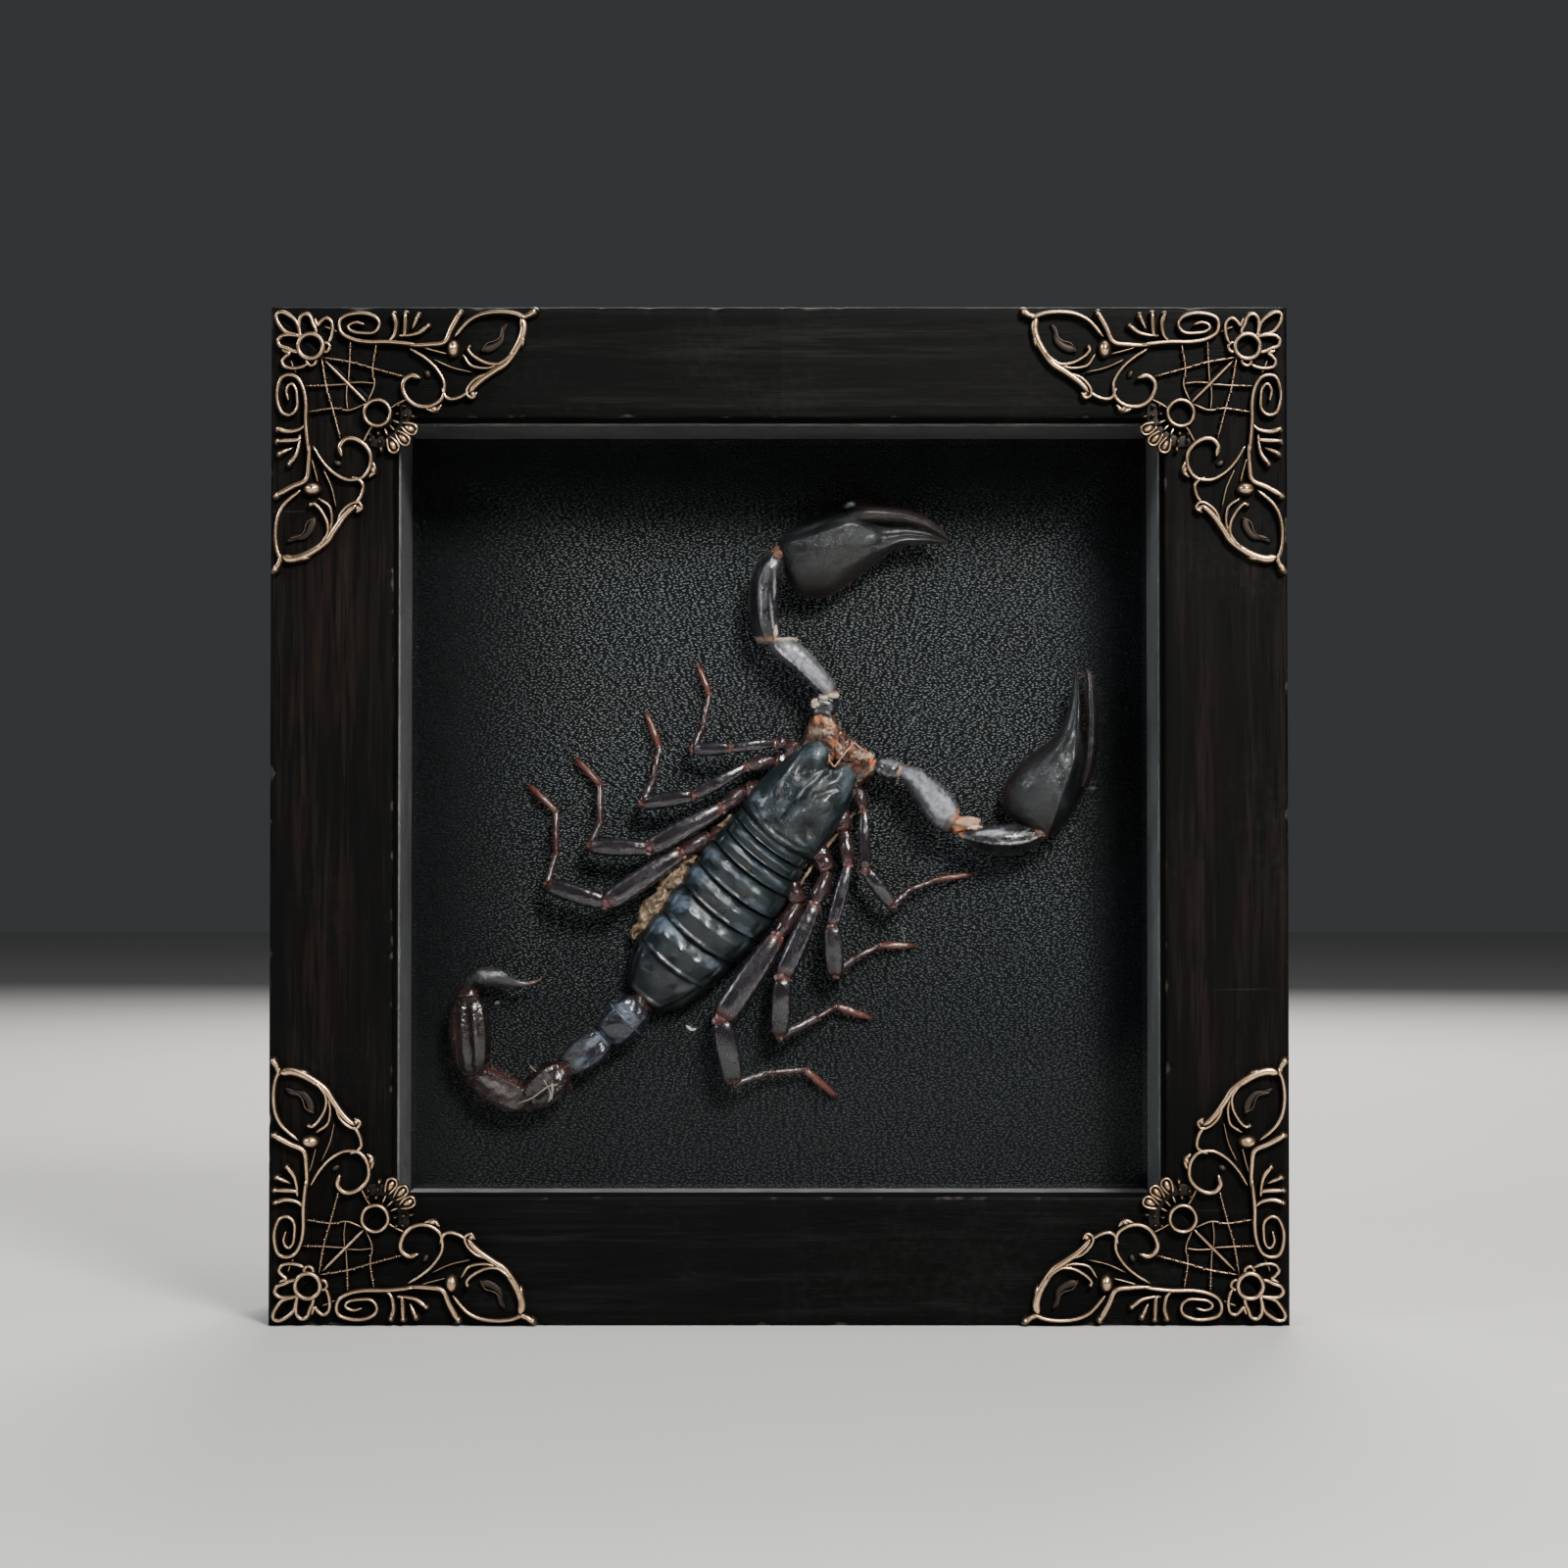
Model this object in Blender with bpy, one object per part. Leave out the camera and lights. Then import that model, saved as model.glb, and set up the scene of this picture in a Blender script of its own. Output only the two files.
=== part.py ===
"""A square shadow-box frame with filigree corners and a scorpion mounted inside it.

The scene is in metres, +Z is up and the front faces -Y. The origin is at the
middle of the underside. Sizes below are in millimetres, and each mesh and each
place is scaled to metres once. The scorpion is modelled lying on the panel, in
the panel's own axes, and an empty stands it up inside the frame.
"""

import math

import bmesh
import bpy
from mathutils import Vector
from mathutils.geometry import delaunay_2d_cdt

MM = 0.001
GAP = 0.3
UP = Vector((0.0, 0.0, 1.0))

# Frame, in millimetres. Depths are measured back from the front face.
FRAME_SIDE = 160.0
FRAME_DEPTH = 34.0
TOP_FACE = 17.7
SIDE_FACE = 19.5
BOTTOM_FACE = 20.2
LIP_DEPTH = 7.0
WALL_SHARE = 0.6
ARRIS = 0.6

GLASS_THICKNESS = 2.0
PANEL_DEPTH = 27.0
PANEL_THICKNESS = 3.0
BOARD_THICKNESS = 3.0
BOTTOM_SPACER_SETBACK = 1.25
SPACER_EASE = 0.2

# Filigree corners and what stands proud of the front and the back.
PROUD = 1.9
CORNER_THICKNESS = PROUD - GAP

# Sawtooth hanger and its nails, on the back of the top rail. The toothed middle
# stands clear of the wood, so that a wall nail's head fits behind it.
HANGER_TOP = FRAME_SIDE - 1.6
HANGER_LENGTH = 42.0
HANGER_HEIGHT = 8.0
HANGER_THICKNESS = 0.7
HANGER_RAISED = 26.0
HANGER_BEND = 1.5
HANGER_TEETH = 8
TOOTH_HEIGHT = 2.2
NAIL_SPACING = 35.6
NAIL_HOLE_RADIUS = 1.0
NAIL_SHANK_RADIUS = 0.6
NAIL_HEAD_RADIUS = 1.7
NAIL_SIDES = 8

# Flexible steel points that hold the back board in its rebate.
POINT_LENGTH = 13.0
POINT_WIDTH = 5.5
POINT_THICKNESS = 0.4
POINT_OFFSET = 32.0

FRONT_Y = -FRAME_DEPTH / 2
BACK_Y = FRAME_DEPTH / 2
PANEL_Y = FRONT_Y + PANEL_DEPTH

# Outer and lip corners, anticlockwise from the lower left as seen from the front.
OUTER_CORNERS = (
    Vector((-FRAME_SIDE / 2, 0.0)),
    Vector((FRAME_SIDE / 2, 0.0)),
    Vector((FRAME_SIDE / 2, FRAME_SIDE)),
    Vector((-FRAME_SIDE / 2, FRAME_SIDE)),
)
LIP_CORNERS = (
    Vector((-FRAME_SIDE / 2 + SIDE_FACE, BOTTOM_FACE)),
    Vector((FRAME_SIDE / 2 - SIDE_FACE, BOTTOM_FACE)),
    Vector((FRAME_SIDE / 2 - SIDE_FACE, FRAME_SIDE - TOP_FACE)),
    Vector((-FRAME_SIDE / 2 + SIDE_FACE, FRAME_SIDE - TOP_FACE)),
)

# The scorpion's long axis: the tail root's place on the panel and the heading
# of the head end, anticlockwise from +X. Distances s run along it from the
# tail root, t runs to the animal's right, and heights stand off the panel.
TAIL_ROOT = Vector((-22.4, 49.7))
HEADING = math.radians(51.5)
ALONG = Vector((math.cos(HEADING), math.sin(HEADING)))
ACROSS = Vector((math.sin(HEADING), -math.cos(HEADING)))
BELLY_HEIGHT = GAP

# Back plates from the carapace to the tail root: the s of each plate's edges.
PLATE_EDGES = (35.0, 33.0, 30.2, 27.6, 23.2, 18.6, 13.8, 8.2, 0.0)
TRUNK_HALF_WIDTHS = (
    (0.0, 2.2), (4.0, 5.8), (8.2, 7.3), (13.8, 7.7), (18.6, 7.8), (27.6, 7.6), (35.0, 7.4),
)
TRUNK_CROWNS = ((0.0, 4.6), (4.0, 6.4), (8.2, 7.4), (14.0, 8.3), (20.0, 8.8), (35.0, 8.3))
PLATE_TUCK = 0.92
TRUNK_SIDES = 12

# Carapace: share of its length, half width and crown height.
CARAPACE_BELLY = 0.8
CARAPACE_REAR = 34.4
CARAPACE_FRONT = 52.2
CARAPACE_SECTIONS = (
    (0.0, 7.6, 8.0), (0.12, 7.9, 9.0), (0.5, 7.5, 8.8), (0.78, 6.7, 8.0), (0.95, 5.7, 7.0), (1.0, 5.0, 6.2),
)
CARAPACE_SIDES = 16
NOTCH_DEPTH = 2.4
NOTCH_HALF_WIDTH = 1.5
GROOVE_DEPTH = 0.9
GROOVE_HALF_WIDTH = 0.9

# Legs: each joint's x and z on the panel and its height, from hip to claw.
LEG_JOINTS = {
    "left_1": ((1.6, 92.0, 3.6), (-0.6, 91.9, 4.4), (-8.0, 91.1, 5.4), (-14.2, 90.8, 4.6),
               (-12.5, 94.9, 3.0), (-11.5, 100.1, 1.6), (-13.3, 104.9, 0.8)),
    "left_2": ((-0.8, 89.2, 3.4), (-5.3, 88.1, 4.6), (-14.0, 83.3, 5.6), (-22.4, 82.0, 4.8),
               (-20.6, 86.1, 3.0), (-19.7, 91.4, 1.6), (-21.8, 96.8, 0.8)),
    "left_3": ((-5.7, 84.3, 3.2), (-9.3, 81.4, 4.6), (-21.2, 74.7, 5.8), (-31.0, 75.0, 5.0),
               (-29.4, 78.9, 3.0), (-29.5, 85.3, 1.6), (-33.4, 89.4, 0.8)),
    "left_4": ((-11.4, 76.9, 3.0), (-15.9, 74.1, 4.6), (-28.2, 65.8, 5.8), (-38.0, 68.8, 5.0),
               (-36.6, 73.7, 3.0), (-36.7, 80.8, 1.6), (-41.0, 85.0, 0.8)),
    "right_1": ((12.8, 84.6, 3.6), (13.8, 81.0, 4.4), (14.0, 71.2, 5.4), (18.5, 65.4, 4.6),
                (21.6, 68.1, 3.0), (26.0, 69.7, 1.6), (31.4, 70.5, 0.8)),
    "right_2": ((10.7, 77.6, 3.4), (11.3, 72.1, 4.6), (8.6, 62.1, 5.6), (9.1, 54.0, 4.8),
                (12.3, 56.8, 3.0), (16.5, 58.8, 1.6), (21.9, 58.8, 0.8)),
    "right_3": ((8.0, 70.9, 3.2), (5.9, 65.7, 4.6), (0.5, 53.8, 5.8), (0.0, 44.1, 5.0),
                (6.4, 47.2, 3.0), (9.3, 48.8, 1.6), (14.8, 47.0, 0.8)),
    "right_4": ((3.2, 65.7, 3.0), (-0.2, 60.5, 4.6), (-9.4, 47.0, 5.8), (-7.4, 36.3, 5.0),
                (-1.6, 38.1, 3.0), (4.3, 38.4, 1.6), (9.1, 34.2, 0.8)),
}
# Half widths of each leg's trochanter, femur, patella, tibia, metatarsus and tarsus.
LEG_HALF_WIDTHS = {
    "left_1": (1.0, 0.85, 0.95, 0.8, 0.6, 0.55),
    "left_2": (1.1, 0.95, 1.15, 0.85, 0.65, 0.6),
    "left_3": (1.2, 1.3, 1.15, 0.8, 0.65, 0.65),
    "left_4": (1.3, 1.45, 1.25, 0.7, 0.8, 0.6),
    "right_1": (1.0, 0.85, 1.05, 0.8, 0.55, 0.55),
    "right_2": (1.1, 1.0, 1.45, 0.9, 0.55, 0.6),
    "right_3": (1.2, 1.4, 1.45, 0.95, 0.5, 0.65),
    "right_4": (1.3, 1.75, 1.6, 0.65, 0.55, 0.7),
}
LEG_SIDES = 6
LEG_FULLEST = (0.4,)
JOINT_SCALE = 0.72
COXA_HALF_WIDTH = 1.5
COXA_ROOT_OFFSET = 3.2
COXA_ROOT_HEIGHT = 2.4
COXA_FORWARD = 3.5
COXA_FRONT_LIMIT = 46.0

# Pedipalp coxae, jaws and the pleural fold, in s, t, height and half width.
PALP_COXAE = (
    ((46.0, -2.8, 3.2, 2.2), (52.6, -4.6, 4.0, 2.4), (54.8, -5.4, 4.4, 1.6)),
    ((46.0, 3.0, 3.2, 2.2), (52.4, 4.4, 4.0, 2.0), (53.8, 4.7, 4.4, 1.2)),
)
JAWS = (
    ((47.5, -0.9, 4.2, 1.4), (54.4, -1.4, 4.0, 0.9)),
    ((47.5, 2.0, 4.2, 1.4), (54.6, 2.4, 4.0, 0.9)),
)
PLEURAL_FOLD = ((26.0, -6.6, 2.6, 1.1), (17.5, -7.9, 2.6, 2.0), (7.5, -7.6, 2.4, 1.1))

# Tail: the joints' places on the panel and heights, and each segment's half width.
TAIL_JOINTS = (
    (-22.9, 49.2, 3.6), (-28.2, 44.0, 3.7), (-34.8, 39.0, 3.6), (-41.2, 33.4, 3.5), (-50.0, 37.4, 3.6),
    (-50.8, 51.0, 3.6),
)
TAIL_HALF_WIDTHS = (3.1, 2.6, 3.0, 2.7, 3.2)
TAIL_FULLEST = (0.28, 0.78)
VESICLE = (
    (-50.9, 50.2, 3.6, 1.3), (-50.6, 52.4, 3.8, 1.3), (-48.6, 53.6, 4.0, 1.7), (-46.0, 53.7, 4.0, 1.8),
    (-43.4, 52.9, 3.8, 1.0), (-41.0, 52.6, 3.6, 0.55), (-38.8, 53.4, 3.4, 0.15),
)

# Pedipalp arms: centre, height and half width at each station.
LEFT_ARM = (
    (7.7, 96.4, 4.6, 1.6), (8.2, 98.6, 4.8, 2.6), (8.9, 100.3, 5.0, 1.7), (6.6, 103.6, 5.4, 2.3),
    (1.8, 107.0, 5.6, 2.2), (-0.7, 108.6, 5.6, 1.5), (-2.3, 110.6, 5.7, 2.1), (-2.8, 114.0, 5.8, 2.6),
    (-2.2, 119.2, 5.8, 2.5), (-0.2, 122.2, 5.6, 1.5), (1.2, 123.0, 5.6, 1.5),
)
RIGHT_ARM = (
    (16.1, 88.5, 4.6, 1.2), (17.6, 87.6, 4.8, 2.2), (19.6, 86.9, 5.0, 1.6), (22.4, 85.2, 5.4, 2.5),
    (26.4, 81.2, 5.6, 2.6), (28.5, 79.2, 5.4, 1.5), (31.4, 77.9, 5.4, 1.8), (36.0, 76.4, 5.6, 2.7),
    (40.2, 76.2, 5.6, 2.3), (42.6, 77.2, 5.6, 1.5), (43.0, 78.6, 5.6, 1.5),
)

# Claw outlines: the two edges of each cross-section and its lowest and highest height.
LEFT_HAND = (
    ((0.0, 124.4), (0.0, 121.6), 4.0, 7.2), ((1.6, 126.4), (1.6, 117.4), 1.4, 8.6),
    ((5.6, 129.0), (5.2, 115.7), 0.3, 9.6), ((9.6, 130.6), (9.2, 116.4), 0.3, 9.6),
    ((13.6, 130.6), (13.6, 119.6), 1.2, 8.8), ((16.8, 127.4), (16.8, 122.2), 2.6, 7.6),
    ((20.6, 127.4), (20.2, 124.0), 3.4, 6.8), ((24.0, 126.9), (24.0, 124.6), 3.8, 6.2),
    ((27.6, 125.2), (27.5, 124.6), 4.3, 5.1),
)
LEFT_FINGER = (
    ((11.8, 130.9), (12.4, 127.0), 3.6, 8.4), ((17.0, 130.6), (17.4, 127.6), 4.0, 8.0),
    ((21.6, 129.9), (21.2, 127.5), 4.4, 7.4), ((25.4, 127.9), (24.8, 126.3), 4.6, 6.6),
    ((27.7, 125.6), (27.4, 125.2), 4.8, 5.6),
)
RIGHT_HAND = (
    ((41.2, 77.4), (44.6, 76.8), 4.0, 7.2), ((37.6, 79.6), (46.4, 79.2), 1.6, 8.6),
    ((36.5, 82.6), (48.0, 81.6), 0.3, 9.6), ((37.2, 85.6), (49.2, 84.6), 0.3, 9.6),
    ((40.6, 89.2), (49.8, 88.2), 1.2, 9.0), ((44.8, 92.8), (49.6, 92.2), 2.6, 8.0),
    ((47.0, 96.4), (49.3, 96.2), 3.4, 7.0), ((47.7, 100.2), (49.2, 100.2), 4.0, 6.2),
    ((48.3, 103.8), (48.7, 103.8), 4.6, 5.4),
)
RIGHT_FINGER = (
    ((47.6, 84.6), (50.2, 85.6), 2.8, 6.6), ((49.0, 90.0), (51.4, 89.8), 2.8, 6.2),
    ((49.6, 95.0), (52.0, 95.0), 2.8, 5.8), ((49.7, 100.0), (51.9, 100.0), 3.0, 5.4),
    ((50.0, 103.8), (50.8, 103.9), 3.4, 4.4),
)
ARM_SIDES = 8
HAND_SIDES = 10

# Filigree, in millimetres from the frame's outer corner along its two edges.
# The strokes of one half are listed, and the other half mirrors them about the
# diagonal. Each stroke has its half width at its start and at its end.
HALF_STROKES = (
    (0.34, 0.34, ((22.8, 6.1), (18.6, 5.8), (14.4, 5.7), (11.7, 4.7), (10.9, 3.1), (11.9, 1.6),
                  (14.8, 1.2), (17.0, 2.4), (16.4, 4.0), (14.2, 4.2), (12.9, 3.3))),
    (0.34, 0.55, ((22.8, 6.1), (27.4, 5.7), (28.6, 3.4), (29.9, 1.1))),
    (0.28, 0.55, ((19.0, 5.7), (19.5, 1.2))),
    (0.28, 0.55, ((20.0, 5.8), (21.3, 1.1))),
    (0.28, 0.55, ((21.0, 5.9), (23.3, 1.5))),
    (0.28, 0.55, ((21.8, 6.0), (24.8, 3.1))),
    (0.36, 0.5, ((28.4, 6.2), (30.6, 3.0), (33.4, 1.3), (38.0, 1.2), (41.6, 0.9))),
    (0.7, 0.45, ((39.4, 1.6), (39.7, 4.4), (38.2, 7.7), (35.2, 10.3), (31.4, 13.6), (28.2, 14.6),
                 (27.2, 13.4))),
    (0.45, 0.45, ((37.4, 8.2), (34.6, 9.2), (31.8, 7.8), (29.2, 6.6))),
    (0.34, 0.6, ((22.2, 6.2), (25.2, 8.9), (27.3, 12.2), (26.6, 15.1), (24.2, 15.9), (21.8, 14.7),
                 (20.9, 12.4), (22.7, 11.1))),
    (0.28, 0.28, ((8.0, 8.2), (12.5, 8.9), (21.2, 11.8))),
    (0.28, 0.28, ((16.7, 5.8), (16.2, 12.2), (15.9, 15.2))),
    (0.3, 0.3, ((18.6, 16.2), (21.4, 14.6))),
)
HALF_DISCS = (
    (28.8, 6.6, 1.25, 6),
    (25.8, 16.2, 0.9, 5),
)
DIAGONAL_STROKE = (0.28, 0.28, ((7.6, 7.6), (15.6, 15.6)))
FLOWER_CENTRE = (6.4, 6.4)
FLOWER_RADIUS = 1.95
PETAL_ANGLES = (-135.0, -99.0, -171.0, -61.0, 151.0)
PETAL_LENGTHS = (7.0, 5.0, 5.0, 5.0, 5.0)
PETAL_HALF_ANGLE = 17.0
SHELL_CENTRE = (16.9, 16.9)
SHELL_RADIUS = 2.0
RING_HALF_WIDTH = 0.35
RING_SIDES = 8
FAN_ANGLES = (1.0, 23.0, 45.0, 67.0, 89.0)
FAN_LENGTHS = (5.9, 6.6, 6.7, 6.6, 5.9)
FAN_HALF_ANGLE = 11.0

MATERIALS = {
    "frame_wood": ((0.022, 0.020, 0.019), 0.55, 0.0),
    "glass": ((0.9, 0.93, 0.92), 0.05, 0.0),
    "spacer": ((0.10, 0.10, 0.10), 0.4, 0.0),
    "leatherette": ((0.012, 0.016, 0.017), 0.45, 0.0),
    "board": ((0.03, 0.028, 0.026), 0.8, 0.0),
    "antique_bronze": ((0.42, 0.27, 0.17), 0.35, 0.9),
    "steel": ((0.5, 0.5, 0.5), 0.35, 1.0),
    "shell": ((0.015, 0.022, 0.026), 0.25, 0.0),
}


def clear_scene():
    """Remove every object that the scene starts with."""
    for obj in list(bpy.data.objects):
        bpy.data.objects.remove(obj, do_unlink=True)


def add_object(name, mesh, place=(0.0, 0.0, 0.0), turn=(0.0, 0.0, 0.0)):
    """Link a mesh to the scene as a named object at a place in millimetres."""
    obj = bpy.data.objects.new(name, mesh)
    obj.location = Vector(place) * MM
    obj.rotation_euler = turn
    bpy.context.scene.collection.objects.link(obj)
    return obj


def finish(obj, look, smooth_angle=None):
    """Give an object its own material, and smooth shading where it is round."""
    colour, roughness, metallic = MATERIALS[look]
    material = bpy.data.materials.new(obj.name)
    material.use_nodes = True
    shader = material.node_tree.nodes["Principled BSDF"]
    shader.inputs["Base Color"].default_value = (*colour, 1.0)
    shader.inputs["Roughness"].default_value = roughness
    shader.inputs["Metallic"].default_value = metallic
    obj.data.materials.clear()
    obj.data.materials.append(material)
    if smooth_angle is not None:
        obj.data.shade_smooth()
        obj.data.set_sharp_from_angle(angle=math.radians(smooth_angle))
    return obj


def mesh_from(bm, name):
    """Turn a bmesh in millimetres into a mesh in metres whose faces point out."""
    bmesh.ops.recalc_face_normals(bm, faces=bm.faces)
    bmesh.ops.scale(bm, vec=(MM, MM, MM), verts=bm.verts)
    mesh = bpy.data.meshes.new(name)
    bm.to_mesh(mesh)
    bm.free()
    return mesh


def blended(table, position):
    """Read a table of (position, value) pairs, in straight lines between them."""
    for (low, low_value), (high, high_value) in zip(table, table[1:]):
        if position <= high:
            share = (position - low) / (high - low)
            return low_value + (high_value - low_value) * max(share, 0.0)
    return table[-1][1]


def block(size, ease=0.0):
    """A block of a size, centred on its origin, with its edges eased."""
    bm = bmesh.new()
    bmesh.ops.create_cube(bm, size=1.0)
    bmesh.ops.scale(bm, vec=size, verts=bm.verts)
    if ease:
        bmesh.ops.bevel(bm, geom=list(bm.edges), offset=ease, segments=1, affect="EDGES")
    return mesh_from(bm, "block")


def box(name, low, high, ease=0.0):
    """A block between two corners."""
    low, high = Vector(low), Vector(high)
    return add_object(name, block(high - low, ease), (low + high) / 2)


def loft(rings):
    """Join equal rings of points into one closed skin. Each ring is even in
    number and runs round from its right edge, so that an end closes in strips."""
    bm = bmesh.new()
    loops = [[bm.verts.new(point) for point in ring] for ring in rings]
    count = len(loops[0])
    for near, far in zip(loops, loops[1:]):
        for k in range(count):
            after = (k + 1) % count
            bm.faces.new((near[k], near[after], far[after], far[k]))
    for end in (loops[0], loops[-1]):
        half = count // 2
        for k in range(half):
            corners = (end[k], end[k + 1], end[(-k - 1) % count], end[-k % count])
            bm.faces.new(list(dict.fromkeys(corners)))
    return mesh_from(bm, "skin")


def section(edge, other_edge, low, high, sides):
    """An oval ring on the panel between two edges and two heights."""
    middle = (Vector(edge) + Vector(other_edge)) / 2
    reach = Vector(other_edge) - middle
    flank = low + (high - low) * 0.42
    ring = []
    for k in range(sides):
        angle = math.tau * k / sides
        place = middle + reach * math.cos(angle)
        rise = math.sin(angle)
        height = flank + rise * ((high - flank) if rise > 0 else (flank - low))
        ring.append(Vector((place.x, place.y, height)))
    return ring


def on_animal(s, t, height):
    """The point at a place along and across the animal's axis."""
    place = TAIL_ROOT + ALONG * s + ACROSS * t
    return Vector((place.x, place.y, height))


def limb(stations, sides):
    """A closed skin along stations of (point, half width)."""
    points = [Vector(point) for point, half_width in stations]
    rings = []
    for index, (point, half_width) in enumerate(stations):
        before = points[max(index - 1, 0)]
        after = points[min(index + 1, len(points) - 1)]
        direction = (after - before).normalized()
        side = direction.cross(UP).normalized()
        lift = side.cross(direction)
        ring = []
        for k in range(sides):
            angle = math.tau * k / sides
            offset = side * math.cos(angle) + lift * math.sin(angle)
            ring.append(points[index] + offset * half_width)
        rings.append(ring)
    return loft(rings)


def jointed(joints, half_widths, sides, fullest):
    """A limb of segments, each one full at the shares given and narrow at its joints."""
    stations = [(joints[0], half_widths[0] * JOINT_SCALE)]
    for start, end, half_width in zip(joints, joints[1:], half_widths):
        stations += [(start.lerp(end, share), half_width) for share in fullest]
        stations.append((end, half_width * JOINT_SCALE))
    return limb(stations, sides)


def fuse(name, meshes):
    """Unite closed skins that overlap into one solid."""
    base = add_object(name, meshes[0])
    helpers = [add_object(f"{name}_part", mesh) for mesh in meshes[1:]]
    for helper in helpers:
        union = base.modifiers.new("union", "BOOLEAN")
        union.operation = "UNION"
        union.solver = "EXACT"
        union.object = helper
    graph = bpy.context.evaluated_depsgraph_get()
    solid = bpy.data.meshes.new_from_object(base.evaluated_get(graph))
    base.modifiers.clear()
    base.data = solid
    for helper in helpers:
        bpy.data.objects.remove(helper, do_unlink=True)
    return base


def make_rail(name, first, second, face):
    """One mitred length of rebated moulding between two corners of the frame."""
    wall = face * WALL_SHARE
    profile = (
        (ARRIS, 0.0), (face - ARRIS, 0.0), (face, ARRIS), (face, LIP_DEPTH), (wall, LIP_DEPTH),
        (wall, FRAME_DEPTH), (ARRIS, FRAME_DEPTH), (0.0, FRAME_DEPTH - ARRIS), (0.0, ARRIS),
    )
    along = (OUTER_CORNERS[second] - OUTER_CORNERS[first]).normalized()
    bm = bmesh.new()
    ends = []
    for corner, inset in ((first, along * GAP / 2), (second, -along * GAP / 2)):
        verts = []
        for inward, depth in profile:
            place = OUTER_CORNERS[corner].lerp(LIP_CORNERS[corner], inward / face) + inset
            verts.append(bm.verts.new((place.x, FRONT_Y + depth, place.y)))
        ends.append(verts)
    for k in range(len(profile)):
        after = (k + 1) % len(profile)
        bm.faces.new((ends[0][k], ends[0][after], ends[1][after], ends[1][k]))
    for verts in ends:
        bm.faces.new(verts)
    finish(add_object(name, mesh_from(bm, name)), "frame_wood")


def make_frame():
    """Four mitred rails."""
    make_rail("rail_bottom", 0, 1, BOTTOM_FACE)
    make_rail("rail_right", 1, 2, SIDE_FACE)
    make_rail("rail_top", 2, 3, TOP_FACE)
    make_rail("rail_left", 3, 0, SIDE_FACE)


def make_filling():
    """Glass, spacer strips, backing panel and back board, in the rails' rebate."""
    left = -FRAME_SIDE / 2 + SIDE_FACE * WALL_SHARE + GAP
    right = -left
    low = BOTTOM_FACE * WALL_SHARE + GAP
    high = FRAME_SIDE - TOP_FACE * WALL_SHARE - GAP
    glass_front = FRONT_Y + LIP_DEPTH + GAP
    glass_back = glass_front + GLASS_THICKNESS
    finish(box("glass_pane", (left, glass_front, low), (right, glass_back, high)), "glass")

    spacer_front = glass_back + GAP
    spacer_back = PANEL_Y - GAP
    inner_left = LIP_CORNERS[0].x
    inner_right = LIP_CORNERS[1].x
    inner_low = LIP_CORNERS[0].y - BOTTOM_SPACER_SETBACK
    inner_high = LIP_CORNERS[2].y
    strips = {
        "spacer_left": ((left, low), (inner_left, high)),
        "spacer_right": ((inner_right, low), (right, high)),
        "spacer_bottom": ((inner_left + GAP, low), (inner_right - GAP, inner_low)),
        "spacer_top": ((inner_left + GAP, inner_high), (inner_right - GAP, high)),
    }
    for name, ((x_low, z_low), (x_high, z_high)) in strips.items():
        strip = box(name, (x_low, spacer_front, z_low), (x_high, spacer_back, z_high), SPACER_EASE)
        finish(strip, "spacer")

    panel_back = PANEL_Y + PANEL_THICKNESS
    finish(box("backing_panel", (left, PANEL_Y, low), (right, panel_back, high)), "leatherette")
    board_front = panel_back + GAP
    board_back = board_front + BOARD_THICKNESS
    finish(box("back_board", (left, board_front, low), (right, board_back, high)), "board")
    return left, low, high, board_back


def make_points(left, low, high, board_back):
    """Two steel points on each side hold the back board."""
    y = board_back + GAP + POINT_THICKNESS / 2
    reach = POINT_LENGTH / 2
    for index, shift in enumerate((-POINT_OFFSET, POINT_OFFSET), start=1):
        places = {
            "left": (left + reach, FRAME_SIDE / 2 + shift, False),
            "right": (-left - reach, FRAME_SIDE / 2 + shift, False),
            "bottom": (shift, low + reach, True),
            "top": (shift, high - reach, True),
        }
        for side, (x, z, upright) in places.items():
            mesh = block((POINT_LENGTH, POINT_THICKNESS, POINT_WIDTH))
            turn = (0.0, math.pi / 2 if upright else 0.0, 0.0)
            finish(add_object(f"back_point_{side}_{index}", mesh, (x, y, z), turn), "steel")


def hanger_plate():
    """The sawtooth plate, flat at its ends and raised along its teeth."""
    bottom = HANGER_TOP - HANGER_HEIGHT
    half, raised = HANGER_LENGTH / 2, HANGER_RAISED / 2
    pitch = HANGER_RAISED / HANGER_TEETH
    flat = BACK_Y + GAP
    clear = BACK_Y + PROUD - HANGER_THICKNESS
    columns = [(-half, bottom + TOOTH_HEIGHT, flat), (-raised - HANGER_BEND, bottom + TOOTH_HEIGHT, flat)]
    for k in range(HANGER_TEETH):
        columns.append((-raised + pitch * k, bottom, clear))
        columns.append((-raised + pitch * (k + 0.5), bottom + TOOTH_HEIGHT, clear))
    columns.append((raised, bottom, clear))
    columns += [(-x, z, y) for x, z, y in reversed(columns[:2])]
    bm = bmesh.new()
    pairs = [(bm.verts.new((x, y, HANGER_TOP)), bm.verts.new((x, y, z))) for x, z, y in columns]
    for (high, low), (next_high, next_low) in zip(pairs, pairs[1:]):
        bm.faces.new((high, low, next_low, next_high))
    thickened(bm, HANGER_THICKNESS)
    return mesh_from(bm, "hanger")


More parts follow.
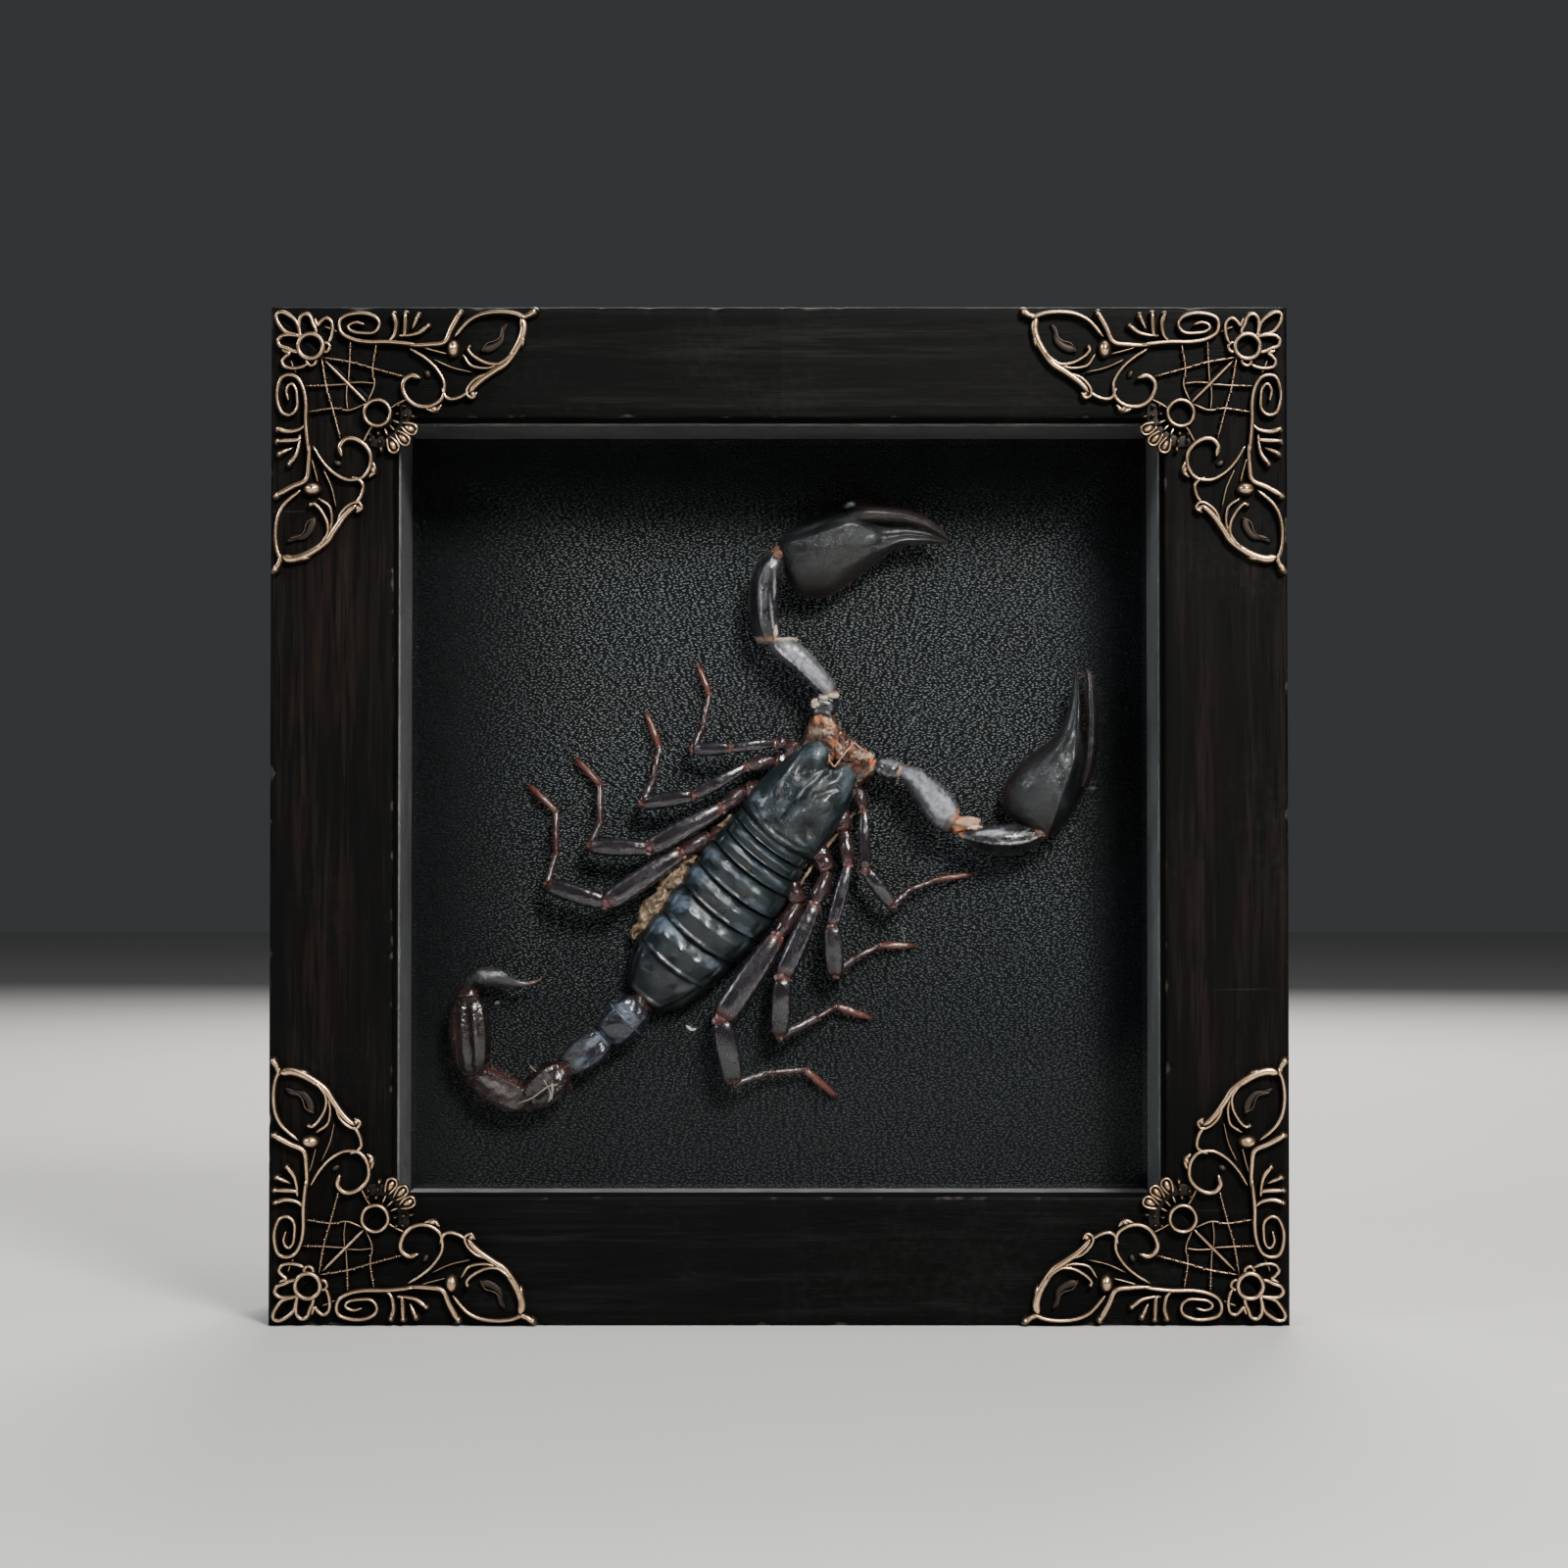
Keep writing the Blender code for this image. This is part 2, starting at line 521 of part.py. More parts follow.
def make_hanger():
    """A sawtooth plate with two nails, in the middle of the top rail's back."""
    hanger = add_object("hanger", hanger_plate())
    nail_z = HANGER_TOP - HANGER_HEIGHT / 2 + TOOTH_HEIGHT / 2
    under_head = HANGER_THICKNESS + 2 * GAP
    bore = ((NAIL_HOLE_RADIUS, -1.0), (NAIL_HOLE_RADIUS, PROUD + 1.0))
    nail_profile = (
        (NAIL_SHANK_RADIUS, GAP), (NAIL_SHANK_RADIUS, under_head), (NAIL_HEAD_RADIUS, under_head),
        (NAIL_HEAD_RADIUS * 0.8, PROUD),
    )
    for index, x in enumerate((-NAIL_SPACING / 2, NAIL_SPACING / 2), start=1):
        place = (x, BACK_Y, nail_z)
        hole = add_object(f"nail_hole_{index}", turned(bore), place)
        hole.hide_render = True
        hole.display_type = "WIRE"
        cut = hanger.modifiers.new(f"nail_hole_{index}", "BOOLEAN")
        cut.operation = "DIFFERENCE"
        cut.solver = "EXACT"
        cut.object = hole
        nail = add_object(f"hanger_nail_{index}", turned(nail_profile), place)
        finish(nail, "steel", smooth_angle=50)
    finish(hanger, "steel")


def turned(profile):
    """A round piece about +Y, from pairs of radius and distance along it."""
    rings = []
    for radius, distance in profile:
        angles = [math.tau * k / NAIL_SIDES for k in range(NAIL_SIDES)]
        rings.append([Vector((radius * math.cos(a), distance, radius * math.sin(a))) for a in angles])
    return loft(rings)


def ribbon(points, start_width, end_width):
    """The quads of a flat stroke along points, mitred at its bends."""
    points = [Vector(point) for point in points]
    last = len(points) - 1
    sides = []
    for index, point in enumerate(points):
        before = (point - points[index - 1]).normalized() if index else None
        after = (points[index + 1] - point).normalized() if index < last else None
        before, after = before or after, after or before
        direction = (before + after).normalized()
        normal = Vector((-direction.y, direction.x))
        stretch = 1.0 / max(direction.dot(before), 0.6)
        half_width = start_width + (end_width - start_width) * index / last
        sides.append((point + normal * half_width * stretch, point - normal * half_width * stretch))
    return [(a, b, d, c) for (a, b), (c, d) in zip(sides, sides[1:])]


def polar(centre, angle, radius):
    """The point at an angle in degrees and a radius from a centre."""
    angle = math.radians(angle)
    return Vector(centre) + Vector((math.cos(angle), math.sin(angle))) * radius


def disc(u, v, radius, sides):
    """A flat polygon."""
    return tuple(polar((u, v), 360.0 * k / sides, radius) for k in range(sides))


def ring_strokes(centre, radius):
    """The quads of a ring."""
    step = 360.0 / RING_SIDES
    inner, outer = radius - RING_HALF_WIDTH, radius + RING_HALF_WIDTH
    quads = []
    for k in range(RING_SIDES):
        near, far = k * step, (k + 1) * step
        quads.append((polar(centre, near, inner), polar(centre, near, outer),
                      polar(centre, far, outer), polar(centre, far, inner)))
    return quads


def filigree_shapes():
    """Every flat shape of one corner, as polygons that overlap."""
    half = []
    for start_width, end_width, points in HALF_STROKES:
        half += ribbon(points, start_width, end_width)
    half += [disc(*values) for values in HALF_DISCS]
    shapes = half + [tuple(Vector((point.y, point.x)) for point in shape) for shape in half]
    start_width, end_width, points = DIAGONAL_STROKE
    shapes += ribbon(points, start_width, end_width)
    shapes += ring_strokes(FLOWER_CENTRE, FLOWER_RADIUS)
    shapes += ring_strokes(SHELL_CENTRE, SHELL_RADIUS)
    for angle, length in zip(PETAL_ANGLES, PETAL_LENGTHS):
        petal = [polar(FLOWER_CENTRE, angle - PETAL_HALF_ANGLE, FLOWER_RADIUS)]
        petal.append(polar(FLOWER_CENTRE, angle - PETAL_HALF_ANGLE, length * 0.75))
        petal.append(polar(FLOWER_CENTRE, angle, length))
        petal.append(polar(FLOWER_CENTRE, angle + PETAL_HALF_ANGLE, length * 0.75))
        petal.append(polar(FLOWER_CENTRE, angle + PETAL_HALF_ANGLE, FLOWER_RADIUS))
        shapes.append(tuple(petal))
    for angle, length in zip(FAN_ANGLES, FAN_LENGTHS):
        lobe = [polar(SHELL_CENTRE, angle - FAN_HALF_ANGLE, SHELL_RADIUS)]
        lobe.append(polar(SHELL_CENTRE, angle - FAN_HALF_ANGLE, length * 0.8))
        lobe.append(polar(SHELL_CENTRE, angle - FAN_HALF_ANGLE / 2, length))
        lobe.append(polar(SHELL_CENTRE, angle + FAN_HALF_ANGLE / 2, length))
        lobe.append(polar(SHELL_CENTRE, angle + FAN_HALF_ANGLE, length * 0.8))
        lobe.append(polar(SHELL_CENTRE, angle + FAN_HALF_ANGLE, SHELL_RADIUS))
        shapes.append(tuple(lobe))
    return shapes


def filigree_plate():
    """The flat union of a corner's shapes: its points and its triangles."""
    points, faces = [], []
    for shape in filigree_shapes():
        area = sum(a.x * b.y - b.x * a.y for a, b in zip(shape, shape[1:] + shape[:1]))
        ordered = shape if area > 0 else tuple(reversed(shape))
        faces.append(list(range(len(points), len(points) + len(ordered))))
        points += ordered
    verts, edges, triangles, _, _, covered = delaunay_2d_cdt(points, [], faces, 0, 0.0005)
    kept = [triangle for triangle, owners in zip(triangles, covered) if owners]
    return verts, kept


def thickened(bm, depth):
    """Turn a bmesh's flat faces into a solid that reaches a depth along +Y."""
    grown = bmesh.ops.extrude_face_region(bm, geom=list(bm.faces))
    moved = [item for item in grown["geom"] if isinstance(item, bmesh.types.BMVert)]
    bmesh.ops.translate(bm, vec=(0.0, depth, 0.0), verts=moved)


def make_corners():
    """The same filigree at each corner of the frame, turned about +Y to fit it."""
    points, triangles = filigree_plate()
    bm = bmesh.new()
    verts = [bm.verts.new((point.x, -CORNER_THICKNESS, -point.y)) for point in points]
    for triangle in triangles:
        bm.faces.new([verts[k] for k in triangle])
    bmesh.ops.delete(bm, geom=[vert for vert in bm.verts if not vert.link_faces], context="VERTS")
    bmesh.ops.dissolve_limit(bm, angle_limit=math.radians(2.0), verts=bm.verts, edges=bm.edges)
    thickened(bm, CORNER_THICKNESS)
    mesh = mesh_from(bm, "filigree")
    names = ("corner_bottom_left", "corner_bottom_right", "corner_top_right", "corner_top_left")
    for index, (name, corner) in enumerate(zip(names, OUTER_CORNERS)):
        quarter_turns = len(names) - 1 - index
        place = (corner.x, FRONT_Y - GAP, corner.y)
        turn = (0.0, math.pi / 2 * quarter_turns, 0.0)
        finish(add_object(name, mesh.copy(), place, turn), "antique_bronze")


def trunk_skin():
    """The back plates: each rises from under the one before it and ends in a lip."""
    rings = []
    for front, rear in zip(PLATE_EDGES, PLATE_EDGES[1:]):
        for share, scale in ((0.04, PLATE_TUCK), (0.96, 1.0)):
            s = front + (rear - front) * share
            half_width = blended(TRUNK_HALF_WIDTHS, s) * (1.0 + scale) / 2
            crown = blended(TRUNK_CROWNS, s) * scale
            rings.append(animal_ring(s, half_width, crown, TRUNK_SIDES))
    return loft(rings)


def animal_ring(s, half_width, crown, sides):
    """A section across the animal, flat below and arched above."""
    flank = BELLY_HEIGHT + (crown - BELLY_HEIGHT) * 0.36
    ring = []
    for k in range(sides):
        angle = math.tau * k / sides
        rise = math.sin(angle)
        height = flank + rise * ((crown - flank) if rise > 0 else (flank - BELLY_HEIGHT))
        ring.append(on_animal(s, half_width * math.cos(angle), height))
    return ring


def carapace_skin():
    """The head shield: notched in front, with a groove along its middle."""
    rings = []
    for share, half_width, crown in CARAPACE_SECTIONS:
        flank = CARAPACE_BELLY + (crown - CARAPACE_BELLY) * 0.4
        ring = []
        for k in range(CARAPACE_SIDES):
            angle = math.tau * k / CARAPACE_SIDES
            t = half_width * math.cos(angle)
            front = CARAPACE_FRONT - NOTCH_DEPTH * math.exp(-(t / NOTCH_HALF_WIDTH) ** 2)
            rise = math.sin(angle)
            height = flank + rise * ((crown - flank) if rise > 0 else (flank - CARAPACE_BELLY))
            if rise > 0.9:
                height -= GROOVE_DEPTH * math.exp(-(t / GROOVE_HALF_WIDTH) ** 2)
            ring.append(on_animal(CARAPACE_REAR + (front - CARAPACE_REAR) * share, t, height))
        rings.append(ring)
    return loft(rings)


def leg_skin(name):
    """The coxa and the six outer segments of one leg."""
    joints = [Vector(joint) for joint in LEG_JOINTS[name]]
    widths = LEG_HALF_WIDTHS[name]
    side = -1.0 if name.startswith("left") else 1.0
    hip_s = (joints[0].xy - TAIL_ROOT).dot(ALONG)
    root_s = min(hip_s + COXA_FORWARD, COXA_FRONT_LIMIT)
    root = on_animal(root_s, side * COXA_ROOT_OFFSET, COXA_ROOT_HEIGHT)
    return jointed([root] + joints, (COXA_HALF_WIDTH,) + widths, LEG_SIDES, LEG_FULLEST)


def animal_limb(stations, sides):
    """A skin along stations of s, t, height and half width."""
    return limb([(on_animal(s, t, height), half_width) for s, t, height, half_width in stations], sides)


def panel_limb(stations, sides):
    """A skin along stations of a place on the panel, a height and a half width."""
    return limb([(Vector(station[:3]), station[3]) for station in stations], sides)


def make_body():
    """Head shield, back plates, jaws, pedipalp coxae and the eight legs."""
    skins = [trunk_skin(), carapace_skin(), animal_limb(PLEURAL_FOLD, LEG_SIDES)]
    for stations in PALP_COXAE + JAWS:
        skins.append(animal_limb(stations, LEG_SIDES))
    skins += [leg_skin(name) for name in LEG_JOINTS]
    return finish(fuse("scorpion_body", skins), "shell", smooth_angle=65)


def make_tail():
    """Five tail segments, and the sting's bulb and point."""
    joints = [Vector(joint) for joint in TAIL_JOINTS]
    skins = [jointed(joints, TAIL_HALF_WIDTHS, ARM_SIDES, TAIL_FULLEST), panel_limb(VESICLE, ARM_SIDES)]
    return finish(fuse("scorpion_tail", skins), "shell", smooth_angle=65)


def make_pincer(name, arm, hand, finger):
    """Three arm segments, the hand with its fixed finger, and the moving finger."""
    skins = [panel_limb(arm, ARM_SIDES)]
    for outline in (hand, finger):
        skins.append(loft([section(*values, HAND_SIDES) for values in outline]))
    return finish(fuse(name, skins), "shell", smooth_angle=65)


def make_scorpion():
    """The animal's four pieces, held on the panel's face by an empty."""
    specimen = add_object("specimen", None, (0.0, PANEL_Y, 0.0), (math.pi / 2, 0.0, 0.0))
    pieces = [make_body(), make_tail()]
    pieces.append(make_pincer("scorpion_pincer_left", LEFT_ARM, LEFT_HAND, LEFT_FINGER))
    pieces.append(make_pincer("scorpion_pincer_right", RIGHT_ARM, RIGHT_HAND, RIGHT_FINGER))
    for piece in pieces:
        piece.parent = specimen


def main():
    """Build the whole object."""
    clear_scene()
    make_frame()
    left, low, high, board_back = make_filling()
    make_points(left, low, high, board_back)
    make_hanger()
    make_corners()
    make_scorpion()


main()
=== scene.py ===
"""Looks for a framed scorpion specimen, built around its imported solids.

Everything is in metres, +Z is up and the front faces -Y. The code below works
in millimetres and turns each mesh to metres once. A place on the panel is
written as x, z and its height off the panel's face.
"""

import itertools
import math

import bmesh
import bpy
import numpy as np
from bpy.types import NodeSocket, Operator, Panel, PropertyGroup
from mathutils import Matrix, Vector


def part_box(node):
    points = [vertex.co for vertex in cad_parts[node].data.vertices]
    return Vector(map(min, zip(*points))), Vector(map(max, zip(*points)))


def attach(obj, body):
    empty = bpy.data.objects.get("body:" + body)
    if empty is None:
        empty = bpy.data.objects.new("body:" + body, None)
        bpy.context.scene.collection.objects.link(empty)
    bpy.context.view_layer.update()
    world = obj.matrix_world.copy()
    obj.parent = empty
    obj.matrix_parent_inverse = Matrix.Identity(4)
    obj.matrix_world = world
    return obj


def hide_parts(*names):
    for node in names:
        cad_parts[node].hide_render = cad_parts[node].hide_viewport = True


bl_info = {
    "name": "Framed scorpion specimen",
    "version": (1, 0, 0),
    "blender": (4, 5, 0),
    "location": "View3D > Sidebar > Specimen",
    "description": "Builds the finished pieces of a framed scorpion over its packed solids",
    "category": "Object",
}

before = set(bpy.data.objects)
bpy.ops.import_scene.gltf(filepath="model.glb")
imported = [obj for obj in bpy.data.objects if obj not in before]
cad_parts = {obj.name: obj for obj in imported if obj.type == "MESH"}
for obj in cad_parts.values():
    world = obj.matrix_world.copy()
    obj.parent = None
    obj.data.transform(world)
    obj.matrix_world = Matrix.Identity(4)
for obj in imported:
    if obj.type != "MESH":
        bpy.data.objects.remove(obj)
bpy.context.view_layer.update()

MM = 0.001
TAU = math.tau
UP = np.array((0, 0, 1))


def node_box(node):
    """A CAD node's corners in millimetres."""
    low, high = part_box(node)
    return np.array(low) / MM, np.array(high) / MM


LEFT_LOW, LEFT_HIGH = node_box("rail_left")
SIDE = LEFT_HIGH[2]
FRONT_Y, BACK_Y = LEFT_LOW[1], LEFT_HIGH[1]
SIDE_FACE = LEFT_HIGH[0] + SIDE / 2
TOP_FACE = SIDE - node_box("rail_top")[0][2]
BOTTOM_FACE = node_box("rail_bottom")[1][2]
PANEL_Y = node_box("backing_panel")[0][1]
CREST_Y = node_box("corner_top_left")[0][1]
LIP_DEPTH = 7
WALL_SHARE = 0.6
CORNER_GAP = 0.3
SEAM_DEPTH = 0.12
SEAM_SHARE = 0.0009
LIP_HALF = SIDE / 2 - SIDE_FACE

# The scorpion's long axis on the panel: its tail root and its heading.
TAIL_ROOT = np.array((-22.4, 49.7))
HEADING = math.radians(51.5)
ALONG = np.array((math.cos(HEADING), math.sin(HEADING)))
ACROSS = np.array((math.sin(HEADING), -math.cos(HEADING)))


def length_property(name, description, default):
    """A length that a user may change."""
    return bpy.props.FloatProperty(
        name=name, description=description, default=default, min=0, subtype="DISTANCE", unit="LENGTH"
    )


def colour_property(name, description, default):
    """A colour that a user may change."""
    return bpy.props.FloatVectorProperty(
        name=name, description=description, default=default, size=3, min=0, max=1, subtype="COLOR"
    )


class MouldingSettings(PropertyGroup):
    """Sizes and colours of the four rails."""

    arris: length_property("Arris", "Radius of the rails' rounded edges", 0.0006)
    dent: length_property("Dent", "Depth of the deepest chip in an edge", 0.00028)
    stain: colour_property("Stain", "Dark stain of the wood", (0.0026, 0.0024, 0.0023))
    bare: colour_property("Rubbed edge", "Wood where the stain is rubbed", (0.04, 0.037, 0.034))


class BoxSettings(PropertyGroup):
    """Colours of the glass, strips, panel, board and steel."""

    glass: colour_property("Glass", "Tint of the glass", (0.96, 0.98, 0.975))
    strip: colour_property("Strips", "Grey of the strips inside the box", (0.1, 0.103, 0.103))
    # This colour is that of the pebbles' lit tops, a painted highlight far lighter than the black of the real
    # facing.
    leather: colour_property("Leatherette", "Black of the panel's facing", (0.38, 0.45, 0.47))
    board: colour_property("Board", "Black paint of the back board", (0.022, 0.021, 0.02))
    zinc: colour_property("Zinc", "Colour of the plated steel", (0.56, 0.57, 0.58))


class FiligreeSettings(PropertyGroup):
    """Size and colours of the stamped corners."""

    bright: colour_property("Rubbed bronze", "Bronze on the rubbed crests", (0.84, 0.57, 0.36))
    patina: colour_property("Patina", "Dark patina in the recesses", (0.01, 0.006, 0.004))


class AnimalSettings(PropertyGroup):
    """Colours of the dried scorpion."""

    shell: colour_property("Shell", "Blue-black of the back plates", (0.0045, 0.008, 0.0092))
    sheen: colour_property("Shell mottling", "Lighter mottling of the back plates", (0.011, 0.018, 0.021))
    claw: colour_property("Claws", "Charcoal of the pincers", (0.008, 0.0085, 0.009))
    leg: colour_property("Legs", "Purplish brown of the legs", (0.01, 0.008, 0.0095))
    amber: colour_property("Joints", "Amber of the joint skins", (0.42, 0.115, 0.03))
    ochre: colour_property("Side folds", "Ochre of the skin along the sides", (0.165, 0.118, 0.066))


class StageSettings(PropertyGroup):
    """The floor and the camera."""

    floor: colour_property("Floor", "Pale colour of the floor", (0.62, 0.61, 0.59))
    distance: length_property("Camera distance", "Camera's distance in front of the middle", 0.557)
    lens: bpy.props.FloatProperty(
        name="Lens", description="Focal length of the camera, in millimetres", default=79.04, min=10
    )


def mixed(first, second, share):
    """A colour between two."""
    return tuple(a + (b - a) * share for a, b in zip(first, second))


def scaled(colour, factor):
    """A colour made lighter or darker."""
    return tuple(value * factor for value in colour)


def feed(tree, socket, value):
    """Link another socket to this one, or set its value."""
    if isinstance(value, NodeSocket):
        tree.links.new(value, socket)
    else:
        socket.default_value = value


def put(tree, kind, values=None, **settings):
    """Add a shader node with its settings and its inputs."""
    made = tree.nodes.new("ShaderNode" + kind)
    for key, value in settings.items():
        setattr(made, key, value)
    for key, value in (values or {}).items():
        feed(tree, made.inputs[key], value)
    return made


def maths(tree, operation, first, second=0, third=0.5, clamp=False):
    """The result of a Math node."""
    values = {0: first, 1: second, 2: third}
    return put(tree, "Math", values, operation=operation, use_clamp=clamp).outputs[0]


def times(tree, first, second, clamp=False):
    """One value times another."""
    return maths(tree, "MULTIPLY", first, second, clamp=clamp)


def blend(tree, share, first, second, mode="MIX"):
    """The colour result of a Mix node."""
    values = {0: share}
    for index, value in ((6, first), (7, second)):
        values[index] = value if isinstance(value, NodeSocket) else (*tuple(value)[:3], 1)
    return put(tree, "Mix", values, data_type="RGBA", blend_type=mode).outputs[2]


def layered(tree, colour, *layers):
    """A colour with further ones laid over it, each where its mask says."""
    for mask, tint in layers:
        colour = blend(tree, mask, colour, tint)
    return colour


def steps(tree, value, low, high, to_low=0, to_high=1):
    """Map a value's range smoothly to another one."""
    values = {0: value, 1: low, 2: high, 3: to_low, 4: to_high}
    return put(tree, "MapRange", values, interpolation_type="SMOOTHSTEP").outputs[0]


def noise(tree, vector, scale, detail=3, roughness=0.55, distortion=0):
    """The value of a noise texture."""
    values = {"Vector": vector, "Scale": scale, "Detail": detail, "Roughness": roughness}
    return put(tree, "TexNoise", values | {"Distortion": distortion}).outputs[0]


def stretched(tree, scale=(1, 1, 1), turn=(0, 0, 0)):
    """Object coordinates, scaled and turned."""
    place = put(tree, "TexCoord").outputs["Object"]
    return put(tree, "Mapping", {"Vector": place, "Scale": scale, "Rotation": turn}).outputs[0]


def split(tree, vector):
    """A vector's X, Y and Z."""
    return put(tree, "SeparateXYZ", {0: vector}).outputs


def spot_of(tree):
    """Where a point of the surface is, as X, Y and Z in metres."""
    return split(tree, put(tree, "TexCoord").outputs["Object"])


def facing_of(tree):
    """Which way a point of the surface faces, as X, Y and Z."""
    return split(tree, put(tree, "NewGeometry").outputs["Normal"])


def mask_of(tree, name):
    """A mask that the mesh carries."""
    return put(tree, "Attribute", attribute_name=name).outputs["Fac"]


def edge_wear(tree, given):
    """Where an edge is rubbed: the mesh's own wear value, broken up by noise."""
    grit = noise(tree, stretched(tree), given["Scale"], 4, 0.65)
    edge = times(tree, mask_of(tree, "wear"), maths(tree, "ADD", grit, given["Amount"]))
    return steps(tree, edge, 0.62, 1.05)


def dust(tree, given):
    """Fine dust and lint that lies more on faces that look up."""
    place = stretched(tree)
    lies = maths(tree, "MULTIPLY_ADD", facing_of(tree)["Z"], 0.5, 0.6)
    fine = noise(tree, place, given["Scale"], 6, 0.7)
    speck = steps(tree, times(tree, fine, noise(tree, place, 45, 2)), 0.26, 0.42)
    return times(tree, speck, times(tree, given["Amount"], lies), clamp=True)


def mottle(tree, given):
    """Soft patches over a surface, with finer ones inside them."""
    place = stretched(tree)
    broad = noise(tree, place, given["Scale"], 3, 0.5, 0.4)
    fine = noise(tree, place, times(tree, given["Scale"], 4.3), 3, 0.6)
    both = maths(tree, "MULTIPLY_ADD", fine, 0.35, times(tree, broad, 0.8))
    spread = times(tree, maths(tree, "SUBTRACT", both, 0.57), given["Contrast"])
    return maths(tree, "MULTIPLY_ADD", spread, 3, 0.5, clamp=True)


def shell_grain(tree, given):
    """Pits, granules and shallow wrinkles of dried shell, as one height."""
    place = stretched(tree)
    cells = put(tree, "TexVoronoi", {"Vector": place, "Scale": given["Scale"]}).outputs["Distance"]
    grain = times(tree, steps(tree, cells, 0, 0.5, 1, 0), given["Granules"])
    folds = noise(tree, place, times(tree, given["Scale"], 0.3), 3, 0.5, 0.8)
    return maths(tree, "MULTIPLY_ADD", folds, given["Wrinkles"], grain)


# Shared effects: maker, output, and inputs with their defaults.
EFFECTS = {
    "Edge wear": (edge_wear, "Mask", {"Amount": 0.5, "Scale": 900}),
    "Dust": (dust, "Mask", {"Amount": 0.3, "Scale": 700}),
    "Mottle": (mottle, "Tone", {"Scale": 200, "Contrast": 1}),
    "Shell grain": (shell_grain, "Height", {"Granules": 0.5, "Wrinkles": 0.5, "Scale": 1500}),
}


def shader_group(name):
    """The node group of a shared effect."""
    maker, output, inputs = EFFECTS[name]
    tree = bpy.data.node_groups.new(name, "ShaderNodeTree")
    for label, default in inputs.items():
        socket = tree.interface.new_socket(label, in_out="INPUT", socket_type="NodeSocketFloat")
        socket.default_value = default
    tree.interface.new_socket(output, in_out="OUTPUT", socket_type="NodeSocketFloat")
    given = tree.nodes.new("NodeGroupInput").outputs
    tree.links.new(maker(tree, given), tree.nodes.new("NodeGroupOutput").inputs[output])
    return tree


def effect(tree, name, **values):
    """Place a shared effect in a material, making it the first time, and give its output."""
    made = put(tree, "Group")
    made.node_tree = bpy.data.node_groups.get(name) or shader_group(name)
    for key, value in values.items():
        made.inputs[key].default_value = value
    return made.outputs[0]


def new_material(name):
    """A material and its tree."""
    material = bpy.data.materials.new(name)
    material.use_nodes = True
    return material, material.node_tree


def dress(material, **sockets):
    """Link or set the sockets of a material's shader; underscores stand for spaces."""
    tree = material.node_tree
    shader = tree.nodes["Principled BSDF"]
    for key, value in sockets.items():
        feed(tree, shader.inputs[key.replace("_", " ")], value)
    return material


def bumped(tree, height, strength, distance):
    """A normal from a height, its distance in metres."""
    return put(tree, "Bump", {"Height": height, "Strength": strength, "Distance": distance}).outputs[0]


def stained_wood(name, upright, tint, seam, settings):
    """Near-black stained wood, its grain along the rail, with one faint joint of tone."""
    material, tree = new_material(name)
    place = stretched(tree, (1, 1, 0.05) if upright else (0.05, 1, 1))
    lines = noise(tree, place, 1500, 5, 0.62, 0.3)
    streaks = noise(tree, place, 260, 4, 0.6, 0.6)
    pores = steps(tree, noise(tree, place, 3600, 2), 0.6, 0.72)
    light = [value * 2.6 + extra for value, extra in zip(settings.stain, tint)]
    tone = times(tree, steps(tree, streaks, 0.4, 0.66), steps(tree, lines, 0.38, 0.64))
    colour = blend(tree, tone, settings.stain, light)
    spot = spot_of(tree)
    across, side = seam
    if side:
        beyond = maths(tree, "GREATER_THAN", spot["X"], across * MM)
        line = maths(tree, "COMPARE", spot["X"], across * MM, 0.00006)
        toned = blend(tree, 1, colour, (side, side, side), "MULTIPLY")
        colour = layered(tree, colour, (beyond, toned), (times(tree, line, 0.6), (0.004, 0.004, 0.004)))
    # Painted shade on the wood near each corner, under the filigree.
    out_z = maths(tree, "ABSOLUTE", maths(tree, "SUBTRACT", spot["Z"], SIDE / 2 * MM))
    out = maths(tree, "MINIMUM", maths(tree, "ABSOLUTE", spot["X"]), out_z)
    scratches = noise(tree, stretched(tree, (0.03, 1, 1), (0, 0.35, 0)), 900, 2, 0.5)
    colour = layered(
        tree, colour,
        (steps(tree, out, 0.04, 0.05, 0, 0.5), (0.0012, 0.0011, 0.001)),
        (times(tree, steps(tree, scratches, 0.735, 0.765), 0.35), (0.035, 0.032, 0.03)),
        (effect(tree, "Edge wear", Amount=0.3), settings.bare),
        (effect(tree, "Dust", Amount=0.06), (0.08, 0.08, 0.08)),
    )
    height = maths(tree, "SUBTRACT", lines, times(tree, pores, 0.7))
    return dress(material, Base_Color=colour, Roughness=steps(tree, lines, 0.2, 0.8, 0.44, 0.6),
                 Normal=bumped(tree, height, 0.6, 0.00008), Specular_IOR_Level=0.06)


def clear_glass(settings):
    """Thin clear glass, which shows its gloss more where it is seen at a slant."""
    material, tree = new_material("clear_glass")
    slant = put(tree, "LayerWeight", {"Blend": 0.35}).outputs["Facing"]
    smear = effect(tree, "Mottle", Scale=38, Contrast=0.7)
    return dress(material, Base_Color=(*settings.glass, 1), Transmission_Weight=1, IOR=1.45,
                 Roughness=maths(tree, "MULTIPLY_ADD", smear, 0.02, 0.01),
                 Alpha=steps(tree, slant, 0.05, 0.95, 0.07, 0.55))


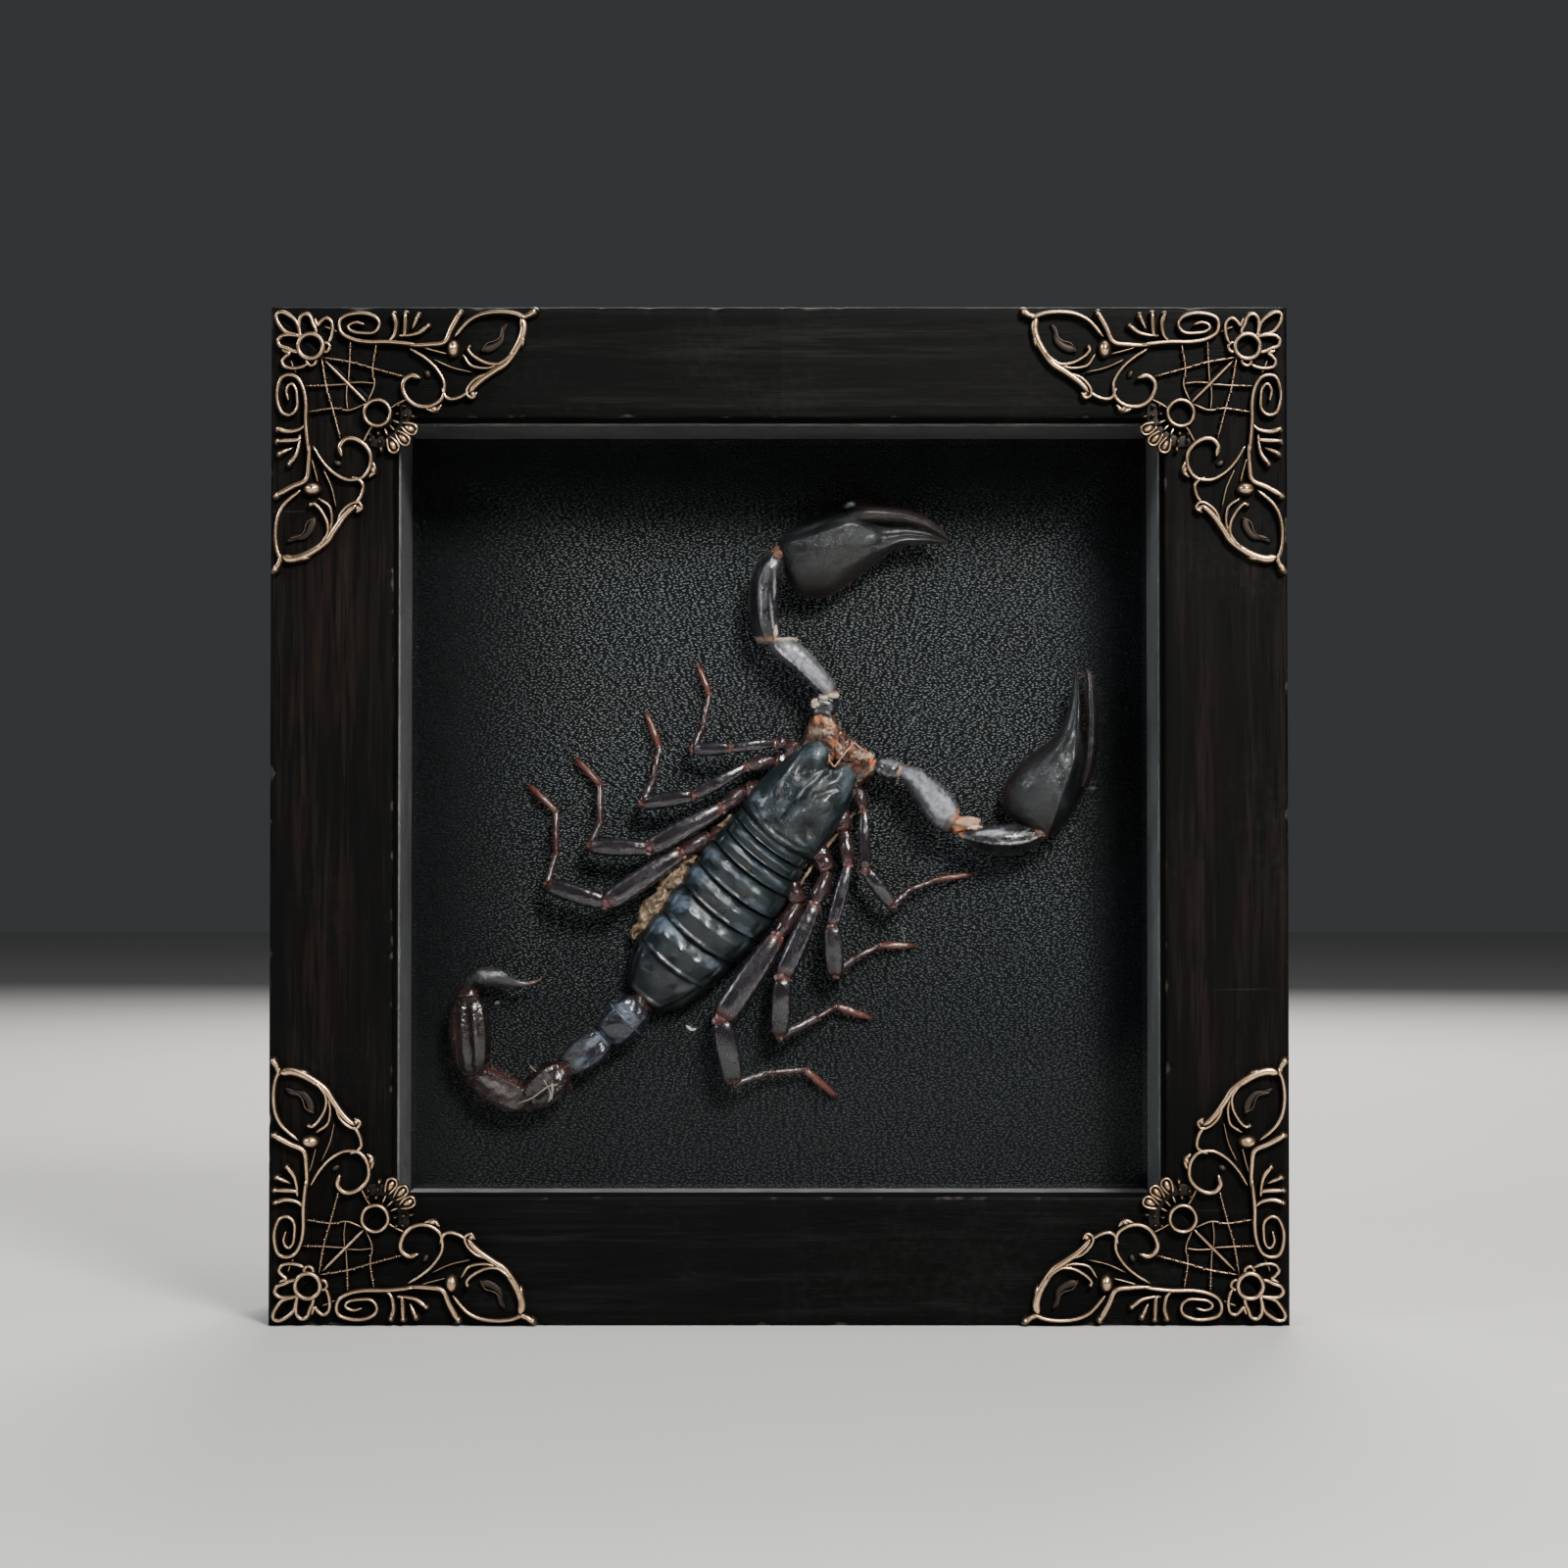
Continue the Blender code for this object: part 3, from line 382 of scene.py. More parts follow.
def strip_plastic(settings):
    """Grey semi-gloss strips with rubs, dents and smudges, and painted light on the faces that look up."""
    material, tree = new_material("strip_grey")
    patches = effect(tree, "Mottle", Scale=120, Contrast=1)
    dents = noise(tree, stretched(tree, (1, 0.35, 1)), 420, 2, 0.5, 0.5)
    marks = steps(tree, dents, 0.66, 0.74)
    normal = facing_of(tree)
    # Painted light: faces that look up are lighter in patches, faces that look down darker, and faces towards +X get
    # less of it.
    painted_top_light = times(tree, steps(tree, normal["Z"], -0.8, 0.9, 0, 0.95), steps(tree, patches, 0, 1, 0.5, 1))
    painted_top_light = times(tree, painted_top_light, steps(tree, normal["X"], 0.1, 0.9, 1, 0.2))
    colour = layered(
        tree, blend(tree, patches, scaled(settings.strip, 0.62), settings.strip),
        (times(tree, marks, 0.7), (0.03, 0.03, 0.03)),
        (painted_top_light, (0.29, 0.29, 0.285)),
        (effect(tree, "Dust", Amount=0.35), (0.22, 0.22, 0.21)),
    )
    return dress(material, Base_Color=colour, Roughness=steps(tree, patches, 0, 1, 0.3, 0.46),
                 Normal=bumped(tree, maths(tree, "SUBTRACT", dents, marks), 0.5, 0.0002))


def leatherette(settings):
    """Black leatherette, embossed with fine pebbles that are wider than they are tall."""
    material, tree = new_material("leatherette")
    place = stretched(tree, (1, 1, 2))
    bent = put(tree, "TexNoise", {"Vector": place, "Scale": 520, "Detail": 2}).outputs["Color"]
    for operation, values in (("SUBTRACT", (0.5, 0.5, 0.5)), ("MULTIPLY", (MM, MM, MM))):
        bent = put(tree, "VectorMath", {0: bent, 1: values}, operation=operation).outputs[0]
    bent = split(tree, put(tree, "VectorMath", {0: place, 1: bent}, operation="ADD").outputs[0])
    flat = put(tree, "CombineXYZ", {"X": bent["X"], "Y": bent["Z"]}).outputs[0]
    values = {"Vector": flat, "Scale": 1500, "Smoothness": 0.15}
    pebbles = put(tree, "TexVoronoi", values, feature="SMOOTH_F1", voronoi_dimensions="2D").outputs["Distance"]
    dome = steps(tree, pebbles, 0.05, 0.52, 1, 0)
    height = maths(tree, "MULTIPLY_ADD", noise(tree, place, 5200, 3, 0.6), 0.08, dome)
    patches = effect(tree, "Mottle", Scale=34, Contrast=0.9)
    lit_tops = blend(tree, patches, settings.leather, mixed(settings.leather, (0.42, 0.38, 0.37), 0.5))
    # Painted shade towards each edge, where the rails' lips shade the panel, and towards the bottom: axis, from and
    # to in millimetres, and how much.
    spot = spot_of(tree)
    painted_edge_shade = [steps(tree, spot[axis], start * MM, end * MM, 0, most) for axis, start, end, most in (
        ("X", LIP_HALF - 17, LIP_HALF - 4, 0.9), ("X", 32 - LIP_HALF, 0.5 - LIP_HALF, 0.95),
        ("Z", SIDE - TOP_FACE - 18, SIDE - TOP_FACE - 4, 0.92), ("Z", SIDE / 2 + 14, BOTTOM_FACE + 4, 0.72),
    )]
    sides, ends = (maths(tree, "MAXIMUM", *pair) for pair in (painted_edge_shade[:2], painted_edge_shade[2:]))
    # The pebble tops are painted far lighter than the black leatherette, as painted highlights, and the gaps near
    # black, as painted shade.
    colour = layered(
        tree, blend(tree, steps(tree, dome, 0.36, 0.94), (0.0012, 0.0024, 0.0028), lit_tops),
        (effect(tree, "Dust", Amount=0.04), (0.13, 0.135, 0.135)),
        (maths(tree, "MAXIMUM", sides, ends), (0.0009, 0.0026, 0.0038)),
    )
    return dress(material, Base_Color=colour, Normal=bumped(tree, height, 1, 0.00115), Specular_IOR_Level=0.2,
                 Roughness=steps(tree, dome, 0, 1, 0.66, 0.22))


def painted_board(settings):
    """Matt black fibreboard with rolled paint and scuffs."""
    material, tree = new_material("painted_board")
    patches = effect(tree, "Mottle", Scale=60, Contrast=1.2)
    fibres = noise(tree, stretched(tree, (1, 1, 0.4)), 1900, 4, 0.65)
    scuffs = steps(tree, noise(tree, stretched(tree, (0.12, 1, 1), (0, 0.5, 0)), 640), 0.68, 0.75)
    colour = layered(
        tree, blend(tree, patches, settings.board, scaled(settings.board, 2.1)),
        (times(tree, scuffs, 0.35), (0.12, 0.1, 0.085)),
        (effect(tree, "Dust", Amount=0.18), (0.12, 0.12, 0.115)),
    )
    return dress(material, Base_Color=colour, Roughness=steps(tree, fibres, 0.2, 0.8, 0.7, 0.88),
                 Normal=bumped(tree, fibres, 0.4, 0.00008))


def zinc_steel(settings):
    """Zinc-plated steel with faint spangle, dull patches and fine rolling lines."""
    material, tree = new_material("zinc_steel")
    spangle = put(tree, "TexVoronoi", {"Vector": stretched(tree), "Scale": 900}).outputs["Color"]
    lines = noise(tree, stretched(tree, (0.04, 1, 1)), 3200, 3, 0.6)
    dull = effect(tree, "Mottle", Scale=420, Contrast=1)
    share = maths(tree, "MULTIPLY_ADD", split(tree, spangle)["X"], 0.4, times(tree, dull, 0.6))
    return dress(material, Base_Color=blend(tree, share, scaled(settings.zinc, 0.62), settings.zinc), Metallic=1,
                 Roughness=steps(tree, dull, 0, 1, 0.28, 0.48), Normal=bumped(tree, lines, 0.2, 0.00003))


def antique_bronze(settings):
    """Stamped bronze: dark patina below, rubbed bright along its crests."""
    material, tree = new_material("antique_bronze")
    raised = steps(tree, spot_of(tree)["Y"], (CREST_Y + 1.25) * MM, (CREST_Y + 0.4) * MM)
    rub = times(tree, raised, steps(tree, facing_of(tree)["Y"], -0.66, -0.99))
    patches = effect(tree, "Mottle", Scale=330, Contrast=1)
    rub = times(tree, rub, steps(tree, patches, 0, 0.7, 0.55, 1), clamp=True)
    specks = steps(tree, noise(tree, stretched(tree), 2600, 4, 0.7), 0.62, 0.74)
    colour = layered(
        tree, settings.patina,
        (times(tree, raised, 0.8), mixed(settings.patina, settings.bright, 0.15)),
        (rub, settings.bright),
        (times(tree, specks, 0.55), settings.patina),
    )
    hammered = noise(tree, stretched(tree), 1500, 3, 0.6)
    return dress(material, Base_Color=colour, Metallic=steps(tree, raised, 0, 0.8, 0.55, 1),
                 Roughness=steps(tree, rub, 0, 1, 0.5, 0.24), Normal=bumped(tree, hammered, 0.3, 0.00008))


# Pale colours serve both the paler parts of a shell and painted highlights.
# Shells and skins: dark, light, stained and pale colours, roughness from and to, coat, granules, wrinkles,
# their depth in metres and scale, and the scales of the mottling and strength of the dust. A colour is given
# as such, as the name of a setting, or as two colours and the share between them.
BLACK = (0, 0, 0)
TAIL_STAIN = (0.042, 0.014, 0.01)
SHELLS = {
    "shield_shell": ("shell", "sheen", "amber", (0.085, 0.115, 0.135),
                     0.36, 0.48, 0.25, 1.2, 0.6, 0.0001, 2300, 330, 0.06),
    "base_skin": ((0.012, 0.006, 0.004), (0.095, 0.034, 0.016), "amber", (0.6, 0.44, 0.32),
                  0.18, 0.36, 0.6, 0.3, 1.4, 0.0002, 1300, 760, 0.12),
    "back_shell": ("shell", "sheen", "amber", (0.095, 0.125, 0.165),
                   0.27, 0.38, 0.45, 0.4, 0.6, 0.00007, 1700, 420, 0.06),
    "side_skin": (("ochre", BLACK, 0.85), "ochre", "amber", (0.46, 0.36, 0.24),
                  0.32, 0.55, 0.3, 0.4, 1.2, 0.00025, 1200, 520, 0.1),
    "leg_shell": (("leg", BLACK, 0.4), ("leg", (0.06, 0.057, 0.074), 0.18), (0.115, 0.03, 0.018),
                  (0.15, 0.13, 0.15), 0.15, 0.26, 0.6, 0.2, 0.8, 0.00007, 1800, 520, 0.07),
    "claw_shell": (("claw", BLACK, 0.4), ("claw", (0.05, 0.052, 0.053), 0.12), (0.02, 0.009, 0.007),
                   (0.06, 0.065, 0.072), 0.29, 0.4, 0.1, 0.9, 0.9, 0.00014, 1900, 260, 0.08),
    "arm_shell": (("leg", "claw", 0.5), (0.022, 0.022, 0.026), ("amber", (0.5, 0.3, 0.18), 0.45),
                  (0.42, 0.42, 0.46), 0.22, 0.36, 0.45, 0.6, 0.5, 0.0001, 2300, 420, 0.2),
    "joint_skin": ((0.012, 0.008, 0.007), (0.055, 0.028, 0.02), "amber", (0.66, 0.56, 0.44),
                   0.2, 0.36, 0.5, 0.4, 1.3, 0.0002, 1500, 700, 0.1),
    "tail_front_shell": ((0.004, 0.005, 0.008), (0.011, 0.012, 0.02), TAIL_STAIN, (0.24, 0.28, 0.35),
                         0.13, 0.24, 0.9, 0.6, 0.6, 0.0001, 1700, 520, 0.06),
    "tail_rear_shell": ((0.003, 0.002, 0.0018), (0.007, 0.0045, 0.004), TAIL_STAIN, (0.115, 0.095, 0.095),
                        0.14, 0.25, 0.7, 0.5, 0.7, 0.0001, 1700, 480, 0.06),
    "sting_shell": ((0.012, 0.012, 0.013), (0.032, 0.032, 0.034), (0.1, 0.045, 0.025), (0.3, 0.3, 0.3),
                    0.2, 0.32, 0.5, 0.4, 0.3, 0.00008, 2300, 230, 0.12),
    "bristle": ((0.1, 0.055, 0.03), (0.22, 0.15, 0.1), "amber", (0.3, 0.25, 0.2),
                0.35, 0.5, 0, 0.1, 0.2, 0.00008, 1500, 230, 0.12),
    "fibre": ((0.24, 0.22, 0.18), (0.42, 0.4, 0.35), "ochre", (0.5, 0.48, 0.42),
              0.5, 0.7, 0, 0.1, 0.2, 0.00008, 1500, 230, 0.12),
    "speck": ((0.62, 0.6, 0.55), (0.8, 0.78, 0.74), "ochre", (0.8, 0.78, 0.74),
              0.5, 0.7, 0, 0.3, 0.4, 0.00008, 1500, 230, 0.12),
}


def colour_of(settings, given):
    """A colour that a row of the table gives."""
    if isinstance(given, str):
        return tuple(getattr(settings, given))
    if not isinstance(given[0], (str, tuple)):
        return given
    first, second, share = given
    return mixed(colour_of(settings, first), colour_of(settings, second), share)


def shell_look(name):
    """Dried shell: mottled, then stained, given its paler parts and painted highlights, and painted shade where the
    mesh says so.
    """
    *colours, gloss_low, gloss_high, coat, granules, wrinkles, depth, scale, patch_scale, dusted = SHELLS[name]
    dark, light, stain, pale = (colour_of(bpy.context.scene.specimen_animal, given) for given in colours)
    material, tree = new_material(name)
    place = stretched(tree)
    patches = effect(tree, "Mottle", Scale=patch_scale, Contrast=1)
    colour = blend(tree, patches, dark, light)
    for mask, tint, size, low, high in (("stain", stain, 900, 0.25, 0.55), ("pale", pale, 1300, 0.3, 0.62)):
        broken = steps(tree, noise(tree, place, size, 4, 0.65), low, high, 0.4, 1)
        colour = blend(tree, times(tree, mask_of(tree, mask), broken, clamp=True), colour, tint)
    colour = layered(
        tree, colour,
        (times(tree, mask_of(tree, "shade"), 0.85), mixed(dark, BLACK, 0.6)),
        (effect(tree, "Dust", Amount=dusted, Scale=1300), (0.17, 0.17, 0.165)),
    )
    grain = effect(tree, "Shell grain", Granules=granules, Wrinkles=wrinkles, Scale=scale)
    return dress(material, Base_Color=colour, Roughness=steps(tree, patches, 0, 1, gloss_low, gloss_high),
                 Normal=bumped(tree, grain, 0.6, depth), Coat_Roughness=0.14, Coat_IOR=1.5,
                 Coat_Weight=steps(tree, patches, 0.2, 1, coat, coat * 0.5))


def floor_look(colour):
    """A plain pale floor with a barely seen variation."""
    material, tree = new_material("pale_floor")
    soft = effect(tree, "Mottle", Scale=3, Contrast=0.6)
    return dress(material, Base_Color=blend(tree, soft, colour, mixed(colour, (1, 1, 1), 0.08)), Roughness=0.75)


class Skins:
    """Gathers closed skins into one mesh, with a value per point for each mask."""

    MASKS = ("stain", "pale", "shade", "wear")

    def __init__(self):
        self.points, self.faces, self.slots = [], [], []
        self.masks = {mask: [] for mask in self.MASKS}
        self.count = 0

    def add(self, points, faces, slot=0, **masks):
        """Add one skin: its points in millimetres, its faces and its masks."""
        points = np.asarray(points, float).reshape(-1, 3)
        self.points.append(points)
        self.faces += [tuple(index + self.count for index in face) for face in faces]
        self.slots += [slot] * len(faces)
        for mask in self.MASKS:
            self.masks[mask].append(np.broadcast_to(masks.get(mask, 0), (len(points),)))
        self.count += len(points)

    def wrap(self, rings, slot=0, **masks):
        """Add a skin over rings, closed at both ends; a mask is one value or an array over the rings."""
        rows, sides = rings.shape[:2]
        for mask, values in masks.items():
            if np.ndim(values):
                values = np.broadcast_to(values, (rows, sides))
                masks[mask] = np.concatenate((values.reshape(-1), (values[0].mean(), values[-1].mean())))
        points = np.vstack((rings.reshape(-1, 3), rings[0].mean(0), rings[-1].mean(0)))
        self.add(points, skin_faces(rows, sides), slot, **masks)

    def paint(self, **painted):
        """Raise masks in broken patches: x, z, half length, half width, degrees and strength."""
        for (mask, patches), (index, points) in itertools.product(painted.items(), enumerate(self.points)):
            value = self.masks[mask][index]
            broken = 0.24 * ripple(points, 1.3, 3) + 0.12 * ripple(points, 0.5, 4)
            for x, z, half_length, half_width, degrees, strength in patches:
                along, across = turned(points[:, 0] - x, points[:, 1] - z, math.radians(-degrees))
                reach = np.hypot(along / half_length, across / half_width) + broken
                value = np.maximum(value, strength * np.clip((1.2 - reach) / 0.55, 0, 1))
            self.masks[mask][index] = value

    def piece(self, name, looks, replaced=(), slot="shell"):
        """Make the piece in metres, with its materials, and let it ride. Shells are stood up on the panel."""
        points = np.vstack(self.points)
        if slot == "shell":
            points = np.stack((points[:, 0], PANEL_Y - points[:, 2], points[:, 1]), axis=1)
            looks = [bpy.data.materials.get(look) or shell_look(look) for look in looks]
        mesh = bpy.data.meshes.new(name)
        mesh.from_pydata((points * MM).tolist(), [], self.faces)
        mesh.polygons.foreach_set("material_index", self.slots)
        for mask, values in self.masks.items():
            stored = mesh.attributes.new(mask, "FLOAT", "POINT")
            stored.data.foreach_set("value", np.concatenate(values).astype(np.float32))
        bm = bmesh.new()
        bm.from_mesh(mesh)
        bmesh.ops.recalc_face_normals(bm, faces=bm.faces)
        bm.to_mesh(mesh)
        bm.free()
        for look in looks:
            mesh.materials.append(look)
        mesh.shade_smooth()
        piece = bpy.data.objects.new(name, mesh)
        bpy.context.scene.collection.objects.link(piece)
        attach(piece, "root")
        if replaced:
            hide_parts(*replaced)


def curve_through(points, per_span=8):
    """A smooth line through points that may carry further columns."""
    given = np.asarray(points, float)
    ends = np.vstack((2 * given[0] - given[1], given, 2 * given[-1] - given[-2]))
    share = (np.arange(per_span) / per_span)[:, None]
    spans = []
    for k in range(1, len(ends) - 2):
        p0, p1, p2, p3 = ends[k - 1:k + 3]
        bend = 2 * p0 - 5 * p1 + 4 * p2 - p3
        twist = -p0 + 3 * p1 - 3 * p2 + p3
        spans.append(0.5 * (2 * p1 + (p2 - p0) * share + bend * share ** 2 + twist * share ** 3))
    return np.vstack(spans + [given[-1:]])


def smooth_table(table, positions):
    """Read a table of (position, value) pairs along a smooth line."""
    line = curve_through(table, 10)
    return np.interp(positions, line[:, 0], line[:, 1])


def skin_faces(rows, sides):
    """Faces of a skin of rings, closed at both ends by fans about two centre points that follow the rings."""
    faces = quads(sides, range(rows - 1), rows)
    first, end = rows * sides, (rows - 1) * sides
    for k in range(sides):
        after = (k + 1) % sides
        faces += [(after, k, first), (end + k, end + after, first + 1)]
    return faces


def quads(sides, spans, rows):
    """Faces between one ring and the next, for each span."""
    faces = []
    for span in spans:
        near, far = span * sides, (span + 1) % rows * sides
        for k in range(sides):
            after = (k + 1) % sides
            faces.append((near + k, near + after, far + after, far + k))
    return faces


def shares(count):
    """Shares from nought to one."""
    return np.linspace(0, 1, count)


def turns(count):
    """Angles spread evenly over one turn."""
    return TAU * np.arange(count) / count


def turned(x, y, angle):
    """Places turned about the origin."""
    return x * math.cos(angle) - y * math.sin(angle), x * math.sin(angle) + y * math.cos(angle)


def level(way):
    """A level direction to the left of another one."""
    return np.array((-way[1], way[0], 0))


def ripple(points, size, seed):
    """Smooth noise from -1 to 1 at points in millimetres, about size across."""
    draw = np.random.default_rng(seed)
    total = np.zeros(points.shape[:-1])
    for layer in range(9):
        way = draw.normal(size=3)
        way *= TAU / (size * (0.6 + 0.9 * draw.random()) * np.linalg.norm(way))
        total += np.sin(points @ way + draw.random() * TAU)
    return total / 4


def unit(vectors):
    """Vectors brought to length one."""
    return vectors / np.maximum(np.linalg.norm(vectors, axis=-1, keepdims=True), 1e-9)


def bell(distance, width):
    """A smooth hump of height one."""
    return np.exp(-(distance / width) ** 2)


def on_animal(s, t, height):
    """Places along and across the animal's axis, as x, z and height."""
    s, t, height = np.broadcast_arrays(np.asarray(s, float), t, height)
    place = TAIL_ROOT + s[..., None] * ALONG + t[..., None] * ACROSS
    return np.concatenate((place, height[..., None]), axis=-1)


# Filigree, in millimetres from the frame's outer corner along its two edges. Each
# stroke has its half width and crest height at its start and at its end. The
# strokes of one half are listed, and the other half mirrors them.
HALF_STROKES = (
    (0.42, 1.5, 0.3, 1.2, ((22.8, 6.1), (18.6, 5.7), (15.4, 5.7), (13.1, 5.3), (11.4, 4.4), (10.9, 3.1), (11.3, 1.9),
        (12.8, 1.3), (14.8, 1.2), (16.6, 1.8), (17.2, 2.8), (16.9, 3.7), (16, 4.3), (14.5, 4.3), (13.1, 4.1),
        (12.3, 3.5), (12.6, 2.9), (13.6, 2.6), (14.7, 2.9))),
    (0.36, 1.3, 0.58, 1.5, ((21.2, 6), (22.8, 6.2), (25.1, 6.1), (27.4, 5.7), (28.5, 3.5), (29.9, 1))),
    (0.3, 1.1, 0.52, 1.5, ((18.6, 5.7), (19.5, 4.6), (19.8, 2.8), (19.4, 1.4))),
    (0.28, 1, 0.5, 1.5, ((20.4, 4.7), (21.1, 4.4), (21.3, 1.3))), (0.28, 1, 0.5, 1.5, ((22.4, 3.5), (23.2, 1.7))),
    (0.28, 1, 0.5, 1.4, ((20.6, 4.8), (23.2, 4.3), (24.8, 3.2))),
    (0.36, 1.3, 0.42, 1.6, ((29.2, 4.7), (30.4, 3.2), (31.6, 2.1), (33.4, 1.3), (35.7, 1), (38.1, 1.2),
        (40.1, 1.9))),
    (0.4, 1.5, 0.62, 1.6, ((39.4, 1.8), (40.6, 1.5), (41.4, 0.9))),
    (0.75, 1.2, 0.5, 1.5, ((39.6, 2.2), (39.8, 3.6), (39.3, 5.4), (38.2, 7.4), (36.9, 9.1), (35.4, 10.1),
        (33.4, 11.5), (32.2, 12.6), (31.6, 13.4))),
    (0.34, 1.5, 0.34, 1.3, ((38, 7.6), (37, 8.5), (35.7, 9.2), (33.9, 9), (32.2, 8.1), (31.2, 7.1), (31.3, 6.5))),
    (0.3, 1.1, 0.3, 1.1, ((30.4, 7.8), (31.6, 9.4), (33.9, 9.8), (35.6, 9.4))),
    (0.32, 1.3, 0.34, 1.3, ((34.6, 10.6), (32.6, 11.3), (31.3, 12.6), (30.9, 13.9), (31.8, 14.5), (32.4, 13.8))),
    (0.36, 1.3, 0.36, 1.3, ((31, 13.7), (29.8, 14.4), (28.4, 14.7), (27.5, 14.2), (27.1, 13.2))),
    (0.3, 1.2, 0.5, 1.5, ((22.2, 6.9), (24.2, 8.1), (26, 9.7), (27.2, 11.6), (27.4, 13.1), (27, 14.6), (25.7, 15.6),
        (24.2, 15.9), (22.8, 15.6), (21.6, 14.6), (20.9, 13.1), (21.1, 11.8), (22.2, 11), (23.4, 11.3))),
    (0.4, 1.2, 0.4, 1.2, ((24.8, 16.3), (26, 16.5), (26.8, 15.8))),
    (0.24, 0.9, 0.24, 0.8, ((24.2, 6.6), (26, 7.1), (27.6, 7.5))),
    (0.24, 0.8, 0.2, 0.7, ((25.9, 8.5), (28.6, 9.7), (31.6, 10.4))),
    (0.3, 0.85, 0.26, 0.85, ((8.3, 8.1), (12.5, 8.8), (15.7, 9.7), (21, 11.1))),
    (0.26, 0.85, 0.24, 0.8, ((12.6, 5.6), (12.5, 8.7), (12.3, 12.2))),
    (0.26, 0.85, 0.26, 0.8, ((16.7, 5.9), (16.1, 9.9), (16.4, 12.4), (15.4, 15))),
    (0.22, 0.8, 0.22, 0.8, ((12.3, 12.1), (14.4, 12), (16.3, 12.2))),
    (0.26, 0.8, 0.3, 0.8, ((18.7, 16.2), (20, 15.4), (21.4, 14.7))),
    (0.3, 0.7, 0.3, 0.7, ((10.4, 4), (9.6, 3.6), (8.7, 3.3))),
    (0.4, 1.3, 0.4, 1.3, ((4.7, 4.5), (4.2, 2.6), (3, 1.5), (1.9, 1), (1.15, 1.15))),
    (0.4, 1.3, 0.4, 1.3, ((4.9, 4.9), (4.7, 4.3), (4.57, 3.07), (4.72, 1.92), (5.44, 1.28), (6.3, 1.63),
        (6.73, 2.78), (7.17, 3.65), (7.31, 4.5))),
    (0.36, 1.2, 0.36, 1.2, ((7.08, 2.15), (7.46, 3.07), (7.95, 2.49), (8.75, 1.92), (9.56, 2.35), (9.85, 3.5),
        (9.68, 4.8), (9.33, 5.66))),
    (0.34, 1.1, 0.34, 1.1, ((8.4, 5.9), (8.9, 5.8), (9.39, 6.39), (9.04, 7.11), (8.3, 7.3))),
)
# Beads along the web lines, which make them look dashed: place and half length.
HALF_BEADS = (
    (9.6, 8.4), (11.4, 8.65), (13.6, 9), (14.9, 9.4), (17.2, 10.1), (18.4, 10.45), (20.2, 10.95), (12.6, 6.4),
    (12.55, 7.6), (16.55, 7.3), (16.3, 8.6), (16.15, 11.1),
)
# Solid pieces: centre, half sizes, turn in degrees and crest height.
HALF_BUDS = (
    (28.8, 6.7, 1.15, 1.6, 0, 1.6), (41.5, 0.95, 0.72, 0.85, 20, 1.6), (31.9, 13.9, 0.8, 0.65, 40, 1.4),
    (25.9, 16.3, 0.85, 0.65, 20, 1.45), (29.9, 1.15, 0.62, 0.75, -25, 1.55), (19.4, 1.35, 0.62, 0.62, 0, 1.55),
    (21.3, 1.25, 0.62, 0.62, 0, 1.55), (23.3, 1.6, 0.62, 0.7, 0, 1.55), (24.9, 3.1, 0.62, 0.55, 20, 1.45),
    (31.3, 6.5, 0.5, 0.6, 30, 1.45), (39.7, 5.4, 0.55, 1.3, 10, 1.2),
)
# The leaf in the outer lobe, and its vein.
LEAF = ((33.6, 6.8), (35, 6.4), (36.2, 5.4), (36.4, 4), (37, 2.9))
LEAF_VEIN = ((33.3, 7.2), (34, 5.9), (35.4, 5.4), (36.2, 4.6), (36.5, 3.2))
# Points round a wire, and how much of its width is kept for wires and for the lower web lines.
WIRE_SIDES = 12
WIRE_SHARE = 0.95
WEB_SHARE = 0.72
WEB_CREST = 0.9
FLOWER = (6.4, 6.4)
FLOWER_RADIUS = 1.95
SHELL_HEART = (16.9, 16.9)
SHELL_RADIUS = 2.05
# Loops about the shell: direction, inner and outer reach, and half width.
LOBES = ((25.5, 4.4, 6.8, 0.9), (45, 4.4, 6.9, 0.85), (64.5, 4.4, 6.8, 0.9))
# One loop's rim, from its inner end round: share of its length and of its half width.
LOBE_RIM = (
    (0.02, 0.42), (0.35, 0.78), (0.68, 0.92), (0.92, 0.62), (1, 0), (0.92, -0.62), (0.68, -0.92), (0.35, -0.78),
    (0.02, -0.42),
)
# Drops about the shell: direction, distance, half length and half width.
DROPS = (
    (5, 4.4, 0.45, 0.27), (5.5, 5.6, 0.62, 0.27), (84.5, 4.5, 0.45, 0.27), (84, 5.7, 0.62, 0.4),
    (-14, 4.4, 0.45, 0.24), (-20, 3.5, 0.4, 0.27), (104, 4.4, 0.45, 0.24), (110, 3.5, 0.4, 0.27),
    (2.5, 3.1, 0.45, 0.27), (87.5, 3.2, 0.5, 0.36),
)
DASHES = (25, 45, 65)

# Rings along a rail, and how many chips it has, on which points of its outline.
RAIL_ROWS = 321
CHIPS = 26
CHIPPED_EDGES = (2, 18, 18, 2, 45)


def wire(path, widths, crests):
    """A half-round wire over a flat base: path points, half widths and crest heights."""
    way = unit(np.gradient(path, axis=0))
    normal = np.stack((-way[:, 1], way[:, 0]), axis=1)
    ends = np.minimum(np.arange(len(path)), np.arange(len(path))[::-1])
    dome = np.where(ends == 0, 0.45, np.where(ends == 1, 0.85, 1))
    angles = turns(WIRE_SIDES)
    rings = np.zeros((len(path), WIRE_SIDES, 3))
    rings[..., :2] = path[:, None] + normal[:, None] * (np.cos(angles) * (widths * dome)[:, None])[..., None]
    rings[..., 2] = crests[:, None] * (0.5 + 0.5 * np.sin(angles)) ** 0.9
    rings[0, :, :2] -= way[0] * widths[0] * 0.7
    rings[-1, :, :2] += way[-1] * widths[-1] * 0.7
    return rings


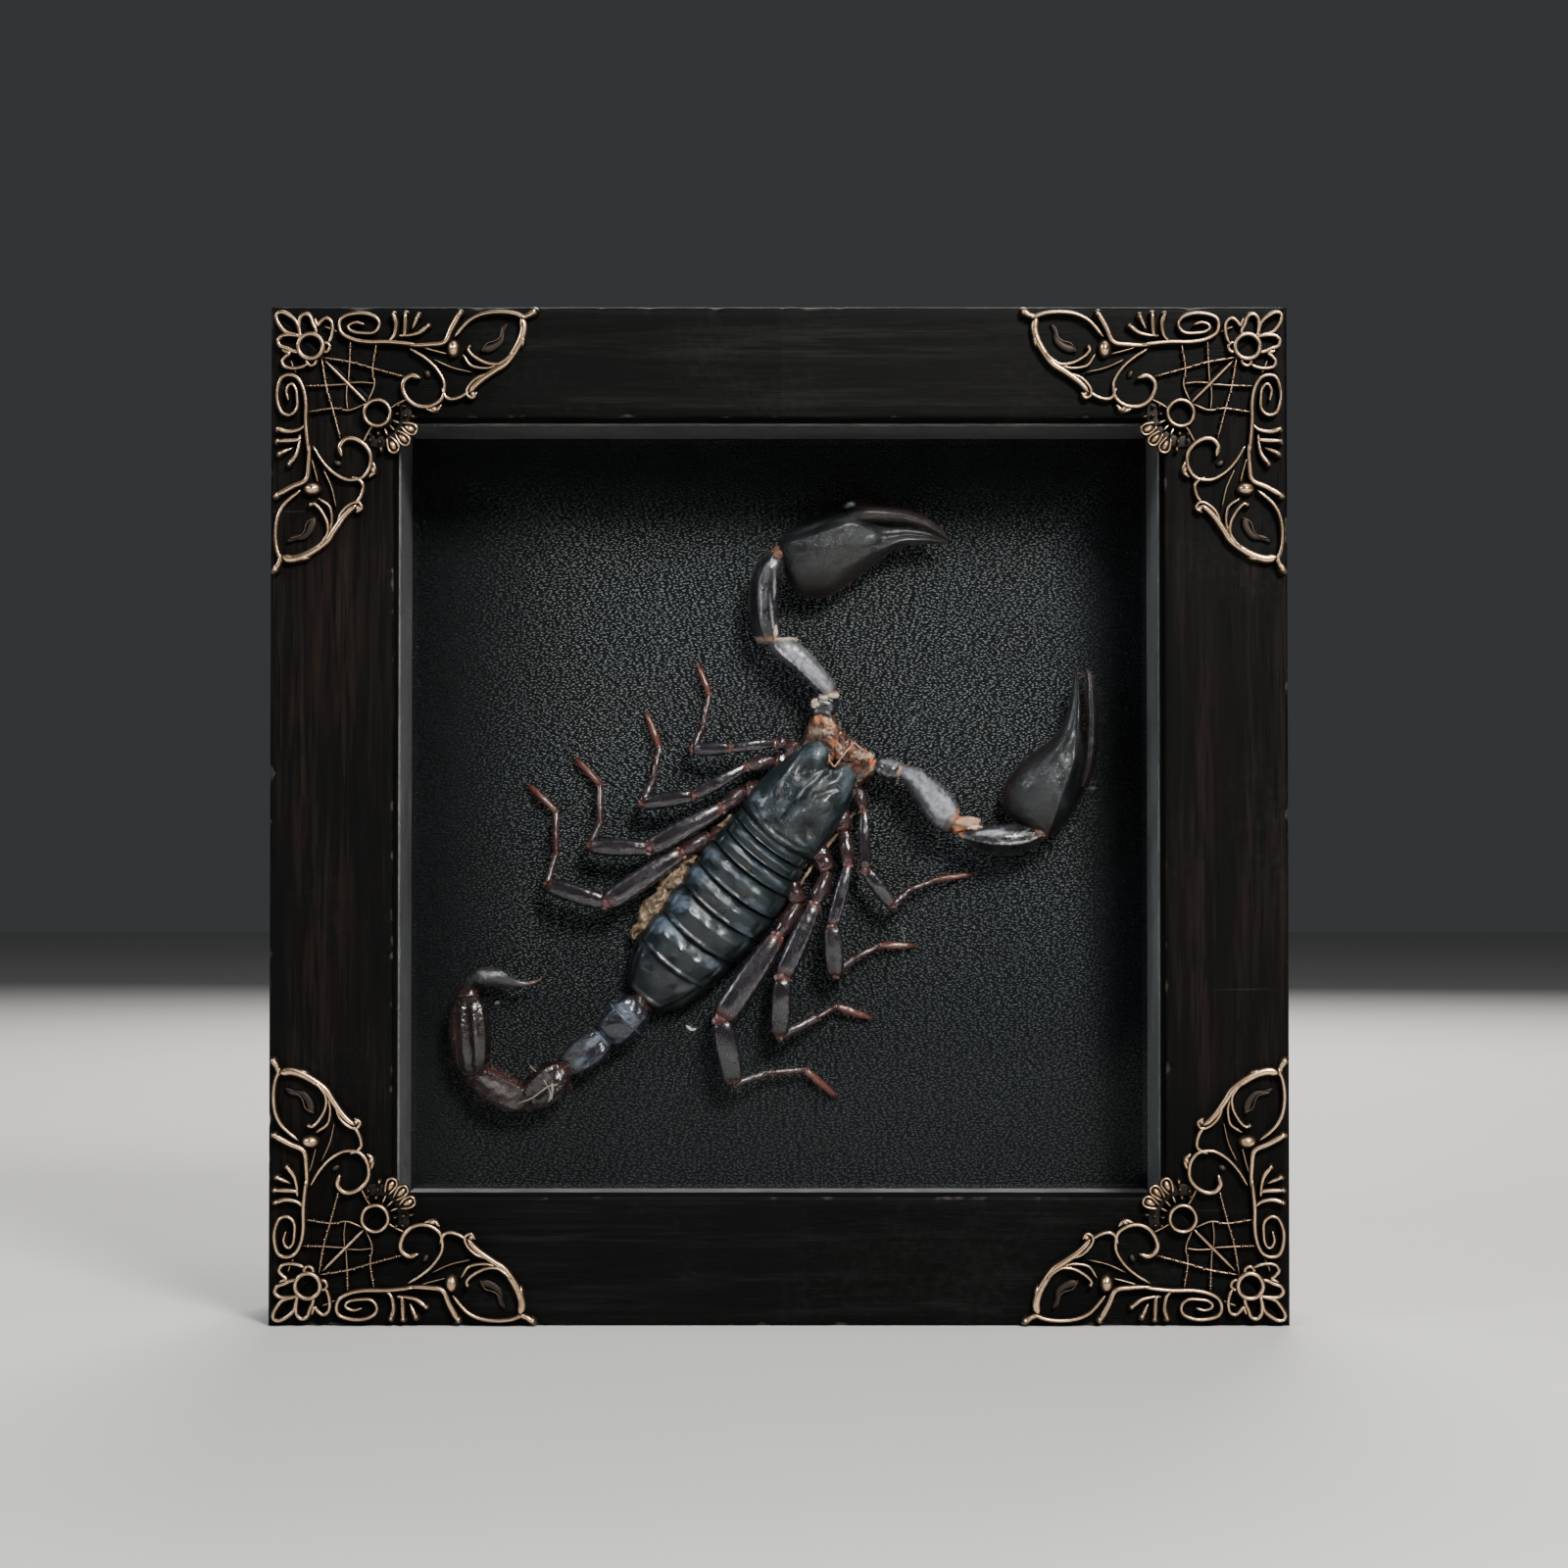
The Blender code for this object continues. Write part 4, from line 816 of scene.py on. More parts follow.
def stroke(skins, points, start, end, per_span=6):
    """One wire between two (half width, crest) pairs."""
    path = curve_through(points, per_span)
    share = shares(len(path))
    widths = (start[0] + (end[0] - start[0]) * share) * (WIRE_SHARE if start[1] > WEB_CREST else WEB_SHARE)
    skins.wrap(wire(path, widths, start[1] + (end[1] - start[1]) * share))


def bud(skins, u, v, half_u, half_v, degrees, crest):
    """A domed solid piece of the stamping."""
    angles = turns(16)
    rows = []
    for rise in shares(7):
        reach = math.sqrt(max(1 - rise ** 2, 0.003))
        x, y = turned(np.cos(angles) * half_u * reach, np.sin(angles) * half_v * reach, math.radians(degrees))
        rows.append(np.stack((u + x, v + y, np.full(16, crest * rise)), axis=1))
    skins.wrap(np.array(rows))


def polar(centre, degrees, radius):
    """A point at an angle and a distance from a centre."""
    angle = math.radians(degrees)
    return centre[0] + math.cos(angle) * radius, centre[1] + math.sin(angle) * radius


def ring_wire(skins, centre, radius, width, crest):
    """A closed round wire."""
    around = 40
    angles = turns(WIRE_SIDES)
    reach = radius + np.cos(angles) * width
    height = np.broadcast_to(crest * (0.5 + 0.5 * np.sin(angles)) ** 0.72, (around, WIRE_SIDES))
    bearing = turns(around)[:, None]
    rings = (centre[0] + np.cos(bearing) * reach, centre[1] + np.sin(bearing) * reach, height)
    skins.add(np.stack(rings, axis=-1), quads(WIRE_SIDES, range(around), around))


def filigree_skins():
    """Every wire, bud, petal and lobe of one corner, as skins that overlap."""
    skins = Skins()
    for mirror in (False, True):
        def placed(*points):
            return [(v, u) if mirror else (u, v) for u, v in points]

        for width, crest, end_width, end_crest, points in HALF_STROKES:
            stroke(skins, placed(*points), (width, crest), (end_width, end_crest))
        for u, v in placed(*HALF_BEADS):
            bud(skins, u, v, 0.42, 0.36, 0, 1.15)
        for u, v, half_u, half_v, turn, crest in HALF_BUDS:
            if mirror:
                bud(skins, v, u, half_v, half_u, -turn, crest)
            else:
                bud(skins, u, v, half_u, half_v, turn, crest)
        stroke(skins, placed(*LEAF), (0.95, 0.45), (0.5, 0.4))
        stroke(skins, placed(*LEAF_VEIN), (0.14, 0.62), (0.14, 0.62))
        bud(skins, *placed((24.7, 10.6))[0], 0.75, 0.55, 25 if mirror else 65, 0.5)
    stroke(skins, ((8.8, 8.8), (12, 12), (15.2, 15.2)), (0.32, 1), (0.32, 1))
    ring_wire(skins, FLOWER, FLOWER_RADIUS, 0.42, 1.6)
    ring_wire(skins, SHELL_HEART, SHELL_RADIUS, 0.34, 1.6)
    for degrees, inner, outer, half in LOBES:
        rim = [turned(inner + (outer - inner) * far, side * half, math.radians(degrees)) for far, side in LOBE_RIM]
        stroke(skins, np.array(rim) + SHELL_HEART, (0.27, 1.4), (0.27, 1.4), per_span=4)
        middle = polar(SHELL_HEART, degrees, (inner + outer) / 2)
        bud(skins, *middle, (outer - inner) * 0.5, half * 0.85, degrees, 1.15)
    for degrees, reach, half_length, half_width in DROPS:
        bud(skins, *polar(SHELL_HEART, degrees, reach), half_length, half_width, degrees, 1.35)
    for degrees in DASHES:
        line = [polar(SHELL_HEART, degrees, reach) for reach in (2.7, 3.6)]
        stroke(skins, line, (0.18, 1.1), (0.3, 1.3), per_span=5)
    fan = [polar(SHELL_HEART, degrees, 4.4) for degrees in np.linspace(-20, 110, 12)]
    stroke(skins, fan, (1.3, 0.18), (1.3, 0.18), per_span=4)
    return skins


def moulding_profile(face, arris):
    """The rail's outline from its outer back edge round the front: inward, depth and wear."""
    outline = []
    depth_end = BACK_Y - FRONT_Y
    wall = face * WALL_SHARE

    def corner(inward, depth, radius, start, wear):
        for step in range(5):
            angle = math.radians(start + 22.5 * step)
            outline.append((inward + radius * math.cos(angle), depth + radius * math.sin(angle),
                            wear * math.sin(math.pi * (step + 0.5) / 5)))

    def run(first, second, count):
        for step in range(1, count):
            share = step / count
            outline.append((first[0] + (second[0] - first[0]) * share,
                            first[1] + (second[1] - first[1]) * share, 0))

    corner(arris, arris, arris, 180, 1)
    run((arris, 0), (face - arris, 0), 12)
    corner(face - arris, arris, arris, -90, 0.9)
    run((face, arris), (face, LIP_DEPTH - 0.2), 4)
    corner(face - 0.2, LIP_DEPTH - 0.2, 0.2, 0, 0.4)
    run((face - 0.2, LIP_DEPTH), (wall, LIP_DEPTH), 3)
    outline.append((wall, LIP_DEPTH, 0))
    run((wall, LIP_DEPTH), (wall, depth_end), 6)
    outline.append((wall, depth_end, 0.2))
    run((wall, depth_end), (arris, depth_end), 5)
    corner(arris, depth_end - arris, arris, 90, 0.8)
    run((0, depth_end - arris), (0, arris), 10)
    return np.array(outline)


def rail_mesh(first, second, face, settings, seed):
    """One mitred rail with eased, slightly knocked edges, from one of the frame's corners to the next."""
    half, lip_half = SIDE / 2, LIP_HALF
    outer = np.array(((-half, 0), (half, 0), (half, SIDE), (-half, SIDE)))
    lip = np.array(((-lip_half, BOTTOM_FACE), (lip_half, BOTTOM_FACE),
                    (lip_half, SIDE - TOP_FACE), (-lip_half, SIDE - TOP_FACE)))
    profile = moulding_profile(face, settings.arris / MM)
    along = unit(outer[second] - outer[first])
    inward = unit((lip[first] - outer[first]) - along * np.dot(lip[first] - outer[first], along))
    share = shares(RAIL_ROWS)[:, None]
    share[1], share[-2] = SEAM_SHARE, 1 - SEAM_SHARE
    ease = profile[None, :, 0]
    near, far = (outer[end] + (lip[end] - outer[end]) * (ease[..., None] / face) for end in (first, second))
    plan = near + (far - near) * share[..., None]
    rings = np.stack((plan[..., 0], FRONT_Y + np.broadcast_to(profile[:, 1], plan.shape[:2]), plan[..., 1]), axis=-1)
    wear = profile[:, 2] * (0.72 + 0.28 * ripple(rings, 9, seed))
    draw = np.random.default_rng(seed)
    middle = (FRONT_Y + BACK_Y) / 2
    for end in (0, -1):
        rings[end, :, 1] += np.sign(middle - rings[end, :, 1]) * SEAM_DEPTH
    sideways = np.array((inward[0], 0, inward[1])) * np.where(ease < face / 2, 0.6, -0.6)[..., None]
    for _ in range(CHIPS):
        ring, edge = draw.integers(4, RAIL_ROWS - 4), draw.choice(CHIPPED_EDGES)
        centre = rings[ring, min(edge, rings.shape[1] - 1)]
        near_chip = bell(np.linalg.norm(rings - centre, axis=-1), 0.35 + 0.9 * draw.random())
        depth = settings.dent / MM * (0.25 + 0.75 * draw.random() ** 2)
        push = sideways + np.array((0, 0.6, 0)) * np.sign(middle - rings[..., 1:2])
        rings = rings + push * (near_chip * depth)[..., None]
        wear += near_chip * 0.5
    skins = Skins()
    skins.wrap(rings, wear=np.clip(wear, 0, 1.4))
    return skins


class SPECIMEN_OT_rails(Operator):
    """Build the four stained rails with eased, rubbed edges."""

    bl_idname = "specimen.rails"
    bl_label = "Rails"

    def execute(self, context):
        settings = context.scene.specimen_moulding
        rails = (
            ("bottom", 0, 1, BOTTOM_FACE, False, (0, 0.001, 0.001), (4, 0.82)),
            ("right", 1, 2, SIDE_FACE, True, (0.004, 0.001, 0), (0, 0)),
            ("top", 2, 3, TOP_FACE, False, (0.001, 0.002, 0.001), (0.4, 1.28)),
            ("left", 3, 0, SIDE_FACE, True, (0.006, 0.002, 0), (0, 0)),
        )
        for seed, (name, first, second, face, upright, tint, seam) in enumerate(rails):
            skins = rail_mesh(first, second, face, settings, 40 + seed)
            look = stained_wood(f"stained_wood_{name}", upright, tint, seam, settings)
            skins.piece(f"{name}_rail", [look], (f"rail_{name}",), "frame_wood")
        return {"FINISHED"}


class SPECIMEN_OT_box(Operator):
    """Finish the glass, strips, panel, back board, points and hanger."""

    bl_idname = "specimen.box"
    bl_label = "Glass, panel and back"

    def execute(self, context):
        settings = context.scene.specimen_box
        looks = {
            "glass": clear_glass(settings),
            "spacer": strip_plastic(settings),
            "backing": leatherette(settings),
            "back": painted_board(settings),
            "hanger": zinc_steel(settings),
        }
        for name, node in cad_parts.items():
            look = looks["hanger"] if name.startswith("back_point") else looks.get(name.split("_")[0])
            if look is not None:
                for slot in node.material_slots:
                    slot.material = look
        return {"FINISHED"}


class SPECIMEN_OT_corners(Operator):
    """Build the filigree once and turn it into the frame's four corners."""

    bl_idname = "specimen.corners"
    bl_label = "Filigree corners"

    def execute(self, context):
        settings = context.scene.specimen_filigree
        look = antique_bronze(settings)
        skins = filigree_skins()
        flat = np.vstack(skins.points)
        depth = FRONT_Y - CORNER_GAP - flat[:, 2] / flat[:, 2].max() * (FRONT_Y - CORNER_GAP - CREST_Y)
        u, v = np.maximum(flat[:, 0], 0.15), np.maximum(flat[:, 1], 0.15)
        corners = {"bottom_left": (-1, 0), "bottom_right": (1, 0), "top_right": (1, 1), "top_left": (-1, 1)}
        for name, (side, high) in corners.items():
            skins.points = [np.stack((side * (SIDE / 2 - u), depth, SIDE - v if high else v), axis=1)]
            skins.piece(f"filigree_{name}", [look], (f"corner_{name}",), "antique_bronze")
        return {"FINISHED"}


# Legs: the places of each leg's joints from hip to claw, and the heights that both legs of a pair share.
LEG_PLACES = {
    "left_1": ((1.6, 92), (-0.6, 91.9), (-8, 91.1), (-14.2, 90.8), (-12.5, 94.9), (-11.5, 100.1), (-13.3, 104.9)),
    "left_2": ((-0.8, 89.2), (-5.3, 88.1), (-14, 83.3), (-22.4, 82), (-20.6, 86.1), (-19.7, 91.4), (-21.8, 96.8)),
    "left_3": ((-5.7, 84.3), (-9.3, 81.4), (-21.2, 74.7), (-31, 75), (-29.4, 78.9), (-29.5, 85.3), (-33.4, 89.4)),
    "left_4": ((-11.4, 76.9), (-15.9, 74.1), (-28.2, 65.8), (-38, 68.8), (-36.6, 73.7), (-36.7, 80.8), (-41, 85)),
    "right_1": ((12.8, 84.6), (13.8, 81), (14, 71.2), (18.5, 65.4), (21.6, 68.1), (26, 69.7), (31.4, 70.5)),
    "right_2": ((10.7, 77.6), (11.3, 72.1), (8.6, 62.1), (9.1, 54), (12.3, 56.8), (16.5, 58.8), (21.9, 58.8)),
    "right_3": ((8, 70.9), (5.9, 65.7), (0.5, 53.8), (0, 44.1), (6.4, 47.2), (9.3, 48.8), (14.8, 47)),
    "right_4": ((3.2, 65.7), (-0.2, 60.5), (-9.4, 47), (-7.4, 36.3), (-1.6, 38.1), (4.3, 38.4), (9.1, 34.2)),
}
LEG_HEIGHTS = {
    "1": (3.6, 4.4, 5.4, 4.6, 3, 1.6, 0.8),
    "2": (3.4, 4.6, 5.6, 4.8, 3, 1.6, 0.8),
    "3": (3.2, 4.6, 5.8, 5, 3, 1.6, 0.8),
    "4": (3, 4.6, 5.8, 5, 3, 1.6, 0.8),
}
LEG_JOINTS = {name: [(*place, height) for place, height in zip(places, LEG_HEIGHTS[name[-1]])]
              for name, places in LEG_PLACES.items()}
# Half widths of each leg's trochanter, femur, patella, tibia, metatarsus and tarsus.
LEG_HALF_WIDTHS = {
    "left_1": (1, 0.85, 0.95, 0.75, 0.5, 0.5),
    "left_2": (1.1, 0.95, 1.15, 0.8, 0.52, 0.55),
    "left_3": (1.2, 1.45, 1.25, 0.75, 0.55, 0.55),
    "left_4": (1.3, 1.6, 1.35, 0.65, 0.6, 0.55),
    "right_1": (1, 0.85, 1.05, 0.75, 0.45, 0.5),
    "right_2": (1.1, 1, 1.45, 0.85, 0.48, 0.55),
    "right_3": (1.2, 1.5, 1.5, 0.9, 0.46, 0.6),
    "right_4": (1.3, 1.95, 1.75, 0.62, 0.48, 0.6),
}
# Each leg segment: fullness along it, reds at its ends and in its middle, flatness, and the strength
# of its painted highlight on a slender and on a stout leg.
LEG_SHAPES = (
    (((0, 0.45), (0.08, 0.8), (0.5, 1.1), (0.9, 0.85), (1, 0.5)), (0.9, 0.7, 0.15), 0.95, 0.1, 0.1),
    (((0, 0.4), (0.03, 0.66), (0.14, 0.84), (0.45, 1.04), (0.82, 1.08), (0.94, 0.98), (0.985, 0.72), (1, 0.4)),
        (0.75, 0.55, 0), 0.82, 0.14, 0.4),
    (((0, 0.4), (0.04, 0.72), (0.14, 0.98), (0.5, 1.1), (0.86, 0.98), (0.97, 0.72), (1, 0.4)), (0.45, 0.75, 0),
        0.85, 0.15, 0.15),
    (((0, 0.5), (0.05, 0.82), (0.2, 0.98), (0.6, 0.88), (0.93, 0.86), (0.985, 0.7), (1, 0.4)), (0.7, 0.45, 0.1),
        0.9, 0.16, 0.16),
    (((0, 0.5), (0.06, 0.85), (0.4, 0.95), (0.92, 0.95), (0.985, 0.75), (1, 0.4)), (0.5, 0.8, 0.25),
        0.95, 0.15, 0.15),
    (((0, 0.5), (0.08, 0.92), (0.4, 1.05), (0.8, 0.9), (0.95, 0.7), (1, 0.35)), (1, 1, 0.85), 0.95, 0.2, 0.2),
)
HIP_SHAPE = ((0, 0.5), (0.1, 0.85), (0.6, 1), (0.93, 0.9), (1, 0.5))
THIGH_KEELS = ((52, 0.1, 8, 9), (128, 0.1, 8, 9))
SHIN_KEELS = ((90, 0.06, 14, 0),)


def along_animal(*rows):
    """Patches given by s and t, as patches on the panel."""
    return tuple((*on_animal(s, t, 0)[:2], half_s, half_t, math.degrees(HEADING) + turn, strength)
                 for s, t, half_s, half_t, turn, strength in rows)


# Back plates: the s of each plate's front and rear edges, then widths and crowns along s.
PLATE_EDGES = (34.9, 32.9, 30.4, 27.7, 23.4, 19.1, 13.6, 7.7, 0.4)
TRUNK_WIDTHS = (
    (-1, 2.2), (0.4, 3.6), (2, 5), (5, 6.5), (8, 7.3), (13.7, 7.75), (18.5, 8.2), (23.1, 8.3), (27.5, 8), (33, 7.35),
    (36, 7.2),
)
TRUNK_CROWNS = ((-1, 4.3), (0.4, 4.7), (4, 6.3), (8, 7.5), (13.7, 8.4), (20, 8.9), (27.5, 8.7), (36, 8.4))
# Rise of one plate from its front edge, tucked under the plate before it, to its rear lip.
PLATE_RISE = (
    (-0.3, -1.25), (-0.1, -1.1), (0.02, -0.92), (0.12, -0.45), (0.26, 0.06), (0.42, 0.32), (0.6, 0.22), (0.78, -0.1),
    (0.87, -0.3), (0.925, -0.02), (0.965, 0.04), (1, -0.2),
)
# Painted highlights on the back plates: their left shoulders, right ends and the crest of each plate.
PLATE_HIGHLIGHTS = along_animal(
    (26, -6.4, 0.9, 1.5, 0, 0.75), (22.1, -5.8, 1.2, 1.7, 0, 0.75), (16.6, -5.4, 1.4, 2, 0, 0.85),
    (12.4, -4.2, 1.3, 2.9, 6, 0.95), (10.9, -5.6, 0.8, 1.2, 0, 0.6), (24, 5, 0.7, 1.6, 0, 0.55),
    (19.5, 5.6, 0.8, 1.8, 0, 0.6), (12, 5, 0.8, 1.7, 0, 0.6), (31.5, 0.2, 0.28, 4.6, 0, 0.45),
    (29.1, -0.6, 0.26, 5, 0, 0.5), (25.9, 0.4, 0.3, 4.6, 0, 0.5), (21.7, -0.2, 0.34, 4.4, 0, 0.55),
    (16.7, 0.6, 0.34, 4.2, 0, 0.5), (11.3, 0.8, 0.3, 3.6, 0, 0.4), (29, 5.4, 0.4, 1.2, 0, 0.6),
    (7.4, -5.5, 0.5, 1.2, 0, 0.5), (7.3, 4.9, 0.4, 1.3, 0, 0.45),
)
# Soft folds along the trunk: side, how far out, how thick, first and last s.
SIDE_FOLDS = ((-1, 0.6, 1.75, 7, 24.2), (-1, 0.35, 0.45, 22, 33), (1, 0.7, 0.12, 24, 47))
SIDE_CREAM = along_animal((16, -9.4, 4.2, 0.35, 0, 0.6), (20.5, -9, 1.6, 0.4, 0, 0.5), (11, -8.7, 1.6, 0.4, 0, 0.5))

CARAPACE_REAR = 34
CARAPACE_FRONT = 52.2
CARAPACE_WIDTHS = ((34.2, 7.3), (36, 7.5), (40, 7.45), (43.5, 7.1), (47, 6.5), (49.5, 5.9), (51.2, 5.3), (52.3, 4.6))
CARAPACE_CROWNS = ((34.2, 8.3), (36.5, 9), (41, 9.2), (46, 8.7), (50, 7.7), (52.3, 6.4))
# Swells and dips of the head shield: s, t, rise and two sizes.
SHIELD_SWELLS = (
    (50, -3.2, 0.55, 1.9, 1.5), (46, -2.5, -0.85, 1.2, 1), (42.1, -0.8, 0.75, 1.5, 1), (42.1, -0.8, 0.3, 0.8, 0.5),
    (45.2, -6.3, -0.55, 3.6, 0.7), (37.7, -6.4, 0.4, 1.1, 0.8), (36, -3.6, 0.4, 0.9, 1),
    (36.2, -1.2, -0.55, 0.8, 0.8), (38.8, 3.9, -1.15, 1.8, 1.8), (36.4, 4.2, 0.35, 0.7, 1.2),
    (41.4, 5.4, 0.3, 2, 0.8), (40.6, -2.6, -0.3, 1.2, 0.8), (43.6, 3.4, 0.25, 1.2, 0.8), (48.4, 1, -0.45, 1, 0.9),
    (39.2, 0.9, 0.25, 1.4, 0.8),
)
# Ridges and grooves of the head shield: rise, size and the line's places in s and t.
SHIELD_LINES = (
    (0.55, 0.42, ((49.6, -5.2), (47.5, -4.9), (45, -5), (42.7, -4.8), (40.7, -4.3), (39.9, -3.7))),
    (0.45, 0.4, ((50.1, 1.9), (47.6, -0.2), (45.4, -0.4), (43.4, -0.9))),
    (0.42, 0.7, ((50.8, 3.8), (48.9, 4.4), (46.6, 5))), (-0.6, 0.6, ((44.1, 1.5), (46.8, 2.9))),
    (0.35, 0.95, ((40.7, -0.7), (37.5, -0.6))), (-0.95, 0.32, ((40.7, -0.7), (37.5, -0.6))),
    (0.34, 0.34, ((35.5, -3.1), (37.1, -2.7), (38.5, -1.4))),
    (0.3, 0.26, ((36, -6.6), (35, -4), (34.5, 0), (35, 4), (36, 6.6))),
    (-0.32, 0.26, ((36.8, -6.4), (35.7, -4), (35.2, 0), (35.6, 4), (36.6, 6.4))),
    (0.26, 0.34, ((47.8, 6), (44, 6.5), (40, 6.8), (37, 6.7))), (-0.28, 0.3, ((41, 1), (42.6, 1.6), (44.2, 1))),
)
# Painted highlights on the head shield's lobes, ridges and rim.
SHIELD_HIGHLIGHTS = along_animal(
    (50.2, -3.1, 1.9, 1.6, 0, 0.8), (48.2, -4, 1.2, 0.7, 0, 0.45), (42.5, -0.8, 1, 0.35, 0, 0.6),
    (50.2, 2.6, 1.2, 1.6, 0, 0.6), (48.6, 4.2, 1.6, 1, 10, 0.6), (46.6, 5.1, 1.2, 0.4, 10, 0.6),
    (50.9, 4.4, 0.5, 0.7, 0, 1), (37.7, -6.3, 1, 0.6, 0, 0.9), (36, -3.6, 0.7, 0.9, 0, 0.75),
    (47, -4.9, 2.6, 0.2, 0, 0.65), (42.4, -4.75, 2.2, 0.18, -5, 0.55), (34.4, 0, 0.25, 4.8, 0, 0.55),
    (36.4, 4.3, 0.5, 1, 0, 0.5), (46.4, -0.3, 2, 0.2, 0, 0.5), (41.6, 5.6, 1.6, 0.4, 0, 0.35),
    (39.2, 0.6, 1.2, 0.3, 0, 0.35), (39.3, -2, 1.3, 0.5, 10, 0.35), (43.6, 3.4, 0.9, 0.5, 0, 0.3),
)
SHIELD_SHADE = along_animal(
    (46.3, -2.7, 1.9, 0.9, 0, 1), (43, 2.2, 2, 0.7, 10, 0.7), (38.8, 4, 1.9, 1.7, 0, 0.95),
    (44, -6.4, 3.6, 0.5, 0, 0.8), (39.1, -0.65, 1.7, 0.28, 0, 1), (45.4, 2.2, 1.6, 0.5, 28, 0.8),
    (36.2, -1.2, 0.7, 0.7, 0, 0.8), (48.4, 0.9, 0.9, 0.7, 0, 0.7), (35.5, 0, 0.28, 5.4, 0, 0.7),
    (40.6, -2.8, 0.9, 0.7, 0, 0.6),
)

PALP_COXAE = (
    ((45, -3.2, 3, 1.5), (49.5, -4.2, 3.6, 1.8), (52.4, -4.9, 4.3, 2.15), (54.5, -5.1, 4.6, 2.1),
        (55.8, -5.2, 4.6, 1.3)),
    ((45, 3.2, 3, 1.5), (49.5, 4, 3.6, 1.8), (52.2, 4.5, 4.3, 2), (54.3, 5, 4.6, 1.5)),
)
JAWS = (
    ((47.5, -1.3, 4.4, 1.3), (51, -1.3, 5, 1.5), (53.4, -1.3, 4.9, 1.4), (54.6, -1.3, 4.6, 0.9)),
    ((47.5, 1.7, 4.4, 1.3), (51, 1.9, 5, 1.5), (53.2, 2.2, 4.9, 1.4), (54.4, 2.4, 4.6, 0.9)),
)
# Wrinkled mass of the dried mouth parts: x, z, height and half width along it.
FRONT_MASS = (
    (7.3, 97.2, 4.2, 0.8), (7.3, 96, 4.8, 1.45), (7.6, 94.5, 5.2, 1.75), (8.9, 92.7, 5.5, 1.8), (10.4, 91, 5.8, 1.9),
    (12.4, 90, 5.7, 1.65), (14.3, 89.2, 5.2, 1.2), (15.5, 88.4, 4.8, 0.7),
)
# Threads of dried skin over it: radius, then places.
FRONT_THREADS = (
    (0.11, ((12.2, 92, 7), (11, 90.6, 7.8), (9.9, 89.2, 7.7), (9, 88, 7.3))),
    (0.08, ((9, 88, 7.3), (8.3, 88.8, 7.3), (8.1, 90, 7.1))),
    (0.09, ((12.2, 92, 6.8), (13.3, 91, 6.9), (14.5, 90.4, 6.3))),
)
FRONT_AMBER = (
    (6.4, 96.4, 1, 1.1, 0, 0.7), (8, 94.9, 1.4, 0.8, -45, 0.85), (9, 91.8, 1, 0.6, -60, 0.6),
    (9.3, 89.6, 0.8, 0.8, 0, 0.6), (11.8, 91, 1.2, 0.35, 50, 0.4), (14.8, 89.8, 0.6, 0.6, 0, 0.8),
    (15.2, 88.8, 0.9, 0.5, -65, 1), (18.3, 86.3, 1.5, 0.9, -40, 0.75), (1.9, 92.5, 1, 1, 0, 0.9),
    (14.2, 80.8, 1, 1.1, 0, 0.9),
)
FRONT_CREAM = (
    (6.6, 93.8, 1.7, 0.5, 0, 0.45), (8.3, 94.9, 1.1, 0.7, -40, 0.55), (13.2, 89.9, 1.3, 0.9, -25, 0.45),
    (14.8, 89.9, 0.55, 0.5, 0, 1), (15.2, 87.6, 0.7, 0.3, -70, 0.4), (10, 90.6, 0.5, 0.9, 40, 0.3),
    (6, 96, 0.3, 0.9, 20, 0.4),
)
# Painted shade in the gaps and folds of the dried mouth parts.
FRONT_SHADE = (
    (7.4, 94.75, 1.4, 0.16, -8, 1), (10.9, 93.9, 0.9, 0.35, -60, 0.9), (16.3, 88.2, 0.8, 0.6, 0, 0.9),
    (5.2, 92.6, 1.4, 0.5, 0, 0.8), (10.4, 95.4, 1.1, 0.4, -50, 0.9), (10.9, 88.9, 1.2, 0.3, -25, 0.8),
)

